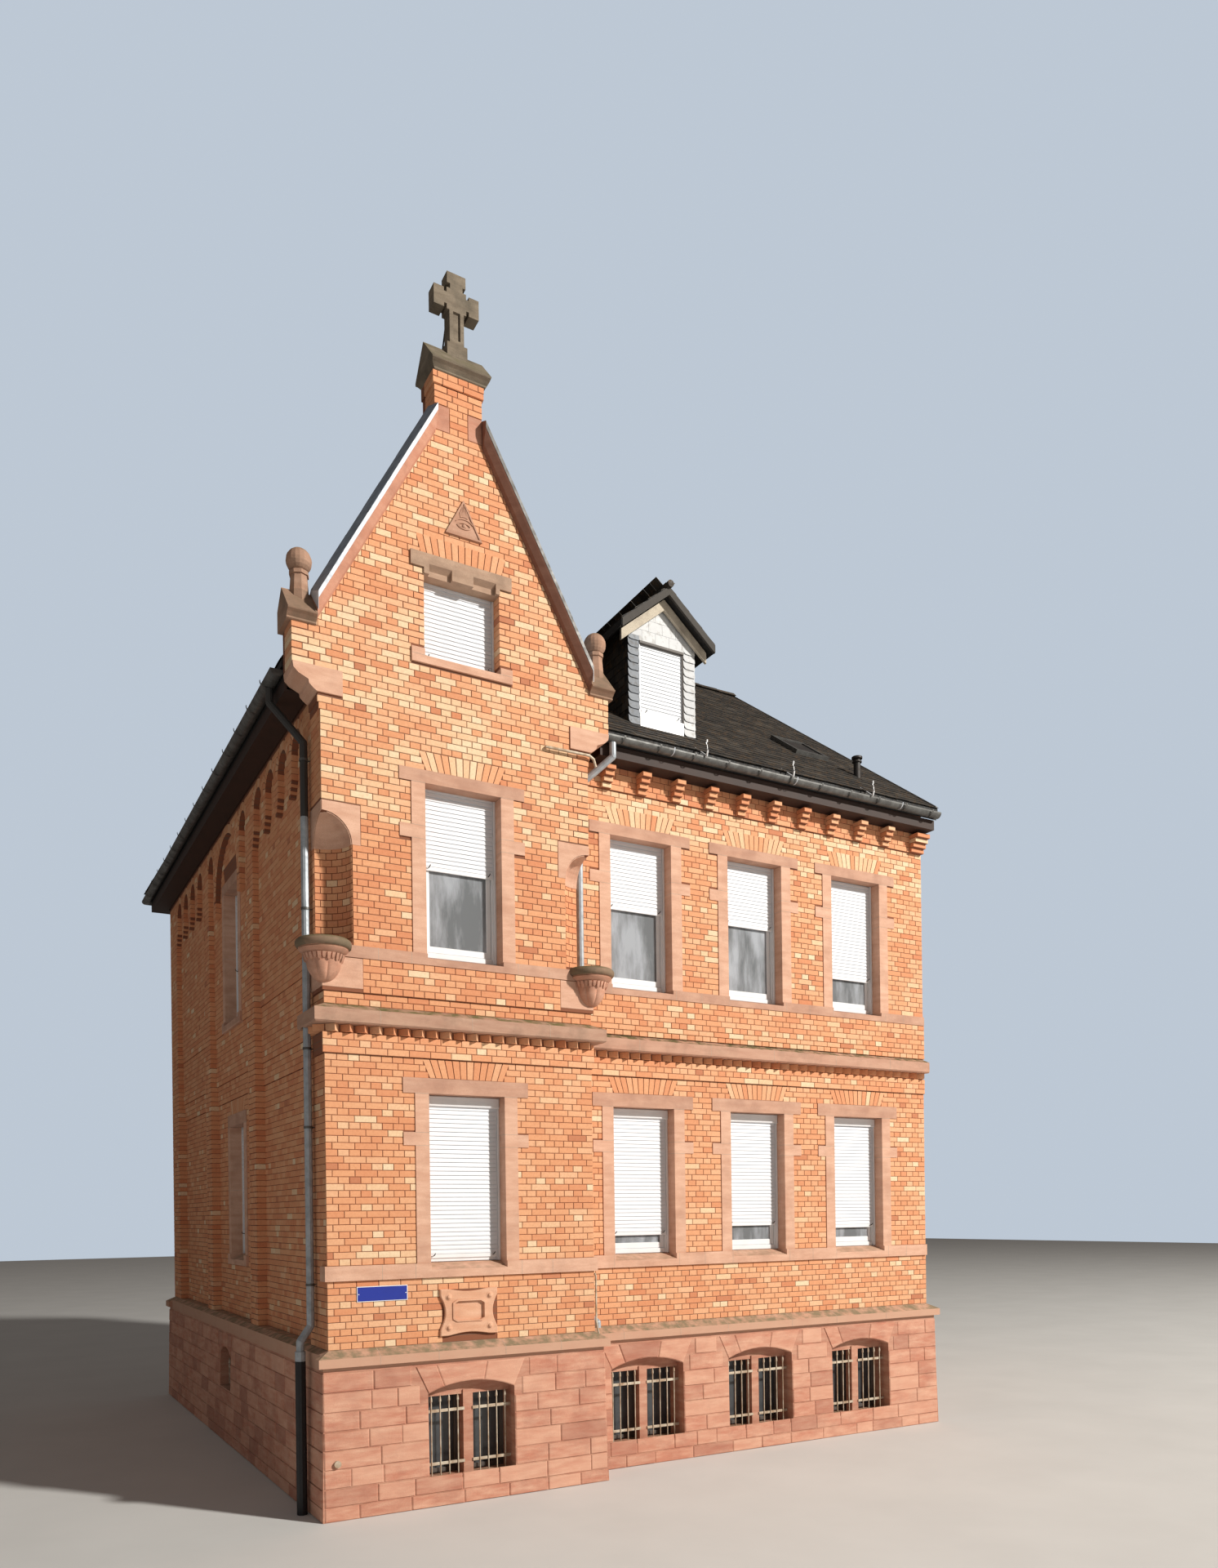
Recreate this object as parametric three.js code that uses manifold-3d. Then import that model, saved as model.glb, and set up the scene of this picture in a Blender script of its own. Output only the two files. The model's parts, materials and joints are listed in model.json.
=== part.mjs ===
// A two-storey brick house with a gabled street bay, sandstone dressings and a slate roof.
// House coordinates, in millimetres: X runs right along the street front, Y runs back, Z runs up.
// Their zero is the bay's front left corner at the lowest ground. The last lines move the whole
// house so that its own origin is the middle of the footprint, on the underside of the cellar floor.

import * as THREE from "three";
import { mergeVertices } from "three/addons/utils/BufferGeometryUtils.js";
import Module from "manifold-3d";

const wasm = await Module();
wasm.setup();

// Plan
const FRONT = 9750;
const DEPTH = 10450;
const BAY = 3400;
const STEP_BACK = 500;
const WALL = 380;
const PLINTH_WALL = 480;
const BAY_AXIS = 1700;
const GAP = 0.3;
const SLOPE_GAP = 0.6;

// Heights
const BRICK_START = 1880;
const LOWER_OFFSET = 5207;
const TOOTH_BED = 5440;
const STRING_BED = 5530;
const STRING_TOP = 5760;
const UPPER_OFFSET = 5905;
const EAVE_OFFSET = 9020;
const SOFFIT = 9330;
const OFFSET = 25;
const CELLAR_FLOOR = 150;
const GROUND_FLOOR = 2080;
const UPPER_FLOOR = 5580;
const ATTIC_FLOOR = 9280;
const SLAB = 250;

// Windows and their sandstone surrounds
const GROUND = {
  band: 2650,
  sill: 2820,
  head: 4800,
  lintel: 180,
  midEar: 4345,
  weathering: 80,
  rearFoot: 3900,
};
const UPPER = {
  band: 6295,
  sill: 6430,
  head: 8430,
  lintel: 150,
  midEar: 7925,
  weathering: 58,
  rearFoot: 7500,
};
const ATTIC = { band: 9830, sill: 9920, head: 10885, lintelBed: 10955, lintelTop: 11125 };
const OPENING = 970;
const JAMB = 170;
const EAR = 315;
const MID_EAR = 154;
const STONE_FACE = 18;
const BAND_FACE = 40;
const REVEAL = 165;
const UNIT_DEPTH = 70;
const REBATE = 40;
const UNIT_FRAME = 55;
const MAIN_AXES = [4490, 6420, 8350];
const LEFT_AXIS = 5225;
const BACK_AXES = [1950, 4875, 7800];
const RIGHT_AXES = [3000, 6950];
const ATTIC_AXIS = 1717;
const ATTIC_STONE = [1070, 2360];
const ATTIC_FACE = 30;
const LINTEL_BREAKS = [[1296, 1582], [1856, 2149]];

// Gable over the bay, measured from its own middle
const RAKE = 1.8;
const BRICK_APEX = 13130;
const PEDESTAL_HALF = 300;
const PEDESTAL_BAND = 20;
const PEDESTAL_NECK = 13190;
const PEDESTAL_TOP = 13330;
const KNEELER_HALF = 2010;
const KNEELER_INNER = 1740;
const KNEELER_TOP = 9950;
const CONSOLE_INNER = 1450;
const CONSOLE_BED = 9220;
const CONSOLE_TOP = 9500;

// Roofs
const MAIN_PITCH = 0.743;
const MAIN_EAVE_Y = 50;
const MAIN_EAVE_Z = 9580;
const MAIN_DROP = 200;
const RIDGE_Y = 5475;
const VERGE = 50;
const WING_APEX = 13330;
const WING_DROP = 247;
const WING_START = WALL + GAP;
const EAVE_OUT = 300;
const SLATE_OUT = 330;
const SLATE_LIP = 9600;
const GUTTER_RADIUS = 78;
const GUTTER_WALL = 4;
const GUTTER_RIM = 9560;
const MITRE_GAP = 0.2;
const PIPE_SIDES = 10;

const BRICK = material("#b5603d", 0.9, 0);
const SANDSTONE = material("#c08a70", 0.85, 0);
const CAP_STONE = material("#9c8068", 0.9, 0);
const PLINTH_STONE = material("#a8604a", 0.9, 0);
const SLATE = material("#2e2c2e", 0.7, 0);
const EAVE_TIMBER = material("#6a4c3c", 0.75, 0);
const ZINC = material("#8c9298", 0.45, 0.8);
const WINDOW_WHITE = material("#e8e8ea", 0.4, 0);
const FLOOR_SLAB = material("#9a938a", 0.9, 0);

function material(color, roughness, metalness) {
  return new THREE.MeshStandardMaterial({ color, roughness, metalness });
}

// Closed solids from geometry, and back

function solidFrom(positions, indices) {
  const vertProperties = Float32Array.from(positions);
  const triVerts = Uint32Array.from(indices);
  return new wasm.Manifold(new wasm.Mesh({ numProp: 3, vertProperties, triVerts }));
}

function solidOf(geometry) {
  const bare = geometry.clone();
  bare.deleteAttribute("normal");
  bare.deleteAttribute("uv");
  const merged = mergeVertices(bare, 0.01);
  return solidFrom(merged.attributes.position.array, merged.index.array);
}

function geometryOf(solid) {
  const mesh = solid.getMesh();
  const geometry = new THREE.BufferGeometry();
  geometry.setAttribute("position", new THREE.BufferAttribute(mesh.vertProperties, 3));
  geometry.setIndex(new THREE.BufferAttribute(mesh.triVerts, 1));
  return geometry;
}

function moved(solid, matrix) {
  return solidOf(geometryOf(solid).applyMatrix4(matrix));
}

function joined(solids) {
  return solids.reduce((sum, solid) => sum.add(solid));
}

function without(solid, cutters) {
  return cutters.reduce((rest, cutter) => rest.subtract(cutter), solid);
}

function box(x0, x1, y0, y1, z0, z1) {
  const geometry = new THREE.BoxGeometry(x1 - x0, y1 - y0, z1 - z0);
  geometry.translate((x0 + x1) / 2, (y0 + y1) / 2, (z0 + z1) / 2);
  return solidOf(geometry);
}

// The same box with its two x values in either order
function between(xa, xb, y0, y1, z0, z1) {
  return box(Math.min(xa, xb), Math.max(xa, xb), y0, y1, z0, z1);
}

// A closed skin over rings of equal count; outline is the ring as flat points, for the end faces
function loft(givenRings, givenOutline) {
  const clockwise = THREE.ShapeUtils.isClockWise(givenOutline.map(([a, b]) => new THREE.Vector2(a, b)));
  const outline = clockwise ? [...givenOutline].reverse() : givenOutline;
  const rings = clockwise ? givenRings.map((ring) => [...ring].reverse()) : givenRings;
  const count = outline.length;
  const caps = THREE.ShapeUtils.triangulateShape(outline.map(([a, b]) => new THREE.Vector2(a, b)), []);
  const positions = rings.flat().flatMap((point) => [point.x, point.y, point.z]);
  const triangles = [];
  for (let ring = 0; ring + 1 < rings.length; ring += 1) {
    for (let i = 0; i < count; i += 1) {
      const next = (i + 1) % count;
      const a = ring * count + i;
      const b = ring * count + next;
      triangles.push([a, b, b + count], [a, b + count, a + count]);
    }
  }
  const last = (rings.length - 1) * count;
  caps.forEach(([a, b, c]) => triangles.push([a, c, b], [a + last, b + last, c + last]));
  const solid = solidFrom(positions, triangles.flat());
  return solid.volume() > 0 ? solid : solidFrom(positions, triangles.flatMap(([a, b, c]) => [a, c, b]));
}

// An outline given as (x, z), from y0 to y1
function prismY(outline, y0, y1) {
  return loft([y0, y1].map((y) => outline.map(([x, z]) => new THREE.Vector3(x, y, z))), outline);
}

// An outline given as (y, z), from x0 to x1
function prismX(outline, x0, x1) {
  return loft([x0, x1].map((x) => outline.map(([y, z]) => new THREE.Vector3(x, y, z))), outline);
}

// An outline given as (x, y), from z0 to z1
function prismZ(outline, z0, z1) {
  return loft([z0, z1].map((z) => outline.map(([x, y]) => new THREE.Vector3(x, y, z))), outline);
}

// A profile of (outwards, z) carried round a path of wall corners, outwards being on its right.
// before and after are the corners beyond the two ends, so that each end is cut on the mitre.
function sweep(profile, path, before, after) {
  const corners = path.map(([x, y]) => new THREE.Vector2(x, y));
  const all = [before, ...path, after].map((p) => (p ? new THREE.Vector2(p[0], p[1]) : null));
  const rings = corners.map((corner, i) => {
    const back = all[i];
    const ahead = all[i + 2];
    const into = back ? corner.clone().sub(back).normalize() : ahead.clone().sub(corner).normalize();
    const away = ahead ? ahead.clone().sub(corner).normalize() : into;
    const outInto = new THREE.Vector2(into.y, -into.x);
    const outAway = new THREE.Vector2(away.y, -away.x);
    const mitre = outInto.clone().add(outAway).divideScalar(1 + outInto.dot(outAway));
    const trim = endTrim(i, corners.length, into, away, before, after);
    return profile.map(([out, z]) => {
      return new THREE.Vector3(corner.x + mitre.x * out + trim.x, corner.y + mitre.y * out + trim.y, z);
    });
  });
  return loft(rings, profile);
}

function endTrim(index, count, into, away, before, after) {
  if (index === 0 && before) {
    return away.clone().multiplyScalar(MITRE_GAP);
  }
  if (index === count - 1 && after) {
    return into.clone().multiplyScalar(-MITRE_GAP);
  }
  return new THREE.Vector2(0, 0);
}

// A rod with rounded turns along a run of points
function pipe(points, radius) {
  const parts = [];
  for (let i = 0; i + 1 < points.length; i += 1) {
    const from = new THREE.Vector3(...points[i]);
    const to = new THREE.Vector3(...points[i + 1]);
    const rod = new THREE.CylinderGeometry(radius, radius, from.distanceTo(to), PIPE_SIDES);
    rod.rotateY(0.1);
    const way = to.clone().sub(from).normalize();
    const spin = new THREE.Quaternion().setFromUnitVectors(new THREE.Vector3(0, 1, 0), way);
    rod.applyQuaternion(spin);
    const middle = from.clone().add(to).multiplyScalar(0.5);
    rod.translate(middle.x, middle.y, middle.z);
    parts.push(solidOf(rod));
    if (i > 0) {
      const turnBall = new THREE.SphereGeometry(radius * 1.01, PIPE_SIDES, 6);
      turnBall.translate(from.x, from.y, from.z);
      parts.push(solidOf(turnBall));
    }
  }
  return joined(parts);
}

function arc(cx, cz, radius, from, to, count) {
  const points = [];
  for (let i = 0; i <= count; i += 1) {
    const angle = from + ((to - from) * i) / count;
    points.push([cx + radius * Math.cos(angle), cz + radius * Math.sin(angle)]);
  }
  return points;
}

// Each named piece gets its own origin at the middle of its underside
function piece(name, solid, look) {
  const geometry = geometryOf(solid);
  geometry.computeBoundingBox();
  const { min, max } = geometry.boundingBox;
  const place = new THREE.Vector3((min.x + max.x) / 2, (min.y + max.y) / 2, min.z).round();
  geometry.translate(-place.x, -place.y, -place.z);
  geometry.computeVertexNormals();
  const mesh = new THREE.Mesh(geometry, look);
  mesh.name = name;
  mesh.position.copy(place);
  return mesh;
}

// Walls seen from outside: local x runs right along the wall, local y into it

function turn(x, y, angle) {
  const matrix = new THREE.Matrix4().makeRotationZ(angle);
  matrix.setPosition(x, y, 0);
  return matrix;
}

const MAIN_PLACE = turn(0, STEP_BACK, 0);
const LEFT_PLACE = turn(0, DEPTH, -Math.PI / 2);
const RIGHT_PLACE = turn(FRONT, 0, Math.PI / 2);
const BACK_PLACE = turn(FRONT, DEPTH, Math.PI);

// Roof planes

function mainTop(y) {
  return MAIN_EAVE_Z + MAIN_PITCH * (y - MAIN_EAVE_Y);
}

function leftTop(x) {
  return WING_APEX - RAKE * (BAY_AXIS - x);
}

function frontUnderside(outline) {
  const under = (y) => mainTop(y) - MAIN_DROP - SLOPE_GAP;
  return prismX([[-1000, 0], [-1000, under(-1000)], [RIDGE_Y, under(RIDGE_Y)], [RIDGE_Y, 0]], ...outline);
}

function backUnderside(x0, x1) {
  const under = (y) => mainTop(2 * RIDGE_Y - y) - MAIN_DROP - SLOPE_GAP;
  const far = DEPTH + 1000;
  return prismX([[RIDGE_Y, 0], [RIDGE_Y, under(RIDGE_Y)], [far, under(far)], [far, 0]], x0, x1);
}

function leftUnderside() {
  const under = (x) => leftTop(x) - WING_DROP - SLOPE_GAP;
  return prismY([[-1000, 0], [-1000, under(-1000)], [2000, under(2000)], [2000, 0]], -1000, DEPTH + 1000);
}

// Surrounds: jambs, lintel and ears in one stone frame

function surround(axis, storey, grow, ears) {
  const half = OPENING / 2;
  const reach = half + (ears ? EAR : JAMB) + grow;
  const face = -STONE_FACE - grow;
  const back = REVEAL + grow;
  const top = storey.head + storey.lintel + grow;
  const parts = [box(axis - reach, axis + reach, face, back, storey.head - grow, top)];
  [-1, 1].forEach((side) => {
    const inner = axis + side * (half - grow);
    const outer = axis + side * (half + JAMB + grow);
    const ear = axis + side * reach;
    const bed = storey.midEar - MID_EAR - grow;
    const foot = storey.sill - 20;
    parts.push(between(inner, outer, face, back, foot, storey.head + 1));
    if (ears) {
      parts.push(between(inner, ear, face, back, bed, storey.midEar + grow));
    }
  });
  return joined(parts);
}

// The slope that sheds water from a sill, as the wedge taken off its top
function weathering(axis, storey) {
  const half = OPENING / 2;
  const front = -BAND_FACE - 10;
  const outline = [
    [front, storey.sill + 20],
    [front, storey.sill - storey.weathering],
    [REVEAL, storey.sill],
    [REVEAL, storey.sill + 20],
  ];
  return prismX(outline, axis - half, axis + half);
}

// All the sandstone of one storey of the front: surrounds standing on a sill band
function storeyStone(axes, start, end, storey, grow) {
  const bed = storey.band - grow;
  const band = box(start - grow, end + grow, -BAND_FACE - grow, REVEAL + grow, bed, storey.sill + grow);
  const stone = joined([band, ...axes.map((axis) => surround(axis, storey, grow, true))]);
  return grow > 0 ? stone : without(stone, axes.map((axis) => weathering(axis, storey)));
}

// One window's sandstone where there is no band
function looseStone(axis, storey, grow) {
  const half = OPENING / 2 + JAMB + grow;
  const bed = storey.sill - 160 - grow;
  const sillStone = box(axis - half, axis + half, -BAND_FACE - grow, REVEAL + grow, bed, storey.sill + grow);
  const stone = sillStone.add(surround(axis, storey, grow, false));
  return grow > 0 ? stone : without(stone, [weathering(axis, storey)]);
}

function windowHole(axis, storey) {
  const half = OPENING / 2;
  const wide = half + REBATE;
  const clear = box(axis - half, axis + half, -200, WALL + 200, storey.sill, storey.head);
  const rebate = box(axis - wide, axis + wide, REVEAL, WALL + 200, storey.sill, storey.head + REBATE);
  return clear.add(rebate);
}

// Frame, pane and shutter curtain of one window, in a closed sheet that can run behind several
function glazing(axes, storey, shutterFeet) {
  const half = OPENING / 2 + REBATE - GAP;
  const clear = OPENING / 2 - UNIT_FRAME;
  const front = REVEAL + GAP;
  const ends = [Math.min(...axes) - half, Math.max(...axes) + half];
  const top = storey.head + REBATE - GAP;
  const sheet = box(ends[0], ends[1], front, front + UNIT_DEPTH, storey.sill + GAP, top);
  const recesses = [];
  axes.forEach((axis, i) => {
    const foot = Math.max(shutterFeet[i], storey.sill + 70);
    recesses.push(box(axis - clear, axis + clear, front - 1, front + 15, foot, storey.head - 10));
    if (foot > storey.sill + 200) {
      recesses.push(box(axis - clear, axis + clear, front - 1, front + 45, storey.sill + 90, foot - 30));
    }
  });
  return without(sheet, recesses);
}

function glazingSlot(axes, storey) {
  const half = OPENING / 2 + REBATE;
  const ends = [Math.min(...axes) - half, Math.max(...axes) + half];
  const back = REVEAL + UNIT_DEPTH + 2 * GAP;
  return box(ends[0], ends[1], REVEAL, back, storey.sill, storey.head + REBATE);
}

// Plinth: battered ashlar with a sloped cap, and cellar windows under flat segmental arches

const PLINTH_PROFILE = [
  [-PLINTH_WALL, 0],
  [120, 0],
  [85, 1690],
  [150, 1700],
  [150, 1800],
  [0, BRICK_START],
  [-PLINTH_WALL, BRICK_START],
];

function cellarHole(axis, width, sill) {
  const half = width / 2;
  const spring = 1310;
  const rise = 115;
  const radius = (half * half + rise * rise) / (2 * rise);
  const swing = Math.asin(half / radius);
  const head = arc(axis, spring + rise - radius, radius, Math.PI / 2 + swing, Math.PI / 2 - swing, 8);
  return prismY([[axis + half, sill], [axis - half, sill], ...head], -400, 700);
}

// Stone post and head that part a cellar window in two lights
function cellarPost(axis, width, sill) {
  const half = width / 2 + 30;
  const post = box(axis - 62, axis + 62, 40, 170, sill - 40, 1300);
  const head = box(axis - half, axis + half, 60, 170, 1250, 1440);
  return post.add(head);
}

function cellarWindows(stone, place, axes, width, sill) {
  let result = stone;
  axes.forEach((axis) => {
    result = result.subtract(moved(cellarHole(axis, width, sill), place));
    result = result.add(moved(cellarPost(axis, width, sill), place));
  });
  return result;
}

const CORNERS = [[0, 0], [BAY, 0], [BAY, STEP_BACK], [FRONT, STEP_BACK], [FRONT, DEPTH], [0, DEPTH]];
const STREET = new THREE.Matrix4();

function plinthBay() {
  const stone = sweep(PLINTH_PROFILE, CORNERS.slice(0, 3), CORNERS[5], CORNERS[3]);
  return cellarWindows(stone, STREET, [BAY_AXIS - 20], 1100, 300);
}

function plinthMainFront() {
  const stone = sweep(PLINTH_PROFILE, CORNERS.slice(2, 4), CORNERS[1], CORNERS[4]);
  return cellarWindows(stone, MAIN_PLACE, [4450, 6355, 8265], 1140, 300);
}

// The right, back and left sides in one ring; on the left the cap keeps only its slope
function plinthRear() {
  const path = [...CORNERS.slice(3, 6), CORNERS[0]];
  const stone = sweep(PLINTH_PROFILE, path, CORNERS[2], CORNERS[1]);
  const nose = box(-200, -90, 0, DEPTH - 200, 1600, BRICK_START + 10);
  const right = cellarWindows(stone.subtract(nose), RIGHT_PLACE, RIGHT_AXES, 900, 600);
  const back = cellarWindows(right, BACK_PLACE, BACK_AXES, 900, 600);
  return cellarWindows(back, LEFT_PLACE, [LEFT_AXIS], 760, 800);
}

// String course between the storeys

const STRING_OUT = 150;
const STRING_INTO = -100;
const STRING_PROFILE = [
  [STRING_INTO, STRING_BED],
  [STRING_OUT - 18, STRING_BED],
  [STRING_OUT, STRING_BED + 18],
  [STRING_OUT, STRING_TOP - 68],
  [0, STRING_TOP],
  [STRING_INTO, STRING_TOP],
];

function grownProfile(profile, middle) {
  return profile.map(([out, z]) => [out + (out > 0 ? GAP : -GAP), z + (z > middle ? GAP : -GAP)]);
}

function stringBay(profile) {
  return sweep(profile, [[0, 590], ...CORNERS.slice(0, 3)], null, CORNERS[3]);
}

function stringMain(profile) {
  return sweep(profile, [CORNERS[2], [FRONT - 10, STEP_BACK]], CORNERS[1], null);
}

// Niches hollowed from the bay's corners, and the bowls that stand out below them

const NICHE_RADIUS = 340;
const NICHE_FLOOR = 6470;
const NICHE_SPRING = 7570;
const BOWL = [
  [0, 5980],
  [50, 5985],
  [118, 6030],
  [180, 6120],
  [198, 6230],
  [210, 6290],
  [275, 6340],
  [308, 6370],
  [312, 6420],
  [285, 6455],
  [0, 6470],
];

function niche(x) {
  const height = NICHE_SPRING - NICHE_FLOOR;
  const shaft = new THREE.CylinderGeometry(NICHE_RADIUS, NICHE_RADIUS, height, 32);
  shaft.rotateX(Math.PI / 2);
  shaft.translate(x, 0, NICHE_FLOOR + height / 2);
  const head = new THREE.SphereGeometry(NICHE_RADIUS, 32, 16);
  head.rotateX(Math.PI / 2);
  head.translate(x, 0, NICHE_SPRING);
  return solidOf(shaft).add(solidOf(head));
}

function bowlRound(x, grow) {
  const points = BOWL.map(([r, z]) => new THREE.Vector2(r > 0 ? r + grow : 0, z));
  points[0].y -= grow;
  points[points.length - 1].y += grow;
  const lathe = new THREE.LatheGeometry(points, 28);
  lathe.rotateX(Math.PI / 2);
  lathe.translate(x, 0, 0);
  return solidOf(lathe);
}

// The quarter of a bowl's room that the corner of the wall keeps; grow widens it past both faces
function cornerKept(x, grow) {
  const side = x > 0 ? -1 : 1;
  return between(x - side * grow, x + side * 1000, -grow, 1000, 5000, 7000);
}

function bowlCorbel(x) {
  return bowlRound(x, 0).subtract(cornerKept(x, GAP));
}

// The bay's gable wall

function mirroredOutline(halfPoints) {
  const right = halfPoints.map(([h, z]) => [BAY_AXIS + h, z]);
  const left = halfPoints.map(([h, z]) => [BAY_AXIS - h, z]).reverse();
  return [...right, ...left];
}

const rakeEdge = (h) => BRICK_APEX - RAKE * h;

const BAY_OUTLINE = mirroredOutline([
  [BAY / 2, BRICK_START + GAP],
  [BAY / 2, 9060],
  [BAY / 2 + 15, 9060],
  [BAY / 2 + 15, 9137],
  [BAY / 2 + 30, 9137],
  [BAY / 2 + 30, CONSOLE_TOP + GAP],
  [KNEELER_HALF, CONSOLE_TOP + GAP],
  [KNEELER_HALF, KNEELER_TOP - GAP],
  [KNEELER_INNER - GAP, KNEELER_TOP - GAP],
  [KNEELER_INNER - GAP, rakeEdge(KNEELER_INNER - GAP)],
  [PEDESTAL_HALF, rakeEdge(PEDESTAL_HALF)],
  [PEDESTAL_HALF, PEDESTAL_NECK],
  [PEDESTAL_HALF + PEDESTAL_BAND, PEDESTAL_NECK],
  [PEDESTAL_HALF + PEDESTAL_BAND, PEDESTAL_TOP],
]);

function consoleBlock(side, grow) {
  const outline = [
    [CONSOLE_INNER - grow, CONSOLE_BED - grow],
    [BAY / 2 + 45, CONSOLE_BED - grow],
    [BAY / 2 + 90, CONSOLE_BED + 30],
    [BAY / 2 + 130, CONSOLE_BED + 70],
    [BAY / 2 + 135, CONSOLE_BED + 110],
    [BAY / 2 + 180, CONSOLE_BED + 130],
    [BAY / 2 + 250, CONSOLE_BED + 160],
    [BAY / 2 + 300, CONSOLE_BED + 210],
    [KNEELER_HALF, CONSOLE_TOP + grow],
    [CONSOLE_INNER - grow, CONSOLE_TOP + grow],
  ];
  const face = grow > 0 ? -100 : -OFFSET;
  return prismY(outline.map(([h, z]) => [BAY_AXIS + side * h, z]), face, grow > 0 ? WALL + 10 : WALL);
}

function atticStone(x0, x1, z0, z1, grow) {
  return box(x0 - grow, x1 + grow, -ATTIC_FACE - grow, REVEAL + grow, z0 - grow, z1 + grow);
}

function atticSill(grow) {
  const [start, end] = ATTIC_STONE;
  const half = OPENING / 2;
  return joined([
    atticStone(start, end, ATTIC.band, ATTIC.sill, grow),
    atticStone(start, ATTIC_AXIS - half, ATTIC.sill - 50, ATTIC.sill + 80, grow),
    atticStone(ATTIC_AXIS + half, end, ATTIC.sill - 50, ATTIC.sill + 80, grow),
  ]);
}

// The lintel hangs down between the jambs, its lower edge broken back in two places
function atticLintel(grow) {
  const [start, end] = ATTIC_STONE;
  const half = OPENING / 2 - (grow > 0 ? 0 : GAP);
  const bed = ATTIC.lintelBed;
  const stone = joined([
    atticStone(start, end, bed, ATTIC.lintelTop, grow),
    atticStone(ATTIC_AXIS - half, ATTIC_AXIS + half, ATTIC.head, bed + 20, grow),
  ]);
  const outline = [[-60, bed + 50], [-ATTIC_FACE, bed + 50], [25, bed - 5], [25, bed - 90], [-60, bed - 90]];
  const breaks = LINTEL_BREAKS.map(([x0, x1]) => prismX(outline, x0, x1));
  return grow > 0 ? stone : without(stone, breaks);
}

function bayBand(z0, z1) {
  return box(-OFFSET, BAY + OFFSET, -OFFSET, WALL, z0, z1);
}

function bayBrick() {
  const gable = prismY(BAY_OUTLINE, 0, WALL);
  const sideTop = (x) => WING_APEX - WING_DROP - SLOPE_GAP - RAKE * (x - BAY_AXIS);
  const inner = BAY - WALL;
  const bed = BRICK_START + GAP;
  const side = [[inner, bed], [BAY, bed], [BAY, sideTop(BAY)], [inner, sideTop(inner)]];
  const bandSide = [[LOWER_OFFSET, TOOTH_BED], [UPPER_OFFSET, UPPER.band]].map(([z0, z1]) => {
    return box(BAY - 10, BAY + OFFSET, WALL - 1, STEP_BACK - GAP, z0, z1);
  });
  const neck = PEDESTAL_HALF + PEDESTAL_BAND;
  const [left, right] = [BAY_AXIS - neck, BAY_AXIS + neck];
  return joined([
    gable,
    box(left, right, -PEDESTAL_BAND, WALL, PEDESTAL_NECK, PEDESTAL_TOP),
    prismY(side, WALL - 1, STEP_BACK - GAP),
    bayBand(LOWER_OFFSET, TOOTH_BED),
    bayBand(UPPER_OFFSET, UPPER.band),
    ...bandSide,
  ]);
}

// One height of the bay's brickwork, with everything let into it cut out
function bayWall(z0, z1) {
  const height = box(-1000, BAY + 1000, -1000, STEP_BACK + 10, z0, z1);
  return without(bayBrick().intersect(height), [
    windowHole(BAY_AXIS, GROUND),
    windowHole(BAY_AXIS, UPPER),
    windowHole(ATTIC_AXIS, ATTIC),
    bayGroundStone(GAP),
    bayUpperStone(GAP),
    atticSill(GAP),
    atticLintel(GAP),
    niche(0),
    niche(BAY),
    bowlRound(0, GAP).subtract(cornerKept(0, 0)),
    bowlRound(BAY, GAP).subtract(cornerKept(BAY, 0)),
    consoleBlock(-1, GAP),
    consoleBlock(1, GAP),
    stringBay(grownProfile(STRING_PROFILE, STRING_BED + 50)),
  ]);
}

function bayGroundStone(grow) {
  const front = storeyStone([BAY_AXIS], -BAND_FACE, BAY + BAND_FACE, GROUND, grow);
  const back = STEP_BACK - BAND_FACE - 1;
  const side = box(BAY - 1, BAY + BAND_FACE + grow, 0, back, GROUND.band - grow, GROUND.sill + grow);
  return front.add(side);
}

function bayUpperStone(grow) {
  const stone = storeyStone([BAY_AXIS], 0, BAY, UPPER, grow);
  const clearance = grow > 0 ? 0 : GAP;
  return without(stone, [bowlRound(0, clearance), bowlRound(BAY, clearance)]);
}

// The main street wall with its stepped eave brackets

const BRACKET_STEP = 67.5;
const BRACKET_REACH = 45;
const BRACKET_PITCH = 556;
const BRACKET_WIDTH = 130;
const BRACKETS = 10;
const FIRST_BRACKET = 3870;
const CORNER_BRACKET = 260;
const REAR_BRACKETS = 16;
const REAR_PITCH = 600;

function bracket(x, width, face) {
  const outline = [[100, EAVE_OFFSET]];
  for (let i = 0; i < 4; i += 1) {
    const out = face - BRACKET_REACH * (i + 1);
    outline.push([out, EAVE_OFFSET + BRACKET_STEP * i], [out, EAVE_OFFSET + BRACKET_STEP * (i + 1)]);
  }
  outline.push([100, EAVE_OFFSET + BRACKET_STEP * 4]);
  return prismX(outline, x, x + width);
}

function eaveWall(start, end, brackets) {
  const band = box(start, end, -OFFSET, 100, EAVE_OFFSET, SOFFIT + 300);
  return joined([band, ...brackets.map(([x, width]) => bracket(x, width, -OFFSET))]);
}

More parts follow.
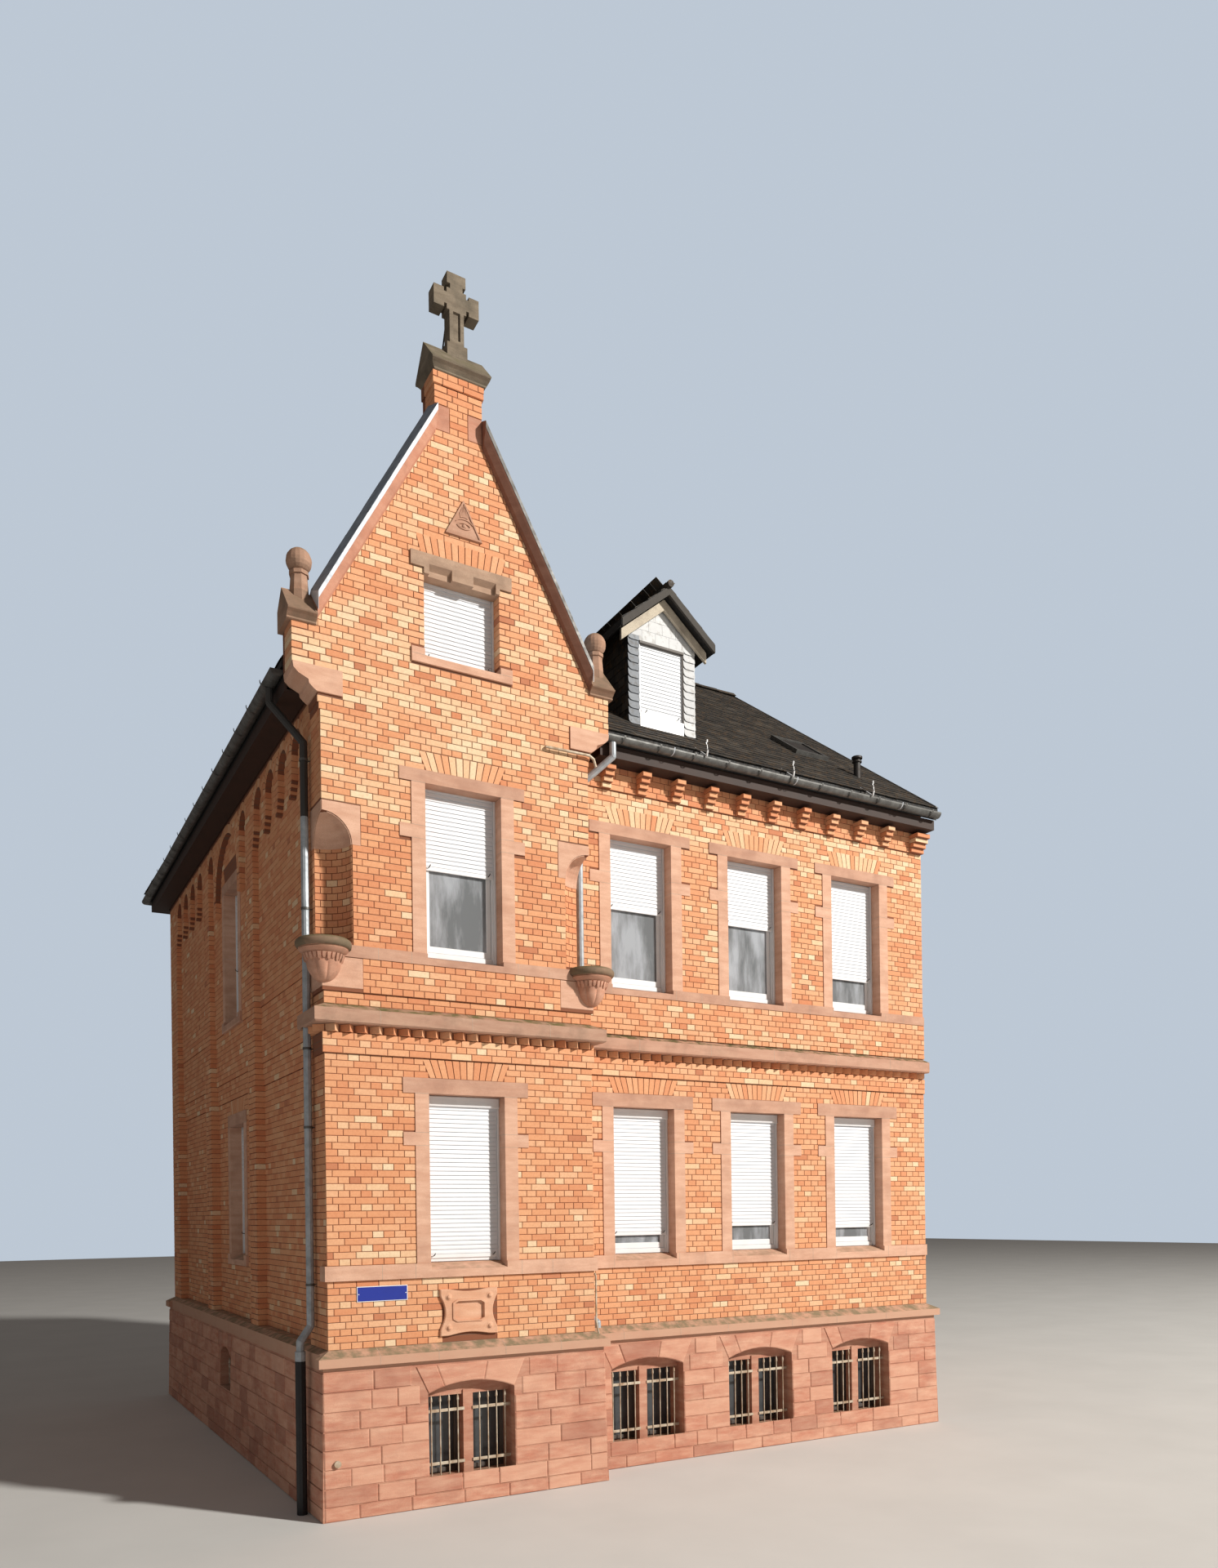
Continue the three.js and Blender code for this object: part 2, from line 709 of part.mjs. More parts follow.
function mainFrontWall() {
  const wall = box(BAY - WALL, FRONT, STEP_BACK, STEP_BACK + WALL, BRICK_START + GAP, 10500);
  const bandStart = BAY + OFFSET + GAP;
  const bands = [[LOWER_OFFSET, TOOTH_BED], [UPPER_OFFSET, UPPER.band]].map(([z0, z1]) => {
    return box(bandStart, FRONT, STEP_BACK - OFFSET, STEP_BACK + 1, z0, z1);
  });
  const brackets = [...Array(BRACKETS).keys()].map((i) => [FIRST_BRACKET + BRACKET_PITCH * i, BRACKET_WIDTH]);
  const corner = [FRONT - CORNER_BRACKET, CORNER_BRACKET];
  const eave = moved(eaveWall(BAY_AXIS + KNEELER_HALF + 1, FRONT, [...brackets, corner]), MAIN_PLACE);
  const solid = joined([wall, ...bands, eave]).intersect(frontUnderside([0, FRONT + 500]));
  const place = (part) => moved(part, MAIN_PLACE);
  return without(solid, [
    ...MAIN_AXES.map((axis) => place(windowHole(axis, GROUND))),
    ...MAIN_AXES.map((axis) => place(windowHole(axis, UPPER))),
    place(glazingSlot(MAIN_AXES, GROUND)),
    place(glazingSlot(MAIN_AXES, UPPER)),
    mainGroundStone(GAP),
    mainUpperStone(GAP),
    stringMain(grownProfile(STRING_PROFILE, STRING_BED + 50)),
    stringBay(grownProfile(STRING_PROFILE, STRING_BED + 50)),
    kneelerShaftRoom(),
  ]);
}

function kneelerShaftRoom() {
  return box(BAY - 10, BAY_AXIS + KNEELER_HALF + GAP, -100, WALL + GAP, 9000, 11000);
}

function mainGroundStone(grow) {
  const start = BAY + BAND_FACE + GAP;
  return moved(storeyStone(MAIN_AXES, start, FRONT - 1, GROUND, grow), MAIN_PLACE);
}

function mainUpperStone(grow) {
  const start = BAY + OFFSET + GAP;
  return moved(storeyStone(MAIN_AXES, start, FRONT - 1, UPPER, grow), MAIN_PLACE);
}

// The left wall: strips stand forward of sunk panels that end in small round arches

const PANEL_DEPTHS = [
  [BRICK_START - 10, LOWER_OFFSET, 130],
  [LOWER_OFFSET - 1, 5520, 112],
  [5519, UPPER.band, 95],
  [UPPER.band - 1, 12000, 80],
];
const PANEL_TOP = 8490;
const ARCH_PITCH = 680;
const ARCH_CLEAR = 460;
const ARCH_CROWN = 9200;

function sunk(y0, y1, z0, z1) {
  return box(-50, 80, y0, y1, z0, z1);
}

function panelBody(y0, y1, top) {
  return joined(PANEL_DEPTHS.map(([z0, z1, depth]) => box(-50, depth, y0, y1, z0, Math.min(z1, top))));
}

function archSlot(middle, clear, bed) {
  const spring = ARCH_CROWN - clear / 2;
  const half = clear / 2;
  const head = arc(middle, spring, half, 0, Math.PI, 8);
  const outline = [[middle - half, bed], [middle + half, bed], ...head];
  return prismX(outline, -50, 80);
}

function archedPanel(y0, count) {
  const y1 = y0 + count * ARCH_PITCH;
  const slots = [];
  for (let i = 0; i < count; i += 1) {
    const middle = y0 + ARCH_PITCH * (i + 0.5);
    slots.push(archSlot(middle, ARCH_CLEAR, PANEL_TOP - 10));
    slots.push(sunk(middle - 300, middle + 300, PANEL_TOP - 10, PANEL_TOP + 77));
    slots.push(sunk(middle - 265, middle + 265, PANEL_TOP + 70, PANEL_TOP + 154));
  }
  return joined([panelBody(y0, y1, PANEL_TOP), ...slots]);
}

// The middle panel of the left side: a wide arch over the window, a narrow one either side of it
const WIDE_SPRING = 8400;
const WIDE_RADIUS = 805;

function windowPanel() {
  const top = 8170;
  const body = panelBody(3840, 6610, top);
  const wide = arc(LEFT_AXIS, WIDE_SPRING, WIDE_RADIUS, 0, Math.PI, 16);
  const feet = [[LEFT_AXIS - WIDE_RADIUS, top - 10], [LEFT_AXIS + WIDE_RADIUS, top - 10]];
  const big = prismX([...feet, ...wide], -50, 80);
  return joined([body, big, archSlot(4050, 420, top - 10), archSlot(6400, 420, top - 10)]);
}

const LEFT_SIDE = (depth) => LEFT_PLACE.clone().multiply(new THREE.Matrix4().makeTranslation(0, depth, 0));
const LEFT_GROUND = LEFT_SIDE(130);
const LEFT_UPPER = LEFT_SIDE(80);

function leftWall() {
  const wall = box(0, WALL, WALL + GAP, DEPTH - WALL - GAP, BRICK_START + GAP, 12000);
  const solid = wall.intersect(leftUnderside()).intersect(backUndersideWide());
  return without(solid, [
    archedPanel(700, 4),
    windowPanel(),
    archedPanel(7030, 4),
    moved(windowHole(LEFT_AXIS, GROUND), LEFT_GROUND),
    moved(windowHole(LEFT_AXIS, UPPER), LEFT_UPPER),
    leftGroundStone(GAP),
    leftUpperStone(GAP),
    stringBay(grownProfile(STRING_PROFILE, STRING_BED + 50)),
  ]);
}

// Everything below the back slope, carried on level in front of the ridge
function backUndersideWide() {
  const under = (y) => mainTop(2 * RIDGE_Y - y) - MAIN_DROP - SLOPE_GAP;
  const far = DEPTH + 1000;
  const outline = [[-500, 0], [-500, under(RIDGE_Y)], [RIDGE_Y, under(RIDGE_Y)], [far, under(far)], [far, 0]];
  return prismX(outline, -1000, FRONT + 1000);
}

function leftGroundStone(grow) {
  return moved(looseStone(LEFT_AXIS, GROUND, grow), LEFT_GROUND);
}

function leftUpperStone(grow) {
  return moved(looseStone(LEFT_AXIS, UPPER, grow), LEFT_UPPER);
}

// The plain right and back walls

function rightWall() {
  const start = STEP_BACK + WALL + GAP;
  const wall = box(FRONT - WALL, FRONT, start, DEPTH - WALL - GAP, BRICK_START + GAP, 14000);
  const under = frontUnderside([0, FRONT + 500]).add(backUnderside(0, FRONT + 500));
  const place = (part) => moved(part, RIGHT_PLACE);
  return without(wall.intersect(under), [
    ...RIGHT_AXES.map((axis) => place(windowHole(axis, GROUND))),
    ...RIGHT_AXES.map((axis) => place(windowHole(axis, UPPER))),
    place(glazingSlot(RIGHT_AXES, GROUND)),
    place(glazingSlot(RIGHT_AXES, UPPER)),
  ]);
}

function backWall() {
  const wall = box(0, FRONT, DEPTH - WALL, DEPTH, BRICK_START + GAP, 10500);
  const starts = [...Array(REAR_BRACKETS).keys()].map((i) => CORNER_BRACKET + REAR_PITCH * i);
  const brackets = starts.map((start) => [start, BRACKET_WIDTH]);
  const eave = moved(eaveWall(0, FRONT, brackets), BACK_PLACE);
  const under = backUnderside(-10, FRONT + 500).intersect(leftUndersideWide());
  const solid = wall.add(eave).intersect(under);
  const place = (part) => moved(part, BACK_PLACE);
  return without(solid, [
    ...BACK_AXES.map((axis) => place(windowHole(axis, GROUND))),
    ...BACK_AXES.map((axis) => place(windowHole(axis, UPPER))),
    place(glazingSlot(BACK_AXES, GROUND)),
    place(glazingSlot(BACK_AXES, UPPER)),
  ]);
}

// Everything below the left slope, carried on level to the right
function leftUndersideWide() {
  const under = (x) => leftTop(x) - WING_DROP - SLOPE_GAP;
  const far = FRONT + 500;
  const outline = [[-1000, 0], [-1000, under(-1000)], [2000, under(2000)], [far, under(2000)], [far, 0]];
  return prismY(outline, -1000, DEPTH + 1000);
}

// Floors fill the plan between the walls

function floorSlab(inset, z0, z1) {
  const i = inset + GAP;
  const outline = [
    [i, i],
    [BAY - i, i],
    [BAY - i, STEP_BACK + i],
    [FRONT - i, STEP_BACK + i],
    [FRONT - i, DEPTH - i],
    [i, DEPTH - i],
  ];
  return prismZ(outline, z0, z1);
}

// Roof slabs, each with a lip of slates over its gutter

function slopeOutline(top, edge, end, drop, eaveIn) {
  return [
    [edge, SLATE_LIP],
    [edge, top(edge)],
    [end, top(end)],
    [end, top(end) - drop],
    [eaveIn, top(eaveIn) - drop],
    [eaveIn, SLATE_LIP],
  ];
}

function mainPrism(rise) {
  const far = 2 * RIDGE_Y + 2000;
  const low = mainTop(-2000) + rise;
  const outline = [[-2000, 0], [-2000, low], [RIDGE_Y, mainTop(RIDGE_Y) + rise], [far, low], [far, 0]];
  return prismX(outline, -1500, FRONT);
}

function leftSlab(x1, y0, y1, grow) {
  const edge = -SLATE_OUT;
  const eaveIn = -EAVE_OUT + GAP;
  const outline = slopeOutline(leftTop, edge, x1, WING_DROP, eaveIn).map(([x, z], i) => {
    return [x, z + (i === 1 || i === 2 ? grow : -grow)];
  });
  return prismY(outline, y0, y1);
}

const RIDGE_CUT = 2000;
const WING_SLATE_EDGE = 3700;

function wingLeftRoof() {
  const hipped = leftSlab(RIDGE_CUT, WING_START, DEPTH + 1000, 0).intersect(mainPrism(0));
  const backTrim = box(-1000, RIDGE_CUT, DEPTH + SLATE_OUT, DEPTH + 2000, 0, 20000);
  const gutterTrim = box(-1000, RIDGE_CUT, DEPTH + EAVE_OUT - GAP, DEPTH + 2000, 0, SLATE_LIP);
  return without(hipped.add(leftSlab(BAY_AXIS, WING_START, RIDGE_Y, 0)), [backTrim, gutterTrim]);
}

function wingRightRoof() {
  const top = (x) => WING_APEX - RAKE * (x - BAY_AXIS);
  const x0 = BAY_AXIS + GAP;
  const x1 = WING_SLATE_EDGE;
  const outline = [[x0, top(x0) - WING_DROP], [x0, top(x0)], [x1, top(x1)], [x1, top(x1) - WING_DROP]];
  const slab = prismY(outline, WING_START, RIDGE_Y - GAP);
  return without(slab, [mainPrism(SLOPE_GAP), kneelerShaftRoom()]);
}

function wingPrism(rise) {
  const outline = [
    [BAY_AXIS, WING_APEX + rise],
    [BAY_AXIS - 4000, WING_APEX - 4000 * RAKE + rise],
    [BAY_AXIS + 4000, WING_APEX - 4000 * RAKE + rise],
  ];
  return prismY(outline, WALL, RIDGE_Y + 1);
}

function beyondLeft() {
  const top = (x) => leftTop(x) + SLOPE_GAP;
  return prismY([[-2000, top(-2000)], [3000, top(3000)], [-2000, top(3000)]], -1000, DEPTH + 2000);
}

// The room of the left slope, open upwards so that no skin of slate is left above it
function leftSlabRoom() {
  const under = (x) => leftTop(x) - WING_DROP - SLOPE_GAP;
  const outline = [[-500, under(-500)], [RIDGE_CUT, under(RIDGE_CUT)], [RIDGE_CUT, 15000], [-500, 15000]];
  const above = prismY(outline, WING_START - 1, DEPTH + 1000);
  return above.subtract(beyondLeft());
}

const DORMER_ROOM = [4641, 5589, 951, 2450];

function mainSlope() {
  const edge = STEP_BACK - SLATE_OUT;
  return slopeOutline(mainTop, edge, RIDGE_Y - GAP / 2, MAIN_DROP, STEP_BACK - EAVE_OUT + GAP);
}

function mainFrontRoof() {
  const slab = prismX(mainSlope(), BAY_AXIS, FRONT + VERGE);
  const [x0, x1, y0, y1] = DORMER_ROOM;
  return without(slab, [
    wingPrism(SLOPE_GAP),
    beyondLeft(),
    leftSlabRoom(),
    box(-1000, BAY_AXIS + KNEELER_HALF + 2 * GAP, -1000, WING_START + GAP, 0, 20000),
    box(x0, x1, y0, y1, 9000, 13000),
  ]);
}

function mainBackRoof() {
  const mirror = (y) => 2 * RIDGE_Y - y;
  const slab = prismX(mainSlope().map(([y, z]) => [mirror(y), z]), -EAVE_OUT + GAP, FRONT + VERGE);
  return without(slab, [beyondLeft(), leftSlabRoom()]);
}

// Dormer

const DORMER_AXIS = 5115;
const DORMER_FRONT = 870;
const DORMER_HALF = 555;
const DORMER_APEX = 12130;
const DORMER_PITCH = 0.82;
const DORMER_THICK = 105;
const DORMER_EAVE_HALF = 780;
const DORMER_ROOF_FRONT = 650;
const DORMER_LIGHT = [4740, 5480, 10290, 11370];
const DORMER_FRAME = 55;

function dormerOver(half, rise) {
  const eave = DORMER_APEX - DORMER_PITCH * half + rise;
  return [[DORMER_AXIS - half, eave], [DORMER_AXIS, DORMER_APEX + rise], [DORMER_AXIS + half, eave]];
}

function dormerWalls() {
  const under = dormerOver(DORMER_HALF, -DORMER_THICK - SLOPE_GAP);
  const outline = [[DORMER_AXIS - DORMER_HALF, 9700], ...under, [DORMER_AXIS + DORMER_HALF, 9700]];
  const shell = prismY(outline, DORMER_FRONT, 3600);
  const [x0, x1, y0] = DORMER_ROOM;
  const [left, right, sill, head] = DORMER_LIGHT;
  return without(shell, [
    box(x0, x1, y0, 3700, 9000, 13000),
    mainPrism(SLOPE_GAP),
    box(left, right, DORMER_FRONT - 50, y0 + 50, sill, head),
  ]);
}

function dormerWindow() {
  const [x0, x1, sill, head] = DORMER_LIGHT;
  const [y0, inset] = [DORMER_FRONT, DORMER_FRAME];
  const frame = box(x0 + GAP, x1 - GAP, y0 + 20, y0 + 75, sill + GAP, head - GAP);
  return frame.subtract(box(x0 + inset, x1 - inset, y0, y0 + 35, sill + inset, head - inset));
}

function dormerRoof() {
  const outer = dormerOver(DORMER_EAVE_HALF, 0);
  const inner = dormerOver(DORMER_EAVE_HALF, -DORMER_THICK).reverse();
  const slab = prismY([...outer, ...inner], DORMER_ROOF_FRONT, 4200);
  return slab.subtract(mainPrism(SLOPE_GAP));
}

// Eaves and gutters

const EAVE_PROFILE = [
  [OFFSET + GAP, SOFFIT],
  [EAVE_OUT, SOFFIT],
  [EAVE_OUT, 9482],
  [EAVE_OUT - 28, 9482],
  [EAVE_OUT - 28, SOFFIT + 22],
  [OFFSET + GAP, SOFFIT + 22],
];

function gutterProfile() {
  const middle = EAVE_OUT + GAP + GUTTER_RADIUS;
  const outer = arc(middle, GUTTER_RIM, GUTTER_RADIUS, 0, -Math.PI, 12);
  const inner = arc(middle, GUTTER_RIM, GUTTER_RADIUS - GUTTER_WALL, -Math.PI, 0, 12);
  return [...outer, ...inner];
}

const EAVE_START = BAY_AXIS + KNEELER_HALF + GAP;

function eaveFront() {
  return sweep(EAVE_PROFILE, [[EAVE_START, STEP_BACK], [FRONT, STEP_BACK]], null, null);
}

function eaveRear() {
  return sweep(EAVE_PROFILE, [CORNERS[4], CORNERS[5], [0, WING_START + GAP]], null, null);
}

function gutterFront() {
  const run = sweep(gutterProfile(), [[EAVE_START, STEP_BACK], [FRONT, STEP_BACK]], null, null);
  return run.add(gutterStop(FRONT - 5, STEP_BACK - EAVE_OUT - GAP - GUTTER_RADIUS, 0));
}

// A half-round plate that stops a gutter's end; angle 0 stops a run along x
function gutterStop(x, y, angle) {
  const outline = arc(0, 0, GUTTER_RADIUS - 1, 0, -Math.PI, 12);
  const plate = prismX(outline, 0, 5);
  const place = turn(x, y, angle);
  place.setPosition(x, y, GUTTER_RIM);
  return moved(plate, place);
}

function gutterBack() {
  const run = sweep(gutterProfile(), [CORNERS[4], CORNERS[5]], null, CORNERS[0]);
  return run.add(gutterStop(FRONT - 5, DEPTH + EAVE_OUT + GAP + GUTTER_RADIUS, 0));
}

function gutterLeft() {
  const run = sweep(gutterProfile(), [CORNERS[5], [0, WING_START + 4]], CORNERS[4], null);
  return run.add(gutterStop(-EAVE_OUT - GAP - GUTTER_RADIUS, WING_START + 4, Math.PI / 2));
}

const PIPE_RADIUS = 45;
const STANDPIPE_RADIUS = 60;
const LEFT_PIPE_AT = [-80, 430];
const STANDPIPE_AT = [-210, 400];
const FRONT_PIPE_AT = [3495, 412];

function downpipeLeft() {
  const zinc = pipe([
    [-380, 750, GUTTER_RIM - GUTTER_RADIUS - GAP],
    [-380, 750, 9320],
    [...LEFT_PIPE_AT, 8800],
    [...LEFT_PIPE_AT, 2130],
    [...STANDPIPE_AT, 1960],
    [...STANDPIPE_AT, 1840],
  ], PIPE_RADIUS);
  return zinc.add(pipe([[...STANDPIPE_AT, 1850], [...STANDPIPE_AT, 0]], STANDPIPE_RADIUS));
}

function downpipeFront() {
  const outY = STEP_BACK - EAVE_OUT - GAP - GUTTER_RADIUS;
  return pipe([
    [3850, outY, GUTTER_RIM - GUTTER_RADIUS - GAP],
    [3850, outY, 9300],
    [...FRONT_PIPE_AT, 8950],
    [...FRONT_PIPE_AT, 2080],
    [3610, 290, 1960],
    [3610, 290, 1890],
  ], PIPE_RADIUS);
}

// Stone of the gable

const COPING = [
  [0, 0],
  [-60, 20],
  [-110, 80],
  [-120, 95],
  [-120, 136],
  [190, 212],
  [WALL, 150],
  [WALL, 0],
];

function coping(side) {
  const length = Math.hypot(1, RAKE);
  const across = [RAKE / length, 1 / length];
  const ring = (h) => COPING.map(([y, n]) => {
    const lift = n + GAP;
    const x = BAY_AXIS + side * (h + across[0] * lift);
    return new THREE.Vector3(x, y, rakeEdge(h) + across[1] * lift);
  });
  const whole = loft([ring(-200), ring(KNEELER_INNER + 100)], COPING);
  const inner = PEDESTAL_HALF + 0.5;
  const outer = KNEELER_INNER - 0.5;
  const ends = [BAY_AXIS + side * inner, BAY_AXIS + side * outer];
  const keep = box(Math.min(...ends), Math.max(...ends), -1000, 1000, 9000, PEDESTAL_NECK - GAP);
  return whole.intersect(keep);
}

// Saddle stone of a kneeler from the street to the back, then its ball
const SADDLE = [
  [-18, KNEELER_TOP],
  [-30, KNEELER_TOP + 8],
  [-30, KNEELER_TOP + 24],
  [-24, KNEELER_TOP + 30],
  [-60, KNEELER_TOP + 62],
  [-94, KNEELER_TOP + 86],
  [-100, KNEELER_TOP + 98],
  [190, 10385],
  [WALL, 10190],
  [WALL, KNEELER_TOP],
];
const SADDLE_OUTER = 2070;
const BALL_HALF = 1905;
const BALL_SHIFT = 35;
const BALL_Y = 190;
const BALL_Z = 10725;
const BALL_RADIUS = 144;

function kneelerCap(side) {
  const ends = [BAY_AXIS + side * KNEELER_INNER, BAY_AXIS + side * SADDLE_OUTER];
  const saddle = prismX(SADDLE, Math.min(...ends), Math.max(...ends));
  const stand = (geometry, z) => {
    geometry.rotateX(Math.PI / 2);
    geometry.translate(BAY_AXIS + BALL_SHIFT + side * BALL_HALF, BALL_Y, z);
    return solidOf(geometry);
  };
  const neck = stand(new THREE.CylinderGeometry(92, 122, 420, 8), 10400);
  const collar = stand(new THREE.CylinderGeometry(112, 112, 40, 8), 10575);
  const ball = stand(new THREE.SphereGeometry(BALL_RADIUS, 18, 12), BALL_Z);
  return joined([saddle, neck, collar, ball]);
}

// Moulded cap under the cross: its outline from the street back, and half of it from side to side
const CAP_BED = PEDESTAL_TOP + GAP;
const CAP_ALONG = [
  [-24, CAP_BED],
  [-34, CAP_BED + 8],
  [-34, CAP_BED + 26],
  [-28, CAP_BED + 32],
  [-60, CAP_BED + 66],
  [-94, CAP_BED + 92],
  [-100, CAP_BED + 104],
  [190, 13775],
  [475, CAP_BED + 104],
  [475, CAP_BED + 95],
  [440, CAP_BED + 70],
  [385, CAP_BED],
];
const CAP_ACROSS = [
  [325, CAP_BED],
  [340, 13365],
  [365, 13400],
  [380, 13450],
  [380, 13900],
];

function pedestalCap(lift) {
  const along = CAP_ALONG.map(([y, z]) => [y, z + lift]);
  const middle = BAY_AXIS + 20;
  const right = CAP_ACROSS.map(([h, z]) => [middle + h, z + lift]);
  const left = CAP_ACROSS.map(([h, z]) => [middle - h, z + lift]).reverse();
  return prismX(along, 1000, 2500).intersect(prismY([...right, ...left], -500, 1000));
}

// The cross: half width, foot and top of each of its stones
const CROSS_AXIS = 1750;
const CROSS_FRONT = 130;
const CROSS_BACK = 300;
const CROSS_STONES = [
  [92, 13840, 14300],
  [125, 14245, 14505],
  [80, 14500, 14580],
  [120, 14565, 14700],
  [170, 14305, 14445],
];
const CROSS_ARM = [160, 290];

function gableCross() {
  const stone = (half, z0, z1, y0, y1) => box(CROSS_AXIS - half, CROSS_AXIS + half, y0, y1, z0, z1);
  const parts = CROSS_STONES.map(([half, z0, z1]) => stone(half, z0, z1, CROSS_FRONT, CROSS_BACK));
  parts.push(stone(130, 13600, 13850, CROSS_FRONT - 10, CROSS_BACK + 10));
  [-1, 1].forEach((side) => {
    const [near, far] = CROSS_ARM.map((half) => CROSS_AXIS + side * half);
    parts.push(between(near, far, CROSS_FRONT, CROSS_BACK, 14255, 14490));
  });
  const panel = stone(45, 13900, 14240, CROSS_FRONT - 30, CROSS_FRONT + 25);
  return without(joined(parts), [panel, pedestalCap(0.5)]);
}

// The whole house

function house() {
  const sheet = (name, axes, storey, feet, place) => {
    return piece(name, moved(glazing(axes, storey, feet), place), WINDOW_WHITE);
  };
  const rear = (name, axes, storey, place) => {
    return sheet(name, axes, storey, axes.map(() => storey.rearFoot), place);
  };
  return [
    piece("bay_wall_ground", bayWall(BRICK_START, STRING_BED - GAP), BRICK),
    piece("bay_wall_upper", bayWall(STRING_BED, CONSOLE_BED - GAP), BRICK),
    piece("bay_gable", bayWall(CONSOLE_BED, PEDESTAL_TOP + 1), BRICK),
    piece("main_front_wall", mainFrontWall(), BRICK),
    piece("left_wall", leftWall(), BRICK),
    piece("back_wall", backWall(), BRICK),
    piece("right_wall", rightWall(), BRICK),
    piece("plinth_bay", plinthBay(), PLINTH_STONE),
    piece("plinth_main_front", plinthMainFront(), PLINTH_STONE),
    piece("plinth_rear", plinthRear(), PLINTH_STONE),
    piece("string_course_bay", stringBay(STRING_PROFILE).subtract(pipeRoom()), CAP_STONE),
    piece("string_course_main", stringMain(STRING_PROFILE).subtract(pipeRoom()), CAP_STONE),
    piece("stone_bay_ground", bayGroundStone(0).subtract(pipeRoom()), SANDSTONE),
    piece("stone_bay_upper", bayUpperStone(0), SANDSTONE),
    piece("stone_main_ground", mainGroundStone(0).subtract(pipeRoom()), SANDSTONE),
    piece("stone_main_upper", mainUpperStone(0).subtract(pipeRoom()), SANDSTONE),
    piece("stone_left_ground", leftGroundStone(0), SANDSTONE),
    piece("stone_left_upper", leftUpperStone(0), SANDSTONE),
    piece("attic_sill", atticSill(0), SANDSTONE),
    piece("attic_lintel", atticLintel(0), SANDSTONE),
    sheet("window_bay_ground", [BAY_AXIS], GROUND, [0], STREET),
    sheet("window_bay_upper", [BAY_AXIS], UPPER, [7470], STREET),
    sheet("window_bay_attic", [ATTIC_AXIS], ATTIC, [0], STREET),
    sheet("windows_main_ground", MAIN_AXES, GROUND, [3070, 3170, 3110], MAIN_PLACE),
    sheet("windows_main_upper", MAIN_AXES, UPPER, [7490, 7500, 6920], MAIN_PLACE),
    sheet("window_left_ground", [LEFT_AXIS], GROUND, [0], LEFT_GROUND),
    sheet("window_left_upper", [LEFT_AXIS], UPPER, [7500], LEFT_UPPER),
    rear("windows_back_ground", BACK_AXES, GROUND, BACK_PLACE),
    rear("windows_back_upper", BACK_AXES, UPPER, BACK_PLACE),
    rear("windows_right_ground", RIGHT_AXES, GROUND, RIGHT_PLACE),
    rear("windows_right_upper", RIGHT_AXES, UPPER, RIGHT_PLACE),
    piece("dormer_window", dormerWindow(), WINDOW_WHITE),
    piece("dormer_walls", dormerWalls(), SLATE),
    piece("dormer_roof", dormerRoof(), SLATE),
    piece("roof_main_front", mainFrontRoof(), SLATE),
    piece("roof_main_back", mainBackRoof(), SLATE),
    piece("roof_wing_left", wingLeftRoof(), SLATE),
    piece("roof_wing_right", wingRightRoof(), SLATE),
    piece("eave_front", eaveFront(), EAVE_TIMBER),
    piece("eave_rear", eaveRear(), EAVE_TIMBER),
    piece("gutter_front", gutterFront(), ZINC),
    piece("gutter_left", gutterLeft(), ZINC),
    piece("gutter_back", gutterBack(), ZINC),
    piece("downpipe_left", downpipeLeft(), ZINC),
    piece("downpipe_front", downpipeFront(), ZINC),
    piece("coping_left", coping(-1), CAP_STONE),
    piece("coping_right", coping(1), CAP_STONE),
    piece("kneeler_block_left", consoleBlock(-1, 0), SANDSTONE),
    piece("kneeler_block_right", consoleBlock(1, 0), SANDSTONE),
    piece("kneeler_cap_left", kneelerCap(-1), CAP_STONE),
    piece("kneeler_cap_right", kneelerCap(1), CAP_STONE),
    piece("pedestal_cap", pedestalCap(0), CAP_STONE),
    piece("gable_cross", gableCross(), CAP_STONE),
    piece("bowl_left", bowlCorbel(0), SANDSTONE),
    piece("bowl_right", bowlCorbel(BAY), SANDSTONE),
    piece("floor_cellar", floorSlab(PLINTH_WALL, 0, CELLAR_FLOOR), FLOOR_SLAB),
    piece("floor_ground", floorSlab(WALL, BRICK_START + GAP, GROUND_FLOOR), FLOOR_SLAB),
    piece("floor_upper", floorSlab(WALL, UPPER_FLOOR - SLAB, UPPER_FLOOR), FLOOR_SLAB),
    piece("floor_attic", floorSlab(WALL, ATTIC_FLOOR - SLAB, ATTIC_FLOOR), FLOOR_SLAB),
  ];
}

// Room left free round the two downpipes where they pass the stone courses
function pipeRoom() {
  const left = box(-140, -20, 370, 490, 2100, 8700);
  const right = box(3440, 3560, 340, 460, 2100, 8700);
  return left.add(right);
}

const group = new THREE.Group();
group.name = "brick_house";
group.add(...house());
group.position.set(-FRONT / 2, -DEPTH / 2, 0);

export default group;
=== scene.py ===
"""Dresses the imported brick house: bricks, stone, slates, windows, ironwork, light and camera.

Lengths are in metres. Places are worked out in house coordinates, whose zero is the bay's front
left corner at the lowest ground, and moved to the part's own frame by at().
"""

import json
import logging
import math
import random
from dataclasses import dataclass, field
from enum import Enum
from typing import Callable, Iterable, Optional, Sequence

import bmesh
import bpy
from mathutils import Matrix, Vector

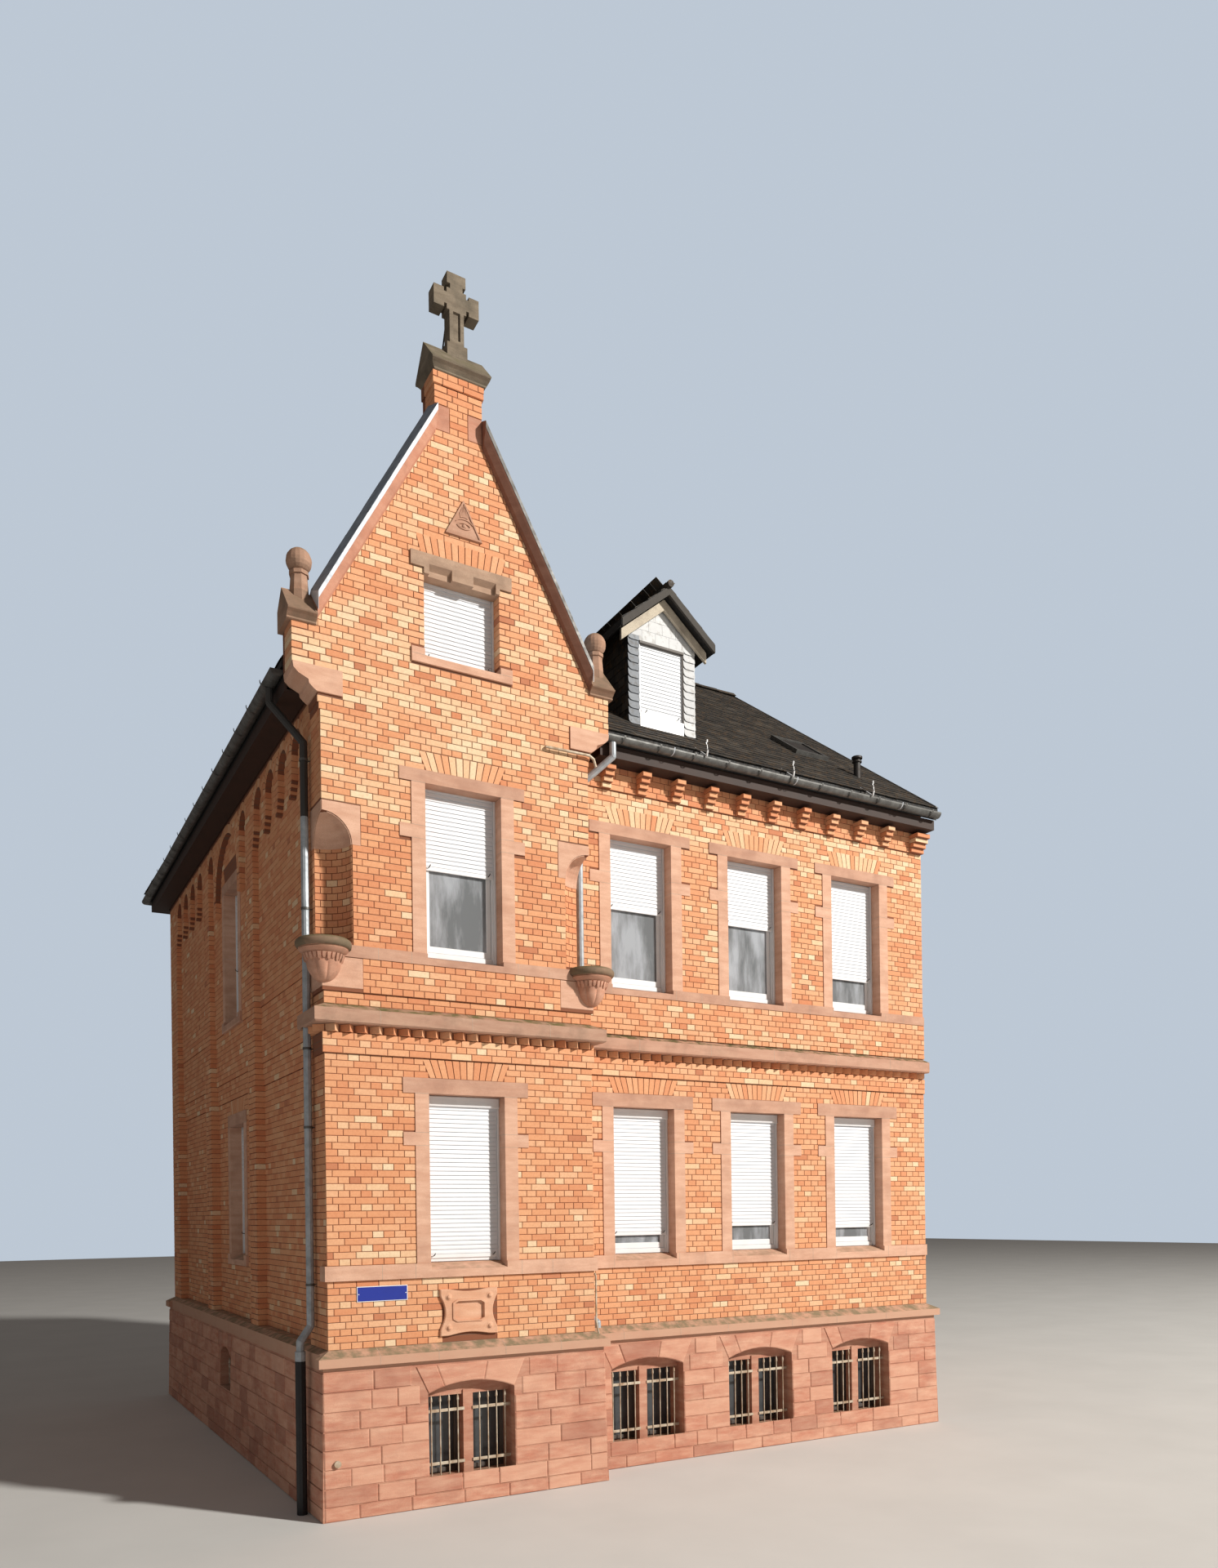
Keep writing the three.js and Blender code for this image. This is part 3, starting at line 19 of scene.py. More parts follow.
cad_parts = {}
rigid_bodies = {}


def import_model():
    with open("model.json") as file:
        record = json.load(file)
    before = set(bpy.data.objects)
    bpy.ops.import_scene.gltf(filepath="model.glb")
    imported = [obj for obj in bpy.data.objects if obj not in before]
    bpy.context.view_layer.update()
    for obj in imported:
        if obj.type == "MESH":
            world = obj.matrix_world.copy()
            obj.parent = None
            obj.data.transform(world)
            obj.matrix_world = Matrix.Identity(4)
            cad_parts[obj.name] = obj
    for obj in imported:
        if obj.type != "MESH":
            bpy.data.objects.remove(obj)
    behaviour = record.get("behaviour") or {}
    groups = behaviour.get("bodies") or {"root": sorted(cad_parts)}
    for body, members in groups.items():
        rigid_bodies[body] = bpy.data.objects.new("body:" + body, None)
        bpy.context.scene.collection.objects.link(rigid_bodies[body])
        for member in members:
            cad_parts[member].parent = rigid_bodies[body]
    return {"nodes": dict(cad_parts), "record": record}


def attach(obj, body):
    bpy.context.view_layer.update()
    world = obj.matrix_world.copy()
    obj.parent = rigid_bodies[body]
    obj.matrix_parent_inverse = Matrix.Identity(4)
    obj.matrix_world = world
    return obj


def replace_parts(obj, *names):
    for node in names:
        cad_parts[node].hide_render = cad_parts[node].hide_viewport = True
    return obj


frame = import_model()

LOG = logging.getLogger("brick_house")
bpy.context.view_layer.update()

# Plan of the house
ORIGIN = Vector((4.875, 5.225, 0.0))
FRONT = 9.75
DEPTH = 10.45
BAY = 3.40
STEP_BACK = 0.50
BAY_AXIS = 1.70
ATTIC_AXIS = 1.717
MAIN_AXES = (4.49, 6.42, 8.35)
BACK_AXES = (1.95, 4.875, 7.80)
RIGHT_AXES = (3.00, 6.95)
LEFT_AXIS = 5.225

# Bricks, and the heights where their courses change
COURSE = 0.077
HEADER = 0.130
JOINT = 0.008
PROUD = 0.006
BRICK_START = 1.88
BELT_BED, TOOTH_BED, STRING_BED, STRING_TOP, FLUSH_TOP = 5.207, 5.44, 5.53, 5.76, 5.905
BELT_OUT = 0.025
BACKING_BED, BACKING_TOP, BACKING_WIDTH = 5.93, 6.28, 0.44
EAVE_BED, WALL_TOP, EAVE_TOP = 9.02, 9.30, 9.33

# Window stones
OPENING = 0.97
JAMB = 0.17
EAR = 0.315
MID_EAR = 0.154
STONE_FACE = 0.018
BAND_FACE = 0.040
REVEAL = 0.165
ARCH_HIGH = 0.225

# Niches, gable, roof and dormer
NICHE_RADIUS, NICHE_SPRING, NICHE_HEAD = 0.34, 7.575, 8.03
GABLE_APEX = 13.13
RAKE = 1.8
KNEELER_TOP = 9.95
SPRINGER = (12.640, 12.947)
MAIN_PITCH, MAIN_FOOT, RIDGE_Y = 0.743, 9.58, 5.475
WING_TOP, WING_FOOT = 13.33, 10.27
VERGE = 9.80
DORMER_AXIS, DORMER_APEX, DORMER_PITCH, DORMER_HALF = 5.115, 12.13, 0.82, 0.78

# Arches of the left side: middle along the wall, springing height and clear radius
PANEL_TOP = 8.49
SMALL_ARCHES = tuple((start + 0.68 * (i + 0.5), 8.97, 0.23) for start in (0.70, 7.03) for i in range(4))
ARCHES = (*SMALL_ARCHES, (4.05, 8.99, 0.21), (6.40, 8.99, 0.21), (LEFT_AXIS, 8.40, 0.805))

Span = tuple[float, float]
Rect = tuple[float, float, float, float]
Colour = tuple[float, float, float]


def at(x: float, y: float, z: float) -> Vector:
    """Moves a point from house coordinates to the part's frame."""
    return Vector((x, y, z)) - ORIGIN


def circle(count: int) -> list[float]:
    """Gives count angles, evenly round a circle."""
    return [math.tau * k / count for k in range(count)]


class Side(Enum):
    """The four outer sides of the house, named as seen from the street."""

    FRONT = 0.0
    RIGHT = math.pi / 2
    BACK = math.pi
    LEFT = -math.pi / 2


@dataclass(frozen=True)
class Storey:
    """Heights that one row of windows shares.

    Attributes:
        band: underside of the sill stone.
        sill: top of the sill at the frame.
        head: underside of the lintel.
        top: top of the lintel.
        ear: top of the stone that stands out half way up the jambs.
    """

    band: float
    sill: float
    head: float
    top: float
    ear: float


GROUND = Storey(2.65, 2.82, 4.80, 4.98, 4.345)
UPPER = Storey(6.295, 6.43, 8.43, 8.58, 7.925)
ATTIC = Storey(9.83, 9.92, 10.885, 11.125, 10.0)


@dataclass(frozen=True)
class Plane:
    """An upright wall plane: u runs along it, z up, and out stands off it.

    Attributes:
        side: which side of the house it faces.
        base: the plane's x (on left and right) or y (on front and back), in house coordinates.
    """

    side: Side
    base: float

    def point(self, u: float, z: float, out: float) -> Vector:
        """Gives the point at u along, z up and out off the plane.

        Args:
            u: house x on front and back, house y on left and right.
            z: height.
            out: distance in front of the plane.

        Returns:
            The point, in the part's frame.
        """
        if self.side is Side.FRONT:
            return at(u, self.base - out, z)
        if self.side is Side.BACK:
            return at(u, self.base + out, z)
        if self.side is Side.LEFT:
            return at(self.base - out, u, z)
        return at(self.base + out, u, z)


BAY_WALL = Plane(Side.FRONT, 0.0)
BAY_FLANK = Plane(Side.RIGHT, BAY)
MAIN_WALL = Plane(Side.FRONT, STEP_BACK)
LEFT_WALL = Plane(Side.LEFT, 0.0)
BACK_WALL = Plane(Side.BACK, DEPTH)
RIGHT_WALL = Plane(Side.RIGHT, FRONT)
DORMER_WALL = Plane(Side.FRONT, 0.87)
REAR_PLACES = (*((BACK_WALL, FRONT - axis) for axis in BACK_AXES),
               *((RIGHT_WALL, axis) for axis in RIGHT_AXES))


class NodeSheet:
    """A material's node tree, with short calls for the nodes the finishes share."""

    def __init__(self, name: str) -> None:
        """Starts an empty material called name, with Object coordinates at hand.

        Args:
            name: its name.
        """
        self.material = bpy.data.materials.new(name)
        self.material.use_nodes = True
        self.tree = self.material.node_tree
        self.tree.nodes.clear()
        self.place = self.node("ShaderNodeTexCoord").outputs["Object"]

    def node(self, kind: str, **props: object) -> bpy.types.Node:
        """Adds a node.

        Args:
            kind: its type.
            props: its properties by name.

        Returns:
            The node.
        """
        made = self.tree.nodes.new(kind)
        for key, value in props.items():
            setattr(made, key, value)
        return made

    def put(self, socket: bpy.types.NodeSocket, value: object) -> None:
        """Links or sets a socket.

        Args:
            socket: the input.
            value: a socket to link, or a value. A colour's three numbers get their alpha here.
        """
        if isinstance(value, bpy.types.NodeSocket):
            self.tree.links.new(value, socket)
        elif socket.type == "RGBA":
            socket.default_value = (*value, 1.0)
        else:
            socket.default_value = value

    def noise(self, scale: float, detail: float = 3.0, vector: Optional[object] = None) -> object:
        """Adds a noise.

        Args:
            scale: how fine it is.
            detail: how many octaves it has.
            vector: where it is read, Object coordinates if not given.

        Returns:
            Its factor socket.
        """
        made = self.node("ShaderNodeTexNoise")
        self.put(made.inputs["Vector"], vector or self.place)
        for key, value in (("Scale", scale), ("Detail", detail), ("Roughness", 0.6)):
            made.inputs[key].default_value = value
        return made.outputs["Fac"]

    def squashed(self, scale: tuple[float, float, float]) -> object:
        """Gives Object coordinates multiplied by scale, for streaks.

        Args:
            scale: factor along each axis.

        Returns:
            The vector socket.
        """
        made = self.node("ShaderNodeMapping")
        made.inputs["Scale"].default_value = scale
        self.put(made.inputs["Vector"], self.place)
        return made.outputs[0]

    def math(self, operation: str, first: object, second: object = 0.0) -> object:
        """Gives the socket of first (operation) second.

        Args:
            operation: name of the operation.
            first: value or socket.
            second: value or socket.

        Returns:
            The result's socket.
        """
        made = self.node("ShaderNodeMath", operation=operation)
        self.put(made.inputs[0], first)
        self.put(made.inputs[1], second)
        return made.outputs[0]

    def stretch(self, value: object, low: float, high: float, to_low: float = 0.0,
                to_high: float = 1.0) -> object:
        """Maps value from low..high to to_low..to_high, clamped.

        Args:
            value: socket of the value.
            low: value that becomes to_low.
            high: value that becomes to_high.
            to_low: new low end.
            to_high: new high end.

        Returns:
            The mapped socket.
        """
        made = self.node("ShaderNodeMapRange")
        self.put(made.inputs["Value"], value)
        for key, number in (("From Min", low), ("From Max", high), ("To Min", to_low), ("To Max", to_high)):
            made.inputs[key].default_value = number
        return made.outputs["Result"]

    def mix(self, factor: object, first: object, second: object) -> object:
        """Mixes two colours or colour sockets by factor.

        Args:
            factor: share of the second.
            first: value or socket.
            second: value or socket.

        Returns:
            The colour socket.
        """
        made = self.node("ShaderNodeMix", data_type="RGBA", blend_type="MIX")
        for index, value in ((0, factor), (6, first), (7, second)):
            self.put(made.inputs[index], value)
        return made.outputs[2]

    def ramp(self, factor: object, stops: Sequence[tuple[float, Colour]]) -> object:
        """Adds a colour ramp.

        Args:
            factor: what drives it.
            stops: places from 0 to 1, each with its colour.

        Returns:
            Its colour socket.
        """
        made = self.node("ShaderNodeValToRGB")
        self.put(made.inputs["Fac"], factor)
        elements = made.color_ramp.elements
        while len(elements) < len(stops):
            elements.new(0.5)
        for element, (where, colour) in zip(elements, stops):
            element.position = where
            element.color = (*colour, 1.0)
        return made.outputs["Color"]

    def tone(self) -> object:
        """Reads the tone that each piece's mesh carries."""
        return self.node("ShaderNodeAttribute", attribute_name="tone").outputs["Fac"]

    def facing_up(self, low: float, high: float) -> object:
        """Gives 1 on faces whose normal's z is over high and 0 under low."""
        split = self.node("ShaderNodeSeparateXYZ")
        self.put(split.inputs[0], self.node("ShaderNodeNewGeometry").outputs["Normal"])
        return self.stretch(split.outputs["Z"], low, high)

    def level(self) -> object:
        """Gives the height of a point in the part's frame."""
        split = self.node("ShaderNodeSeparateXYZ")
        self.put(split.inputs[0], self.place)
        return split.outputs["Z"]

    def between(self, low: float, high: float) -> object:
        """Gives 1 between two heights and 0 elsewhere."""
        height = self.level()
        above, below = self.math("GREATER_THAN", height, low), self.math("LESS_THAN", height, high)
        return self.math("MULTIPLY", above, below)

    def bump(self, height: object, strength: float, distance: float) -> object:
        """Gives a normal bent by height.

        Args:
            height: socket of the height.
            strength: how much it shows.
            distance: how deep it is, in metres.

        Returns:
            The normal socket.
        """
        made = self.node("ShaderNodeBump")
        made.inputs["Strength"].default_value = strength
        made.inputs["Distance"].default_value = distance
        self.put(made.inputs["Height"], height)
        return made.outputs["Normal"]

    def surface(self, colour: object, roughness: object, normal: Optional[object] = None,
                **fixed: float) -> bpy.types.Material:
        """Closes the tree with one Principled shader.

        Args:
            colour: socket of the base colour.
            roughness: roughness or its socket.
            normal: bent normal, where there is one.
            fixed: other shader inputs by name, with spaces as underscores.

        Returns:
            The finished material.
        """
        shader = self.node("ShaderNodeBsdfPrincipled")
        self.put(shader.inputs["Base Color"], colour)
        self.put(shader.inputs["Roughness"], roughness)
        if normal is not None:
            self.put(shader.inputs["Normal"], normal)
        for key, value in fixed.items():
            shader.inputs[key.replace("_", " ")].default_value = value
        out = self.node("ShaderNodeOutputMaterial")
        self.tree.links.new(shader.outputs[0], out.inputs["Surface"])
        return self.material


@dataclass(frozen=True)
class BrickFinish:
    """Fired clay, from orange-red to straw yellow, by each brick's own tone."""

    name: str = "brick_clay"
    dark: Colour = (0.400, 0.150, 0.080)
    red: Colour = (0.630, 0.245, 0.115)
    orange: Colour = (0.715, 0.345, 0.175)
    peach: Colour = (0.755, 0.440, 0.255)
    straw: Colour = (0.770, 0.535, 0.325)
    pale: Colour = (0.800, 0.660, 0.455)
    grain: Colour = (0.40, 0.11, 0.045)
    weather: Colour = (0.46, 0.20, 0.11)

    def build(self) -> bpy.types.Material:
        """Makes the material.

        Returns:
            The material.
        """
        sheet = NodeSheet(self.name)
        stops = ((0.0, self.dark), (0.12, self.red), (0.38, self.orange),
                 (0.66, self.peach), (0.84, self.straw), (1.0, self.pale))
        base = sheet.ramp(sheet.tone(), stops)
        grain = sheet.noise(38.0, 4.0)
        base = sheet.mix(sheet.stretch(grain, 0.40, 0.80, 0.0, 0.25), base, self.grain)
        base = sheet.mix(sheet.stretch(sheet.noise(0.9, 3.0), 0.48, 0.78, 0.0, 0.16), base, self.weather)
        rough = sheet.stretch(grain, 0.3, 0.7, 0.80, 0.95)
        return sheet.surface(base, rough, sheet.bump(sheet.noise(170.0, 2.0), 0.35, 0.0012))


@dataclass(frozen=True)
class JointFinish:
    """Recessed lime mortar behind the bricks, dark, with the clay's colour between beds."""

    name: str = "lime_mortar"
    mortar: Colour = (0.17, 0.092, 0.060)
    clay: Colour = (0.24, 0.088, 0.045)
    sanded: Colour = (0.22, 0.075, 0.035)
    bed_share: float = 0.07

    def build(self) -> bpy.types.Material:
        """Makes the material.

        Returns:
            The material.
        """
        sheet = NodeSheet(self.name)
        rows = sheet.math("DIVIDE", sheet.math("SUBTRACT", sheet.level(), BRICK_START), COURSE)
        off_bed = sheet.math("ABSOLUTE", sheet.math("SUBTRACT", sheet.math("FRACT", rows), 0.5))
        joint = sheet.math("GREATER_THAN", off_bed, 0.5 - self.bed_share)
        sand = sheet.noise(60.0, 3.0)
        clay = sheet.mix(sheet.stretch(sand, 0.3, 0.7, 0.0, 0.6), self.clay, self.sanded)
        return sheet.surface(sheet.mix(joint, clay, self.mortar), 0.95, sheet.bump(sand, 0.5, 0.002))


@dataclass(frozen=True)
class StoneFinish:
    """Sandstone with bedding streaks, tooling, dark run-off and moss on what faces up.

    Attributes:
        name: name of the material.
        base: main colour.
        dark: colour of run-off, grain and soot.
        light: colour of the paler beds.
        moss: how much grows on what faces up.
        stain: how dark the run-off is.
        tool: strength of the tool marks.
        soot: heights between which the stone is sooty.
        vary: how far a stone's own tone changes its colour.
        band: heights between which the stone has another colour, and that colour.
        lichen: colour of what grows on it.
    """

    name: str
    base: Colour
    dark: Colour
    light: Colour
    moss: float = 0.0
    stain: float = 0.35
    tool: float = 0.5
    soot: tuple[Span, ...] = ()
    vary: float = 0.0
    band: Optional[tuple[float, float, Colour]] = None
    lichen: Colour = (0.085, 0.080, 0.022)

    def build(self) -> bpy.types.Material:
        """Makes the material.

        Returns:
            The material.
        """
        sheet = NodeSheet(self.name)
        bedding = sheet.noise(2.6, 5.0, sheet.squashed((1.0, 1.0, 5.0)))
        grain = sheet.noise(120.0, 3.0)
        blotch = sheet.noise(3.3, 4.0)
        colour = sheet.mix(sheet.stretch(bedding, 0.35, 0.68), self.base, self.light)
        colour = sheet.mix(sheet.stretch(blotch, 0.48, 0.72, 0.0, self.stain), colour, self.dark)
        colour = sheet.mix(sheet.stretch(grain, 0.4, 0.75, 0.0, 0.35), colour, self.dark)
        if self.band is not None:
            low, high, paint = self.band
            patchy = sheet.stretch(blotch, 0.25, 0.6, 0.6, 1.0)
            colour = sheet.mix(sheet.math("MULTIPLY", sheet.between(low, high), patchy), colour, paint)
        if self.vary > 0.0:
            tone = sheet.tone()
            colour = sheet.mix(sheet.stretch(tone, 0.55, 1.0, 0.0, self.vary), colour, self.light)
            colour = sheet.mix(sheet.stretch(tone, 0.35, 0.0, 0.0, self.vary), colour, self.dark)
        if self.moss > 0.0:
            patch = sheet.stretch(sheet.noise(7.0, 5.0), 0.36, 0.60)
            growth = sheet.math("MULTIPLY", patch, sheet.facing_up(0.35, 0.8))
            growth = sheet.math("MULTIPLY", growth, self.moss)
            colour = sheet.mix(growth, colour, self.lichen)
        for low, high in self.soot:
            patchy = sheet.stretch(blotch, 0.3, 0.7, 0.25, 0.60)
            colour = sheet.mix(sheet.math("MULTIPLY", sheet.between(low, high), patchy), colour, self.dark)
        height = sheet.math("ADD", grain, sheet.math("MULTIPLY", bedding, 2.0))
        return sheet.surface(colour, 0.88, sheet.bump(height, self.tool, 0.003))


@dataclass(frozen=True)
class SlateFinish:
    """Split slate, near black, with lichen and leaf mould on some of the slates."""

    name: str = "roof_slate"
    base: Colour = (0.018, 0.015, 0.013)
    worn: Colour = (0.060, 0.050, 0.040)
    mould: Colour = (0.120, 0.066, 0.026)

    def build(self) -> bpy.types.Material:
        """Makes the material.

        Returns:
            The material.
        """
        sheet = NodeSheet(self.name)
        colour = sheet.mix(sheet.stretch(sheet.tone(), 0.0, 1.0), self.base, self.worn)
        colour = sheet.mix(sheet.stretch(sheet.noise(14.0, 6.0), 0.53, 0.62, 0.0, 0.55), colour, self.mould)
        split = sheet.noise(26.0, 5.0)
        rough = sheet.stretch(split, 0.3, 0.7, 0.62, 0.88)
        return sheet.surface(colour, rough, sheet.bump(split, 0.5, 0.004))


@dataclass(frozen=True)
class MetalFinish:
    """Sheet metal or iron, dulled by weather.

    Attributes:
        name: name of the material.
        base: main colour.
        dull: colour of the duller clouds.
        metallic: how metallic it is.
        rough: roughness of the brighter and the duller places.
        foot: height under which it has another colour, and that colour.
        head: height over which it has another colour, and that colour.
    """

    name: str
    base: Colour
    dull: Colour
    metallic: float = 0.6
    rough: Span = (0.35, 0.6)
    foot: Optional[tuple[float, Colour]] = None
    head: Optional[tuple[float, Colour]] = None

    def build(self) -> bpy.types.Material:
        """Makes the material.

        Returns:
            The material.
        """
        sheet = NodeSheet(self.name)
        cloud = sheet.noise(9.0, 5.0)
        colour = sheet.mix(sheet.stretch(cloud, 0.35, 0.7), self.base, self.dull)
        for limit, test in ((self.foot, "LESS_THAN"), (self.head, "GREATER_THAN")):
            if limit is not None:
                colour = sheet.mix(sheet.math(test, sheet.level(), limit[0]), colour, limit[1])
        rough = sheet.stretch(cloud, 0.3, 0.7, *self.rough)
        return sheet.surface(colour, rough, sheet.bump(sheet.noise(140.0, 2.0), 0.15, 0.0008),
                             Metallic=self.metallic)


@dataclass(frozen=True)
class PaintFinish:
    """Painted wood, plastic, enamel or cloth with faint dirt.

    Attributes:
        name: name of the material.
        base: main colour.
        dirt: colour of the dirt.
        amount: how much dirt clouds it.
        rough: its roughness.
        grain: how much dirt its fine grain shows.
    """

    name: str
    base: Colour
    dirt: Colour
    amount: float = 0.25
    rough: float = 0.45
    grain: float = 0.0

    def build(self) -> bpy.types.Material:
        """Makes the material.

        Returns:
            The material.
        """
        sheet = NodeSheet(self.name)
        cloud = sheet.stretch(sheet.noise(4.5, 5.0), 0.45, 0.75, 0.0, self.amount)
        colour = sheet.mix(cloud, self.base, self.dirt)
        fine = sheet.noise(90.0, 3.0)
        if self.grain > 0.0:
            colour = sheet.mix(sheet.stretch(fine, 0.4, 0.7, 0.0, self.grain), colour, self.dirt)
        return sheet.surface(colour, self.rough, sheet.bump(fine, 0.12, 0.001))


@dataclass(frozen=True)
class GlassFinish:
    """Window glass whose colour carries a painted reflection: faint tall streaks of lighter colour."""

    name: str = "window_glass"
    dim: Colour = (0.34, 0.36, 0.38)
    bright: Colour = (0.74, 0.78, 0.84)

    def build(self) -> bpy.types.Material:
        """Makes the material.

        Returns:
            The material.
        """
        sheet = NodeSheet(self.name)
        painted_reflection = sheet.stretch(sheet.noise(1.5, 6.0, sheet.squashed((3.0, 3.0, 0.7))), 0.40, 0.62)
        ripple = sheet.bump(sheet.noise(2.2, 1.0), 0.04, 0.02)
        # The mix from dim to bright is a painted reflection in the glass.
        colour = sheet.mix(painted_reflection, self.dim, self.bright)
        return sheet.surface(colour, 0.05, ripple, Transmission_Weight=0.55, IOR=1.45)


class Palette:
    """Every finish of the house, made once."""

    def __init__(self) -> None:
        """Builds all the materials."""
        self.clay_and_slate()
        self.stones()
        self.metals()
        self.paints()

    def clay_and_slate(self) -> None:
        """Builds bricks, mortar, slates and glass."""
        self.brick = BrickFinish().build()
        self.mortar = JointFinish().build()
        self.glass = GlassFinish().build()
        self.slate = SlateFinish().build()
        self.dark_slate = SlateFinish(
            "slate_underlay", (0.012, 0.012, 0.013), (0.03, 0.03, 0.03), (0.03, 0.02, 0.012)).build()
        self.pale_slate = SlateFinish(
            "pale_slate", (0.50, 0.51, 0.53), (0.66, 0.67, 0.68), (0.40, 0.38, 0.36)).build()
        # Darker slate for the dormer's left cladding column: painted shade.
        self.painted_shade_slate = SlateFinish(
            "painted_shade_slate", (0.16, 0.175, 0.20), (0.27, 0.29, 0.32), (0.14, 0.13, 0.12)).build()

    def stones(self) -> None:
        """Builds the sandstones, from the plinth to the gable."""
        self.plinth = StoneFinish(
            "red_ashlar", (0.53, 0.220, 0.140), (0.31, 0.125, 0.085), (0.68, 0.39, 0.27),
            moss=0.3, stain=0.35, tool=0.8, vary=0.55).build()
        self.nosing = StoneFinish(
            "plinth_nosing", (0.46, 0.195, 0.125), (0.26, 0.115, 0.078), (0.60, 0.34, 0.235),
            moss=0.9, stain=0.35, band=(1.66, 1.95, (0.54, 0.32, 0.22)), lichen=(0.20, 0.165, 0.095)).build()
        self.bed = StoneFinish(
            "ashlar_mortar", (0.45, 0.33, 0.25), (0.25, 0.18, 0.13), (0.55, 0.42, 0.33), stain=0.3).build()
        self.surround = StoneFinish(
            "pink_sandstone", (0.61, 0.345, 0.235), (0.34, 0.175, 0.12), (0.73, 0.455, 0.325),
            moss=0.35, stain=0.3, soot=((4.79, 4.99), (6.29, 6.432), (8.42, 8.59))).build()
        self.bay_string = StoneFinish(
            "bay_string_stone", (0.43, 0.24, 0.165), (0.18, 0.115, 0.078), (0.52, 0.32, 0.225),
            moss=0.95, stain=0.45, lichen=(0.12, 0.11, 0.035)).build()
        self.string = StoneFinish(
            "string_course_stone", (0.50, 0.27, 0.185), (0.24, 0.14, 0.095), (0.58, 0.34, 0.24),
            moss=0.95, stain=0.45).build()
        self.bowl = StoneFinish(
            "carved_bowl_stone", (0.56, 0.275, 0.18), (0.19, 0.11, 0.075), (0.66, 0.36, 0.25),
            moss=0.9, stain=0.45, band=(6.355, 6.50, (0.15, 0.115, 0.070))).build()
        self.plaque = StoneFinish(
            "plaque_stone", (0.66, 0.35, 0.215), (0.38, 0.18, 0.11), (0.75, 0.45, 0.30),
            moss=0.1, stain=0.3).build()
        self.relief = StoneFinish(
            "relief_stone", (0.46, 0.245, 0.160), (0.22, 0.12, 0.08), (0.56, 0.33, 0.23),
            moss=0.2, stain=0.4).build()
        self.lintel = StoneFinish(
            "mossy_lintel_stone", (0.40, 0.255, 0.175), (0.19, 0.125, 0.085), (0.50, 0.34, 0.24),
            moss=0.9, stain=0.5).build()
        self.coping = StoneFinish(
            "pink_coping_stone", (0.50, 0.225, 0.145), (0.26, 0.12, 0.08), (0.58, 0.30, 0.205),
            moss=0.5, stain=0.4).build()
        # Darker copy of the coping stone for the right coping: painted shade on the side that faces away from
        # the light.
        self.painted_shade_coping = StoneFinish(
            "painted_shade_coping_stone", (0.20, 0.085, 0.055), (0.12, 0.055, 0.038), (0.25, 0.12, 0.08),
            moss=0.5, stain=0.4).build()
        self.ball = StoneFinish(
            "reddish_ball_stone", (0.40, 0.225, 0.150), (0.15, 0.105, 0.068), (0.50, 0.30, 0.21),
            moss=0.4, stain=0.5, soot=((9.9, 10.37),)).build()
        self.cap = StoneFinish(
            "weathered_cap_stone", (0.165, 0.128, 0.090), (0.055, 0.048, 0.034), (0.255, 0.205, 0.150),
            moss=0.6, stain=0.6).build()

    def metals(self) -> None:
        """Builds zinc, iron and the metal of the coping covers, whose blue-grey is partly a painted sky
        reflection.
        """
        self.zinc = MetalFinish("weathered_zinc", (0.165, 0.165, 0.160), (0.085, 0.083, 0.080)).build()
        self.pale_zinc = MetalFinish("pale_zinc", (0.66, 0.70, 0.76), (0.46, 0.50, 0.56), metallic=0.2).build()
        # Darker copy of the coping's edge strip for the right coping: painted shade.
        self.painted_shade_edge = MetalFinish(
            "painted_shade_edge_strip", (0.115, 0.11, 0.105), (0.07, 0.065, 0.06), metallic=0.2).build()
        self.pipe = MetalFinish(
            "zinc_downpipe", (0.46, 0.50, 0.54), (0.28, 0.31, 0.34), metallic=0.3, rough=(0.4, 0.6)).build()
        self.left_pipe = MetalFinish(
            "left_downpipe", (0.46, 0.50, 0.54), (0.28, 0.31, 0.34), metallic=0.3, rough=(0.4, 0.6),
            foot=(1.74, (0.018, 0.018, 0.020)), head=(7.95, (0.050, 0.048, 0.046))).build()
        # The coping covers' colour is partly the metal's grey, partly a painted reflection of the sky.
        self.sky_sheen_cover = MetalFinish(
            "painted_sky_sheen_cover", (0.30, 0.38, 0.48), (0.19, 0.24, 0.31), metallic=0.2, rough=(0.40, 0.6)).build()
        self.iron = MetalFinish(
            "black_cast_iron", (0.018, 0.018, 0.020), (0.045, 0.035, 0.03),
            metallic=0.3, rough=(0.45, 0.7)).build()
        self.grille = MetalFinish(
            "pale_grille_iron", (0.62, 0.55, 0.44), (0.34, 0.22, 0.13), metallic=0.2, rough=(0.5, 0.8)).build()

    def paints(self) -> None:
        """Builds painted wood, plastic, enamel, cloth and boards."""
        for key, name, base, dirt, amount, rough, grain in (
                ("timber", "brown_eave_timber", (0.034, 0.014, 0.009), (0.016, 0.009, 0.006), 0.6, 0.7, 0.4),
                ("white", "white_frame", (0.80, 0.81, 0.83), (0.55, 0.53, 0.50), 0.2, 0.32, 0.0),
                ("shutter", "white_shutter", (0.72, 0.74, 0.78), (0.60, 0.58, 0.55), 0.18, 0.5, 0.0),
                ("cellar_pane", "cellar_pane", (0.060, 0.066, 0.072), (0.02, 0.02, 0.022), 0.5, 0.22, 0.0),
                ("floor", "floor_boards", (0.30, 0.22, 0.15), (0.16, 0.11, 0.07), 0.4, 0.6, 0.4),
                ("cloth", "curtain_cloth", (0.62, 0.62, 0.60), (0.42, 0.42, 0.40), 0.3, 0.9, 0.0),
                ("old_board", "weathered_board", (0.060, 0.052, 0.045), (0.028, 0.024, 0.020), 0.6, 0.8, 0.5),
                ("silver_board", "silvered_board", (0.60, 0.53, 0.42), (0.16, 0.12, 0.09), 0.7, 0.8, 0.5),
                ("dark_frame", "dark_casement", (0.10, 0.085, 0.075), (0.05, 0.04, 0.035), 0.5, 0.6, 0.3),
                ("enamel", "blue_enamel", (0.012, 0.030, 0.30), (0.01, 0.02, 0.16), 0.3, 0.25, 0.0)):
            setattr(self, key, PaintFinish(name, base, dirt, amount, rough, grain).build())


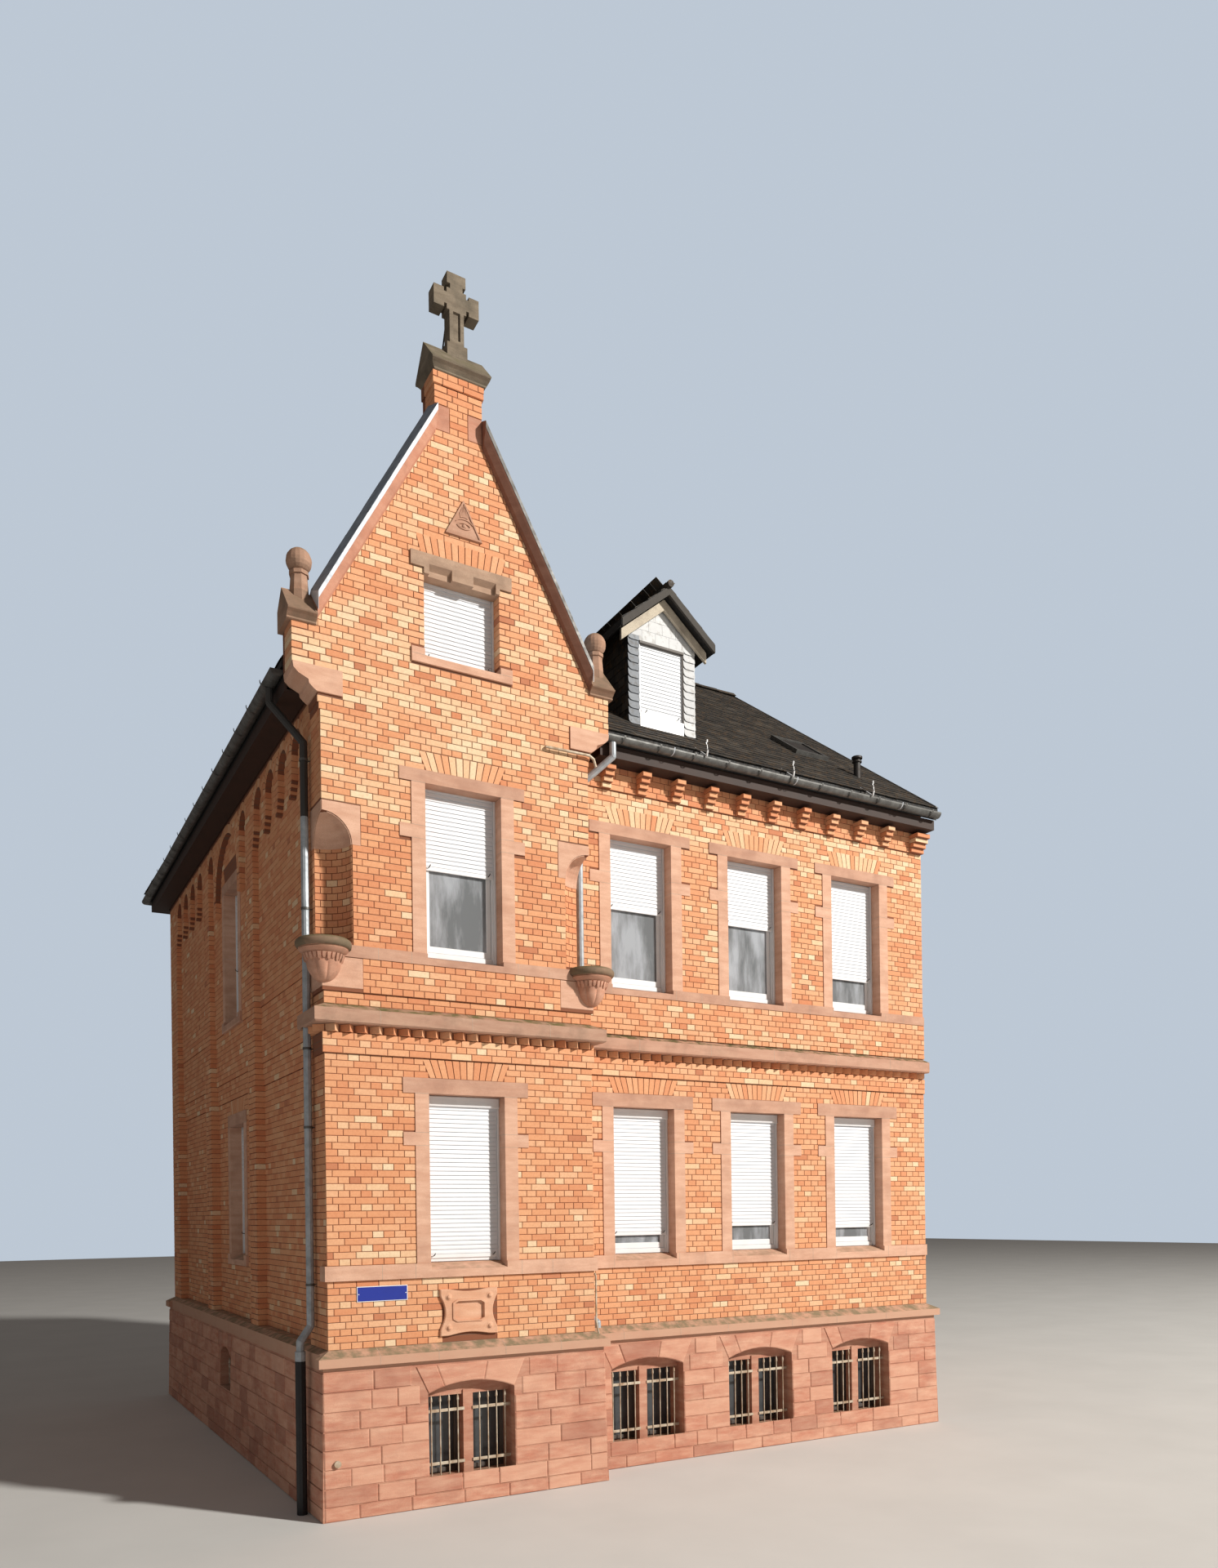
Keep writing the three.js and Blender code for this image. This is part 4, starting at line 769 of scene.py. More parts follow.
class MeshMaker:
    """Gathers faces into one mesh, each point with a tone."""

    def __init__(self, name: str) -> None:
        """Starts an empty mesh called name.

        Args:
            name: its name.
        """
        self.name = name
        self.points: list[Vector] = []
        self.faces: list[tuple[int, ...]] = []
        self.tones: list[float] = []

    def ring(self, points: Iterable[Vector], tone: float) -> list[int]:
        """Adds points of one tone and gives their numbers.

        Args:
            points: the points.
            tone: their tone.

        Returns:
            Their numbers.
        """
        start = len(self.points)
        self.points.extend(points)
        self.tones.extend([tone] * (len(self.points) - start))
        return list(range(start, len(self.points)))

    def loft(self, rings: Sequence[Sequence[Vector]], tone: float = 0.5) -> None:
        """Skins a run of closed rings and fills the two end ones.

        Args:
            rings: rings of equal count.
            tone: tone of all their points.
        """
        numbered = [self.ring(ring, tone) for ring in rings]
        count = len(numbered[0])
        for low, high in zip(numbered, numbered[1:]):
            for i in range(count):
                j = (i + 1) % count
                self.faces.append((low[i], low[j], high[j], high[i]))
        self.faces.append(tuple(numbered[0][::-1]))
        self.faces.append(tuple(numbered[-1]))

    def box(self, low: Vector, high: Vector, tone: float = 0.5, chamfer: float = 0.0) -> None:
        """Adds a block between two corners.

        Args:
            low: its lowest corner.
            high: its highest corner.
            tone: its tone.
            chamfer: how much is taken off its upright and lying edges.
        """
        cut = min(chamfer, *(abs(high[i] - low[i]) * 0.45 for i in range(3)))
        levels = ((low.z, cut), (low.z + cut, 0.0), (high.z - cut, 0.0), (high.z, cut))
        if cut <= 0.0:
            levels = ((low.z, 0.0), (high.z, 0.0))
        rings = []
        for z, inset in levels:
            x0, x1, y0, y1 = low.x + inset, high.x - inset, low.y + inset, high.y - inset
            corner = cut if inset == 0.0 else cut * 0.02
            outline = [(x0, y0), (x1, y0), (x1, y1), (x0, y1)]
            if cut > 0.0:
                outline = [(x0 + corner, y0), (x1 - corner, y0), (x1, y0 + corner), (x1, y1 - corner),
                           (x1 - corner, y1), (x0 + corner, y1), (x0, y1 - corner), (x0, y0 + corner)]
            rings.append([Vector((x, y, z)) for x, y in outline])
        self.loft(rings, tone)

    def prism(self, plane: Plane, outline: Sequence[Span], back: float, front: float,
              tone: float = 0.5) -> None:
        """Adds a flat shape on a wall.

        Args:
            plane: the wall plane.
            outline: its points as (u, z).
            back: how far its back stands off the plane.
            front: how far its front stands off the plane.
            tone: its tone.
        """
        self.loft([[plane.point(u, z, out) for u, z in outline] for out in (back, front)], tone)

    def block(self, plane: Plane, rect: Rect, back: float, front: float, tone: float = 0.5,
              chamfer: float = 0.004) -> None:
        """Adds a slab on a wall.

        Args:
            plane: the wall plane.
            rect: its u from, u to, z from and z to.
            back: how far its back stands off the plane.
            front: how far its front stands off the plane.
            tone: its tone.
            chamfer: how much is taken off the edges of its front.
        """
        u0, u1, z0, z1 = rect
        cut = min(chamfer, (u1 - u0) * 0.4, (z1 - z0) * 0.4)
        rings = []
        for inset, out in ((0.0, back), (0.0, front - cut), (cut, front)):
            left, right, low, high = u0 + inset, u1 - inset, z0 + inset, z1 - inset
            corners = ((left, low), (right, low), (right, high), (left, high))
            rings.append([plane.point(u, z, out) for u, z in corners])
        self.loft(rings, tone)

    def rod(self, path: Sequence[Vector], radius: float, sides: int = 8) -> None:
        """Adds a round bar along a path.

        Args:
            path: points of its axis.
            radius: its radius.
            sides: how many sides it has.
        """
        rings = []
        for i, point in enumerate(path):
            ahead = path[min(i + 1, len(path) - 1)] - path[max(i - 1, 0)]
            turned = ahead.to_track_quat("Z", "X")
            rings.append([point + turned @ Vector((radius * math.cos(a), radius * math.sin(a), 0.0))
                          for a in circle(sides)])
        self.loft(rings)

    def mesh(self, toned: bool = True) -> bpy.types.Mesh:
        """Makes the mesh, faces outwards.

        Args:
            toned: whether its points carry their tones. A repeated shape gets them from its spots.

        Returns:
            The mesh.
        """
        made = bpy.data.meshes.new(self.name)
        made.from_pydata([tuple(p) for p in self.points], [], self.faces)
        work = bmesh.new()
        work.from_mesh(made)
        bmesh.ops.recalc_face_normals(work, faces=work.faces)
        work.to_mesh(made)
        work.free()
        made.validate()
        if toned:
            made.attributes.new("tone", "FLOAT", "POINT").data.foreach_set("value", self.tones)
        return made

    def place(self, material: bpy.types.Material, slot: str, smooth: float = 0.0) -> bpy.types.Object:
        """Puts the mesh in the scene as a piece of its own name; see place_piece."""
        return place_piece(self.name, self.mesh(), material, smooth)


def place_piece(name: str, mesh: bpy.types.Mesh, material: bpy.types.Material,
                smooth: float = 0.0) -> bpy.types.Object:
    """Puts a finished mesh in the scene as a piece that rides on the house.

    Args:
        name: the piece's name.
        mesh: its mesh, in the part's frame.
        material: its finish.
        smooth: angle in degrees under which faces shade smooth, or 0 for flat faces.

    Returns:
        The object.
    """
    mesh.materials.clear()
    mesh.materials.append(material)
    made = bpy.data.objects.new(name, mesh)
    bpy.context.scene.collection.objects.link(made)
    if smooth > 0.0:
        mesh.shade_smooth()
        mesh.set_sharp_from_angle(angle=math.radians(smooth))
    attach(made, "root")
    LOG.info("%s: %d faces", name, len(mesh.polygons))
    return made


@dataclass
class Spot:
    """Where one repeated shape stands.

    Attributes:
        place: its point.
        turn: its rotation as Euler angles.
        size: its scale along its own axes.
        tone: its share of colour variation.
    """

    place: Vector
    turn: tuple[float, float, float]
    size: tuple[float, float, float]
    tone: float


class Repeater:
    """A Geometry Nodes tree that sets one shape on many spots, each a little uneven."""

    INPUTS = (("Geometry", "Geometry"), ("Shape", "Object"), ("Tilt", "Float"), ("Seed", "Int"),
              ("Finish", "Material"))

    def __init__(self, name: str, shape: bpy.types.Mesh, tilt: float, seed: int) -> None:
        """Builds the tree.

        Args:
            name: name of the tree.
            shape: the repeated shape, of unit size.
            tilt: largest random turn, in radians.
            seed: fixed seed of the random turn.
        """
        self.shape = bpy.data.objects.new(name + "_shape", shape)
        self.tree = bpy.data.node_groups.new(name, "GeometryNodeTree")
        self.settings = {"Shape": self.shape, "Tilt": tilt, "Seed": seed}
        for key, kind in self.INPUTS:
            self.tree.interface.new_socket(key, in_out="INPUT", socket_type="NodeSocket" + kind)
        self.tree.interface.new_socket("Geometry", in_out="OUTPUT", socket_type="NodeSocketGeometry")
        self.wire()

    def named(self, name: str) -> bpy.types.NodeSocket:
        """Reads a vector that each spot carries.

        Args:
            name: name of the vector.

        Returns:
            Its socket.
        """
        made = self.tree.nodes.new("GeometryNodeInputNamedAttribute")
        made.data_type = "FLOAT_VECTOR"
        made.inputs["Name"].default_value = name
        return made.outputs["Attribute"]

    def wire(self) -> None:
        """Fills the tree: shape on points, turned and sized by each spot, real geometry, finish."""
        nodes, links = self.tree.nodes, self.tree.links
        start, end = nodes.new("NodeGroupInput"), nodes.new("NodeGroupOutput")
        info = nodes.new("GeometryNodeObjectInfo")
        back = nodes.new("ShaderNodeMath")
        back.operation = "MULTIPLY"
        back.inputs[1].default_value = -1.0
        wobble = nodes.new("FunctionNodeRandomValue")
        wobble.data_type = "FLOAT_VECTOR"
        total = nodes.new("ShaderNodeVectorMath")
        total.operation = "ADD"
        euler = nodes.new("FunctionNodeEulerToRotation")
        spread = nodes.new("GeometryNodeInstanceOnPoints")
        real = nodes.new("GeometryNodeRealizeInstances")
        dress = nodes.new("GeometryNodeSetMaterial")
        for source, target in (
                (start.outputs["Shape"], info.inputs["Object"]),
                (start.outputs["Tilt"], back.inputs[0]),
                (back.outputs[0], wobble.inputs["Min"]),
                (start.outputs["Tilt"], wobble.inputs["Max"]),
                (start.outputs["Seed"], wobble.inputs["Seed"]),
                (self.named("turn"), total.inputs[0]),
                (wobble.outputs["Value"], total.inputs[1]),
                (total.outputs[0], euler.inputs[0]),
                (start.outputs["Geometry"], spread.inputs["Points"]),
                (info.outputs["Geometry"], spread.inputs["Instance"]),
                (euler.outputs[0], spread.inputs["Rotation"]),
                (self.named("size"), spread.inputs["Scale"]),
                (spread.outputs[0], real.inputs[0]),
                (real.outputs[0], dress.inputs["Geometry"]),
                (start.outputs["Finish"], dress.inputs["Material"]),
                (dress.outputs[0], end.inputs[0])):
            links.new(source, target)

    def spread(self, name: str, spots: Sequence[Spot], material: bpy.types.Material, slot: str,
               smooth: float = 0.0) -> bpy.types.Object:
        """Sets the shape on the spots and returns one plain mesh piece.

        Args:
            name: name of the piece.
            spots: where the shape goes.
            material: its finish.
            slot: the record's material slot. Not used.
            smooth: angle in degrees for smooth shading, or 0.

        Returns:
            The piece.
        """
        points = bpy.data.meshes.new(name + "_spots")
        points.from_pydata([tuple(spot.place) for spot in spots], [], [])
        for key in ("turn", "size"):
            values = [value for spot in spots for value in getattr(spot, key)]
            points.attributes.new(key, "FLOAT_VECTOR", "POINT").data.foreach_set("vector", values)
        points.attributes.new("tone", "FLOAT", "POINT").data.foreach_set("value", [s.tone for s in spots])
        holder = bpy.data.objects.new(name + "_holder", points)
        linked = bpy.context.scene.collection.objects
        linked.link(holder)
        linked.link(self.shape)
        modifier = holder.modifiers.new("spread", "NODES")
        modifier.node_group = self.tree
        values = {**self.settings, "Finish": material}
        for item in self.tree.interface.items_tree:
            if item.in_out == "INPUT" and item.name in values:
                modifier[item.identifier] = values[item.name]
        bpy.context.view_layer.update()
        graph = bpy.context.evaluated_depsgraph_get()
        mesh = bpy.data.meshes.new_from_object(holder.evaluated_get(graph))
        mesh.name = name
        for key in ("turn", "size"):
            if key in mesh.attributes:
                mesh.attributes.remove(mesh.attributes[key])
        holder.modifiers.clear()
        linked.unlink(self.shape)
        bpy.data.objects.remove(holder)
        bpy.data.meshes.remove(points)
        return place_piece(name, mesh, material, smooth)


@dataclass(frozen=True)
class Run:
    """One stretch of a brick course.

    Attributes:
        start: where it begins along the plane.
        end: where it ends.
        out: how far the wall behind stands off the plane.
        start_return: depth of brick that shows round the start edge, 0 where the course butts.
        end_return: the same at the end edge.
    """

    start: float
    end: float
    out: float = 0.0
    start_return: float = 0.0
    end_return: float = 0.0


def without(runs: Sequence[Run], low: float, high: float, depth: float = 0.0) -> list[Run]:
    """Takes a gap out of the runs.

    Args:
        runs: the stretches.
        low: where the gap begins.
        high: where it ends.
        depth: the brick return left at its two edges.

    Returns:
        The stretches that are left.
    """
    kept = []
    for run in runs:
        if high <= run.start or low >= run.end:
            kept.append(run)
            continue
        if low > run.start:
            kept.append(Run(run.start, low, run.out, run.start_return, depth))
        if high < run.end:
            kept.append(Run(high, run.end, run.out, depth, run.end_return))
    return kept


Course = Callable[[float, float], list[Run]]


@dataclass(frozen=True)
class Zone:
    """Courses laid without a break between two heights.

    Attributes:
        bed: lowest height.
        top: highest height.
        runs: gives the stretches of the course between two heights.
    """

    bed: float
    top: float
    runs: Course


@dataclass
class BrickLayer:
    """Lays courses of bricks, alternately headers and stretchers, on one wall plane.

    Attributes:
        plane: the wall plane.
        zones: what is laid where.
        straw: gives the share of straw-yellow bricks at a height.
        seed: fixed seed of tones.
    """

    DARK_SHARE = 0.02
    DARK, RED, ORANGE, STRAW = (0.04, 0.13), (0.12, 0.46), (0.20, 0.60), (0.62, 0.95)
    SHORTEST = 0.025
    DEPTH = 0.016
    JOG = 0.0015

    plane: Plane
    zones: Sequence[Zone]
    straw: Callable[[float], float]
    seed: int
    rng: random.Random = field(init=False)

    def __post_init__(self) -> None:
        """Seeds the random numbers."""
        self.rng = random.Random(self.seed)

    def tone(self, z: float) -> float:
        """Picks the tone of one brick at height z: dark, red to orange, or straw.

        Args:
            z: the height.

        Returns:
            The tone, from 0 to 1.
        """
        pick, share = self.rng.random(), self.straw(z)
        if pick < self.DARK_SHARE:
            return self.rng.uniform(*self.DARK)
        # A low straw share picks the darker red range: under the main front's eave and on the left side this is
        # partly painted shade, elsewhere the bricks' own colour.
        if pick < 1.0 - share:
            return self.rng.uniform(*(self.RED if share < 0.08 else self.ORANGE))
        return self.rng.uniform(*self.STRAW)

    def joints(self, run: Run, course: int) -> list[float]:
        """Gives the upright joints of one stretch of a numbered course, ends included.

        Args:
            run: the stretch.
            course: the course's number.

        Returns:
            Places along the plane.
        """
        headers = course % 2 == 0
        pitch = HEADER if headers else 2.0 * HEADER
        phase = 0.0 if headers else HEADER * (0.5 if course % 4 == 1 else 1.5)
        first = math.ceil((run.start + 0.05 - phase) / pitch)
        inner = []
        while first * pitch + phase < run.end - 0.05:
            inner.append(first * pitch + phase)
            first += 1
        return [run.start, *inner, run.end]

    def spots(self) -> list[Spot]:
        """Places every brick of the wall.

        Returns:
            The bricks.
        """
        placed = []
        for zone in self.zones:
            count = max(1, round((zone.top - zone.bed) / COURSE))
            height = (zone.top - zone.bed) / count
            for i in range(count):
                low = zone.bed + i * height
                for run in zone.runs(low, low + height):
                    if run.end - run.start > self.SHORTEST:
                        placed.extend(self.course(run, low, height))
        return placed

    def course(self, run: Run, low: float, height: float) -> list[Spot]:
        """Places the bricks of one stretch of one course.

        Args:
            run: the stretch.
            low: height of its bed.
            height: height of the course.

        Returns:
            The bricks.
        """
        cuts = self.joints(run, round((low - BRICK_START) / COURSE))
        placed = []
        for left, right in zip(cuts, cuts[1:]):
            depth = self.DEPTH
            start, end = left + JOINT / 2.0, right - JOINT / 2.0
            if left == run.start:
                start = left - PROUD if run.start_return > 0.0 else left + 0.002
                depth = max(depth, run.start_return + PROUD)
            if right == run.end:
                end = right + PROUD if run.end_return > 0.0 else right - 0.002
                depth = max(depth, run.end_return + PROUD)
            out = run.out + PROUD + self.rng.uniform(-self.JOG, self.JOG)
            place = self.plane.point((start + end) / 2.0, low + height / 2.0, out)
            size = (end - start, depth, height - JOINT + 0.001)
            placed.append(Spot(place, (0.0, 0.0, self.plane.side.value), size, self.tone(low)))
        return placed


def niche_half(z: float) -> float:
    """Gives how far a corner niche or its stone head cuts into a course at height z."""
    if z >= NICHE_HEAD:
        return 0.0
    return BACKING_WIDTH if z > NICHE_SPRING else NICHE_RADIUS


def share_at(z: float, steps: Sequence[Span], last: float) -> float:
    """Looks a value up by height.

    Args:
        z: the height.
        steps: (height, value) pairs, each value holding below its height.
        last: the value above them all.

    Returns:
        The value at z.
    """
    for top, value in steps:
        if z < top:
            return value
    return last


def backed(z: float, start: float, otherwise: float) -> float:
    """Gives start beside the plain stone behind a bowl, and otherwise elsewhere."""
    return start if BACKING_BED < z < BACKING_TOP else otherwise


@dataclass
class Bricks:
    """Every brick wall of the house, and the shapes its bricks are cut to.

    Attributes:
        palette: the finishes.
        corner: depth of the brick that shows round a corner.
        bay_straw: share of straw bricks on the bay, by height.
        main_straw: share of straw bricks on the main front, by height.
        recesses: depth of the left side's panels, by height.
        panels: where the left side's two side panels begin, and their width.
        plaque: where the bay's plaque begins and ends, and its top.
        tooth: how far the diagonal bricks stand out.
    """

    palette: Palette
    corner: float = 0.01
    bay_straw: tuple[Span, ...] = ((5.5, 0.12), (7.85, 0.07), (10.4, 0.56), (12.6, 0.30))
    # Above the eave bed at 9.02 the share falls to 0.05, which gives redder, darker bricks: partly their own
    # colour, partly painted eave shadow.
    main_straw: tuple[Span, ...] = ((5.5, 0.10), (8.3, 0.16), (9.02, 0.5))
    recesses: tuple[Span, ...] = ((5.207, 0.130), (5.52, 0.112), (6.295, 0.095))
    panels: tuple[float, float, float] = (0.70, 7.03, 2.72)
    plaque: tuple[float, float, float] = (1.35, 2.05, 2.53)
    tooth: float = 0.112

    def __post_init__(self) -> None:
        """Prepares the two brick shapes and their spreaders."""
        self.near = Repeater("near_brick", self.shape(0.022, 0.055), 0.004, 3)
        self.far = Repeater("far_brick", self.shape(0.0, 0.0), 0.003, 4)

    @staticmethod
    def shape(end_slope: float, bed_slope: float) -> bpy.types.Mesh:
        """Makes a brick of unit size, its face at y 0.

        Args:
            end_slope: share of its length worn off each end, or 0 for a plain brick.
            bed_slope: share of its height worn off top and bottom.

        Returns:
            Its mesh.
        """
        flat = ((-0.5, -0.5), (0.5, -0.5), (0.5, 0.5), (-0.5, 0.5))
        levels = [(1.0, 1.0, 1.0), (0.2, 1.0, 1.0), (0.0, 1 - 2 * end_slope, 1 - 2 * bed_slope)]
        if end_slope == 0.0:
            del levels[1]
        maker = MeshMaker("brick_shape")
        maker.loft([[Vector((x * wide, y, z * high)) for x, z in flat] for y, wide, high in levels])
        return maker.mesh(False)

    @staticmethod
    def opened(runs: list[Run], z: float, axes: Sequence[float], ears: bool,
               storeys: Sequence[Storey] = (GROUND, UPPER)) -> list[Run]:
        """Takes window surrounds and the flat arches over them out of a course.

        Args:
            runs: the stretches of the course.
            z: middle height of the course.
            axes: middles of the windows.
            ears: whether the surrounds have ears.
            storeys: the storeys that have these windows.

        Returns:
            The stretches that are left.
        """
        for storey in storeys:
            for axis in axes:
                half = OPENING / 2.0 + JAMB
                if ears and (storey.ear - MID_EAR < z < storey.ear or storey.head < z < storey.top):
                    half = OPENING / 2.0 + EAR
                if storey.sill - (0.0 if ears else 0.16) < z < storey.top:
                    runs = without(runs, axis - half, axis + half)
                elif storey.top <= z < storey.top + ARCH_HIGH:
                    lean = 0.47 + 0.40 * (z - storey.top)
                    runs = without(runs, axis - lean, axis + lean)
        return runs

    @staticmethod
    def street_zones(ground: Course, belt: Course, flush: Course) -> tuple[Zone, ...]:
        """Gives the zones that every street-side wall has up to the upper sills.

        Args:
            ground: lays plain courses of the ground storey.
            belt: lays the proud courses under the teeth and under the sills.
            flush: lays the courses on the string course.

        Returns:
            The zones, from below.
        """
        return (Zone(BRICK_START, GROUND.band, ground), Zone(GROUND.sill, BELT_BED, ground),
                Zone(BELT_BED, TOOTH_BED, belt), Zone(STRING_TOP, FLUSH_TOP, flush),
                Zone(FLUSH_TOP, UPPER.band, belt))

    def bay_front(self) -> BrickLayer:
        """Lays the gabled bay's face.

        Returns:
            The wall's layer of bricks.
        """
        def flush(low: float, high: float) -> list[Run]:
            """Lays a full course."""
            return [Run(0.0, BAY, 0.0, self.corner, self.corner)]

        def ground(low: float, high: float) -> list[Run]:
            """Lays a course of the ground storey."""
            middle = (low + high) / 2.0
            runs = flush(low, high)
            if middle < self.plaque[2]:
                runs = without(runs, self.plaque[0], self.plaque[1])
            return self.opened(runs, middle, (BAY_AXIS,), True, (GROUND,))

        def belt(low: float, high: float) -> list[Run]:
            """Lays a proud course."""
            if BACKING_BED < (low + high) / 2.0 < BACKING_TOP:
                return [Run(BACKING_WIDTH, BAY - BACKING_WIDTH, BELT_OUT)]
            return [Run(-BELT_OUT, BAY + BELT_OUT, BELT_OUT, self.corner, self.corner)]

        def upper(low: float, high: float) -> list[Run]:
            """Lays a course of the upper storey."""
            middle = (low + high) / 2.0
            runs = self.opened(self.gable(middle, high), middle, (BAY_AXIS,), True, (UPPER,))
            return self.attic(runs, middle)

        zones = (*self.street_zones(ground, belt, flush), Zone(UPPER.sill, WING_TOP, upper))
        return BrickLayer(BAY_WALL, zones, lambda z: share_at(z, self.bay_straw, 0.04), 11)

    def gable(self, z: float, high: float) -> list[Run]:
        """Gives the stretches of the bay's upper storey and its gable.

        Args:
            z: middle height of the course.
            high: its top.

        Returns:
            The stretches, before windows are taken out.
        """
        if z < NICHE_HEAD:
            return [Run(niche_half(z), BAY - niche_half(z))]
        if z < 9.22:
            step = share_at(z, ((9.06, 0.0), (9.137, 0.015)), 0.03)
            return [Run(-step, BAY + step, 0.0, self.corner, 0.13)]
        half = min(1.45, self.rake_half(high))
        if z > 9.50:
            half = 2.01 if z < KNEELER_TOP else min(1.74, self.rake_half(high))
        if z > 12.50:
            half = max(half, 0.30 if z < 13.19 else 0.32)
        if SPRINGER[0] < z < SPRINGER[1]:
            half = 0.115
        depth = 0.28 if 9.5 < z < KNEELER_TOP or z > SPRINGER[1] else 0.0
        return [Run(BAY_AXIS - half, BAY_AXIS + half, 0.0 if z < 13.19 else 0.020, depth, depth)]

    @staticmethod
    def rake_half(z: float) -> float:
        """Gives the gable's half width at height z."""
        return (GABLE_APEX - z) / RAKE

    @staticmethod
    def attic(runs: list[Run], z: float) -> list[Run]:
        """Takes the attic window, its stones and its flat arch out of a course at height z.

        Args:
            runs: the stretches of the course.
            z: the height.

        Returns:
            The stretches that are left.
        """
        lintel_bed = 10.955
        if ATTIC.band < z < ATTIC.ear or lintel_bed < z < ATTIC.top:
            return without(runs, 1.07, 2.36)
        if ATTIC.sill < z < lintel_bed:
            return without(runs, ATTIC_AXIS - OPENING / 2.0, ATTIC_AXIS + OPENING / 2.0, 0.16)
        if ATTIC.top <= z < ATTIC.top + ARCH_HIGH:
            lean = 0.52 + 0.25 * (z - ATTIC.top)
            return without(runs, ATTIC_AXIS - lean, ATTIC_AXIS + lean)
        return runs

    def bay_side(self) -> BrickLayer:
        """Lays the bay's short return beside the main front.

        Returns:
            The wall's layer of bricks.
        """
        def plain(low: float, high: float) -> list[Run]:
            """Lays a flush course."""
            return [Run(self.corner, STEP_BACK - PROUD)]

        def belt(low: float, high: float) -> list[Run]:
            """Lays a proud course."""
            return [Run(backed((low + high) / 2.0, BACKING_WIDTH, -0.015), STEP_BACK - 0.03, BELT_OUT)]

        def upper(low: float, high: float) -> list[Run]:
            """Lays a course of the upper storey."""
            return [Run(max(self.corner, niche_half((low + high) / 2.0)), STEP_BACK - PROUD)]

        zones = (*self.street_zones(plain, belt, plain), Zone(UPPER.sill, 9.06, upper))
        return BrickLayer(BAY_FLANK, zones, lambda z: share_at(z, self.bay_straw, 0.04), 12)

    def main_front(self) -> BrickLayer:
        """Lays the long street front right of the bay.

        Returns:
            The wall's layer of bricks.
        """
        def wall(low: float, high: float) -> list[Run]:
            """Lays a course round the windows."""
            runs = [Run(BAY + PROUD, FRONT, 0.0, 0.0, self.corner)]
            return self.opened(runs, (low + high) / 2.0, MAIN_AXES, True)

        def belt(low: float, high: float) -> list[Run]:
            """Lays a proud course."""
            return [Run(BAY + 0.03, FRONT, BELT_OUT, 0.0, 0.03)]

        zones = (*self.street_zones(wall, belt, belt), Zone(UPPER.sill, EAVE_BED, wall),
                 Zone(EAVE_BED, EAVE_TOP, belt))
        return BrickLayer(MAIN_WALL, zones, lambda z: share_at(z, self.main_straw, 0.05), 13)

    @staticmethod
    def slot(z: float, middle: float, half: float, spring: float) -> list[Span]:
        """Gives the span of a round-headed slot.

        Args:
            z: the height.
            middle: middle of the slot.
            half: half its clear width.
            spring: height where its arch begins.

        Returns:
            Its span in a list, which is empty above it.
        """
        if z > spring:
            reach = half ** 2 - (z - spring) ** 2
            if reach <= 0.0:
                return []
            half = math.sqrt(reach)
        return [(middle - half, middle + half)]

    @staticmethod
    def ring_outside(radius: float) -> float:
        """Gives the outer radius of the bricks round an arch of this clear radius."""
        return radius + (0.108 if radius < 0.5 else 0.125)

    def panel_spans(self, z: float) -> list[Span]:
        """Gives the sunk spans of the left side at height z.

        Args:
            z: the height.

        Returns:
            The spans along the wall.
        """
        spans: list[Span] = []
        first, second, width = self.panels
        _, spring, radius = SMALL_ARCHES[0]
        for start in (first, second):
            if z < PANEL_TOP:
                spans.append((start, start + width))
                continue
            for i in range(4):
                middle = start + width / 4.0 * (i + 0.5)
                if z < PANEL_TOP + 2.0 * COURSE:
                    half = 0.30 if z < PANEL_TOP + COURSE else 0.265
                    spans.append((middle - half, middle + half))
                else:
                    spans += self.slot(z, middle, radius, spring)
        if z < 8.17:
            return [*spans, (3.84, 6.61)]
        for middle, spring, radius in ARCHES[len(SMALL_ARCHES):]:
            spans += self.slot(z, middle, radius, spring)
        return spans

    def left(self) -> BrickLayer:
        """Lays the left side, piers, sunk panels and the arches over them.

        Returns:
            The wall's layer of bricks.
        """
        def laid(low: float, high: float) -> list[Run]:
            """Lays one course."""
            z = (low + high) / 2.0
            depth = share_at(z, self.recesses, 0.080)
            start = max(self.corner, niche_half(z)) if z > UPPER.sill else self.corner
            runs = [Run(backed(z, BACKING_WIDTH, start), DEPTH - self.corner)]
            if STRING_BED < z < STRING_TOP:
                runs = [Run(0.60, DEPTH - self.corner)]
            for middle, spring, radius in ARCHES:
                if z > spring:
                    for span in self.slot(z, middle, self.ring_outside(radius), spring):
                        runs = without(runs, *span)
            sunk: list[Run] = []
            for first, last in self.panel_spans(z):
                runs = without(runs, first, last, depth)
                sunk.append(Run(first, last, -depth))
            return runs + self.opened(sunk, z, (LEFT_AXIS,), False)

        # The left side's low straw share gives redder, darker bricks: partly their own colour, partly painted
        # shade of this side.
        return BrickLayer(LEFT_WALL, (Zone(BRICK_START, WALL_TOP, laid),), lambda z: 0.05, 14)

    def back(self) -> BrickLayer:
        """Lays the back, plainly.

        Returns:
            The wall's layer of bricks.
        """
        def laid(low: float, high: float) -> list[Run]:
            """Lays one course."""
            runs = [Run(0.0, FRONT, 0.0, self.corner, self.corner)]
            return self.opened(runs, (low + high) / 2.0, [FRONT - axis for axis in BACK_AXES], False)

        return BrickLayer(BACK_WALL, (Zone(BRICK_START, WALL_TOP, laid),), lambda z: 0.08, 15)

    def right(self) -> BrickLayer:
        """Lays the right side up to its gable slopes.

        Returns:
            The wall's layer of bricks.
        """
        def laid(low: float, high: float) -> list[Run]:
            """Lays one course."""
            start, end = STEP_BACK + self.corner, DEPTH - self.corner
            if high > WALL_TOP:
                start = max(start, (high - 9.28) / MAIN_PITCH + 0.05)
                end = 2 * RIDGE_Y - start
            return self.opened([Run(start, end)], (low + high) / 2.0, RIGHT_AXES, False) if start <= end else []

        return BrickLayer(RIGHT_WALL, (Zone(BRICK_START, 13.2, laid),), lambda z: 0.08, 16)

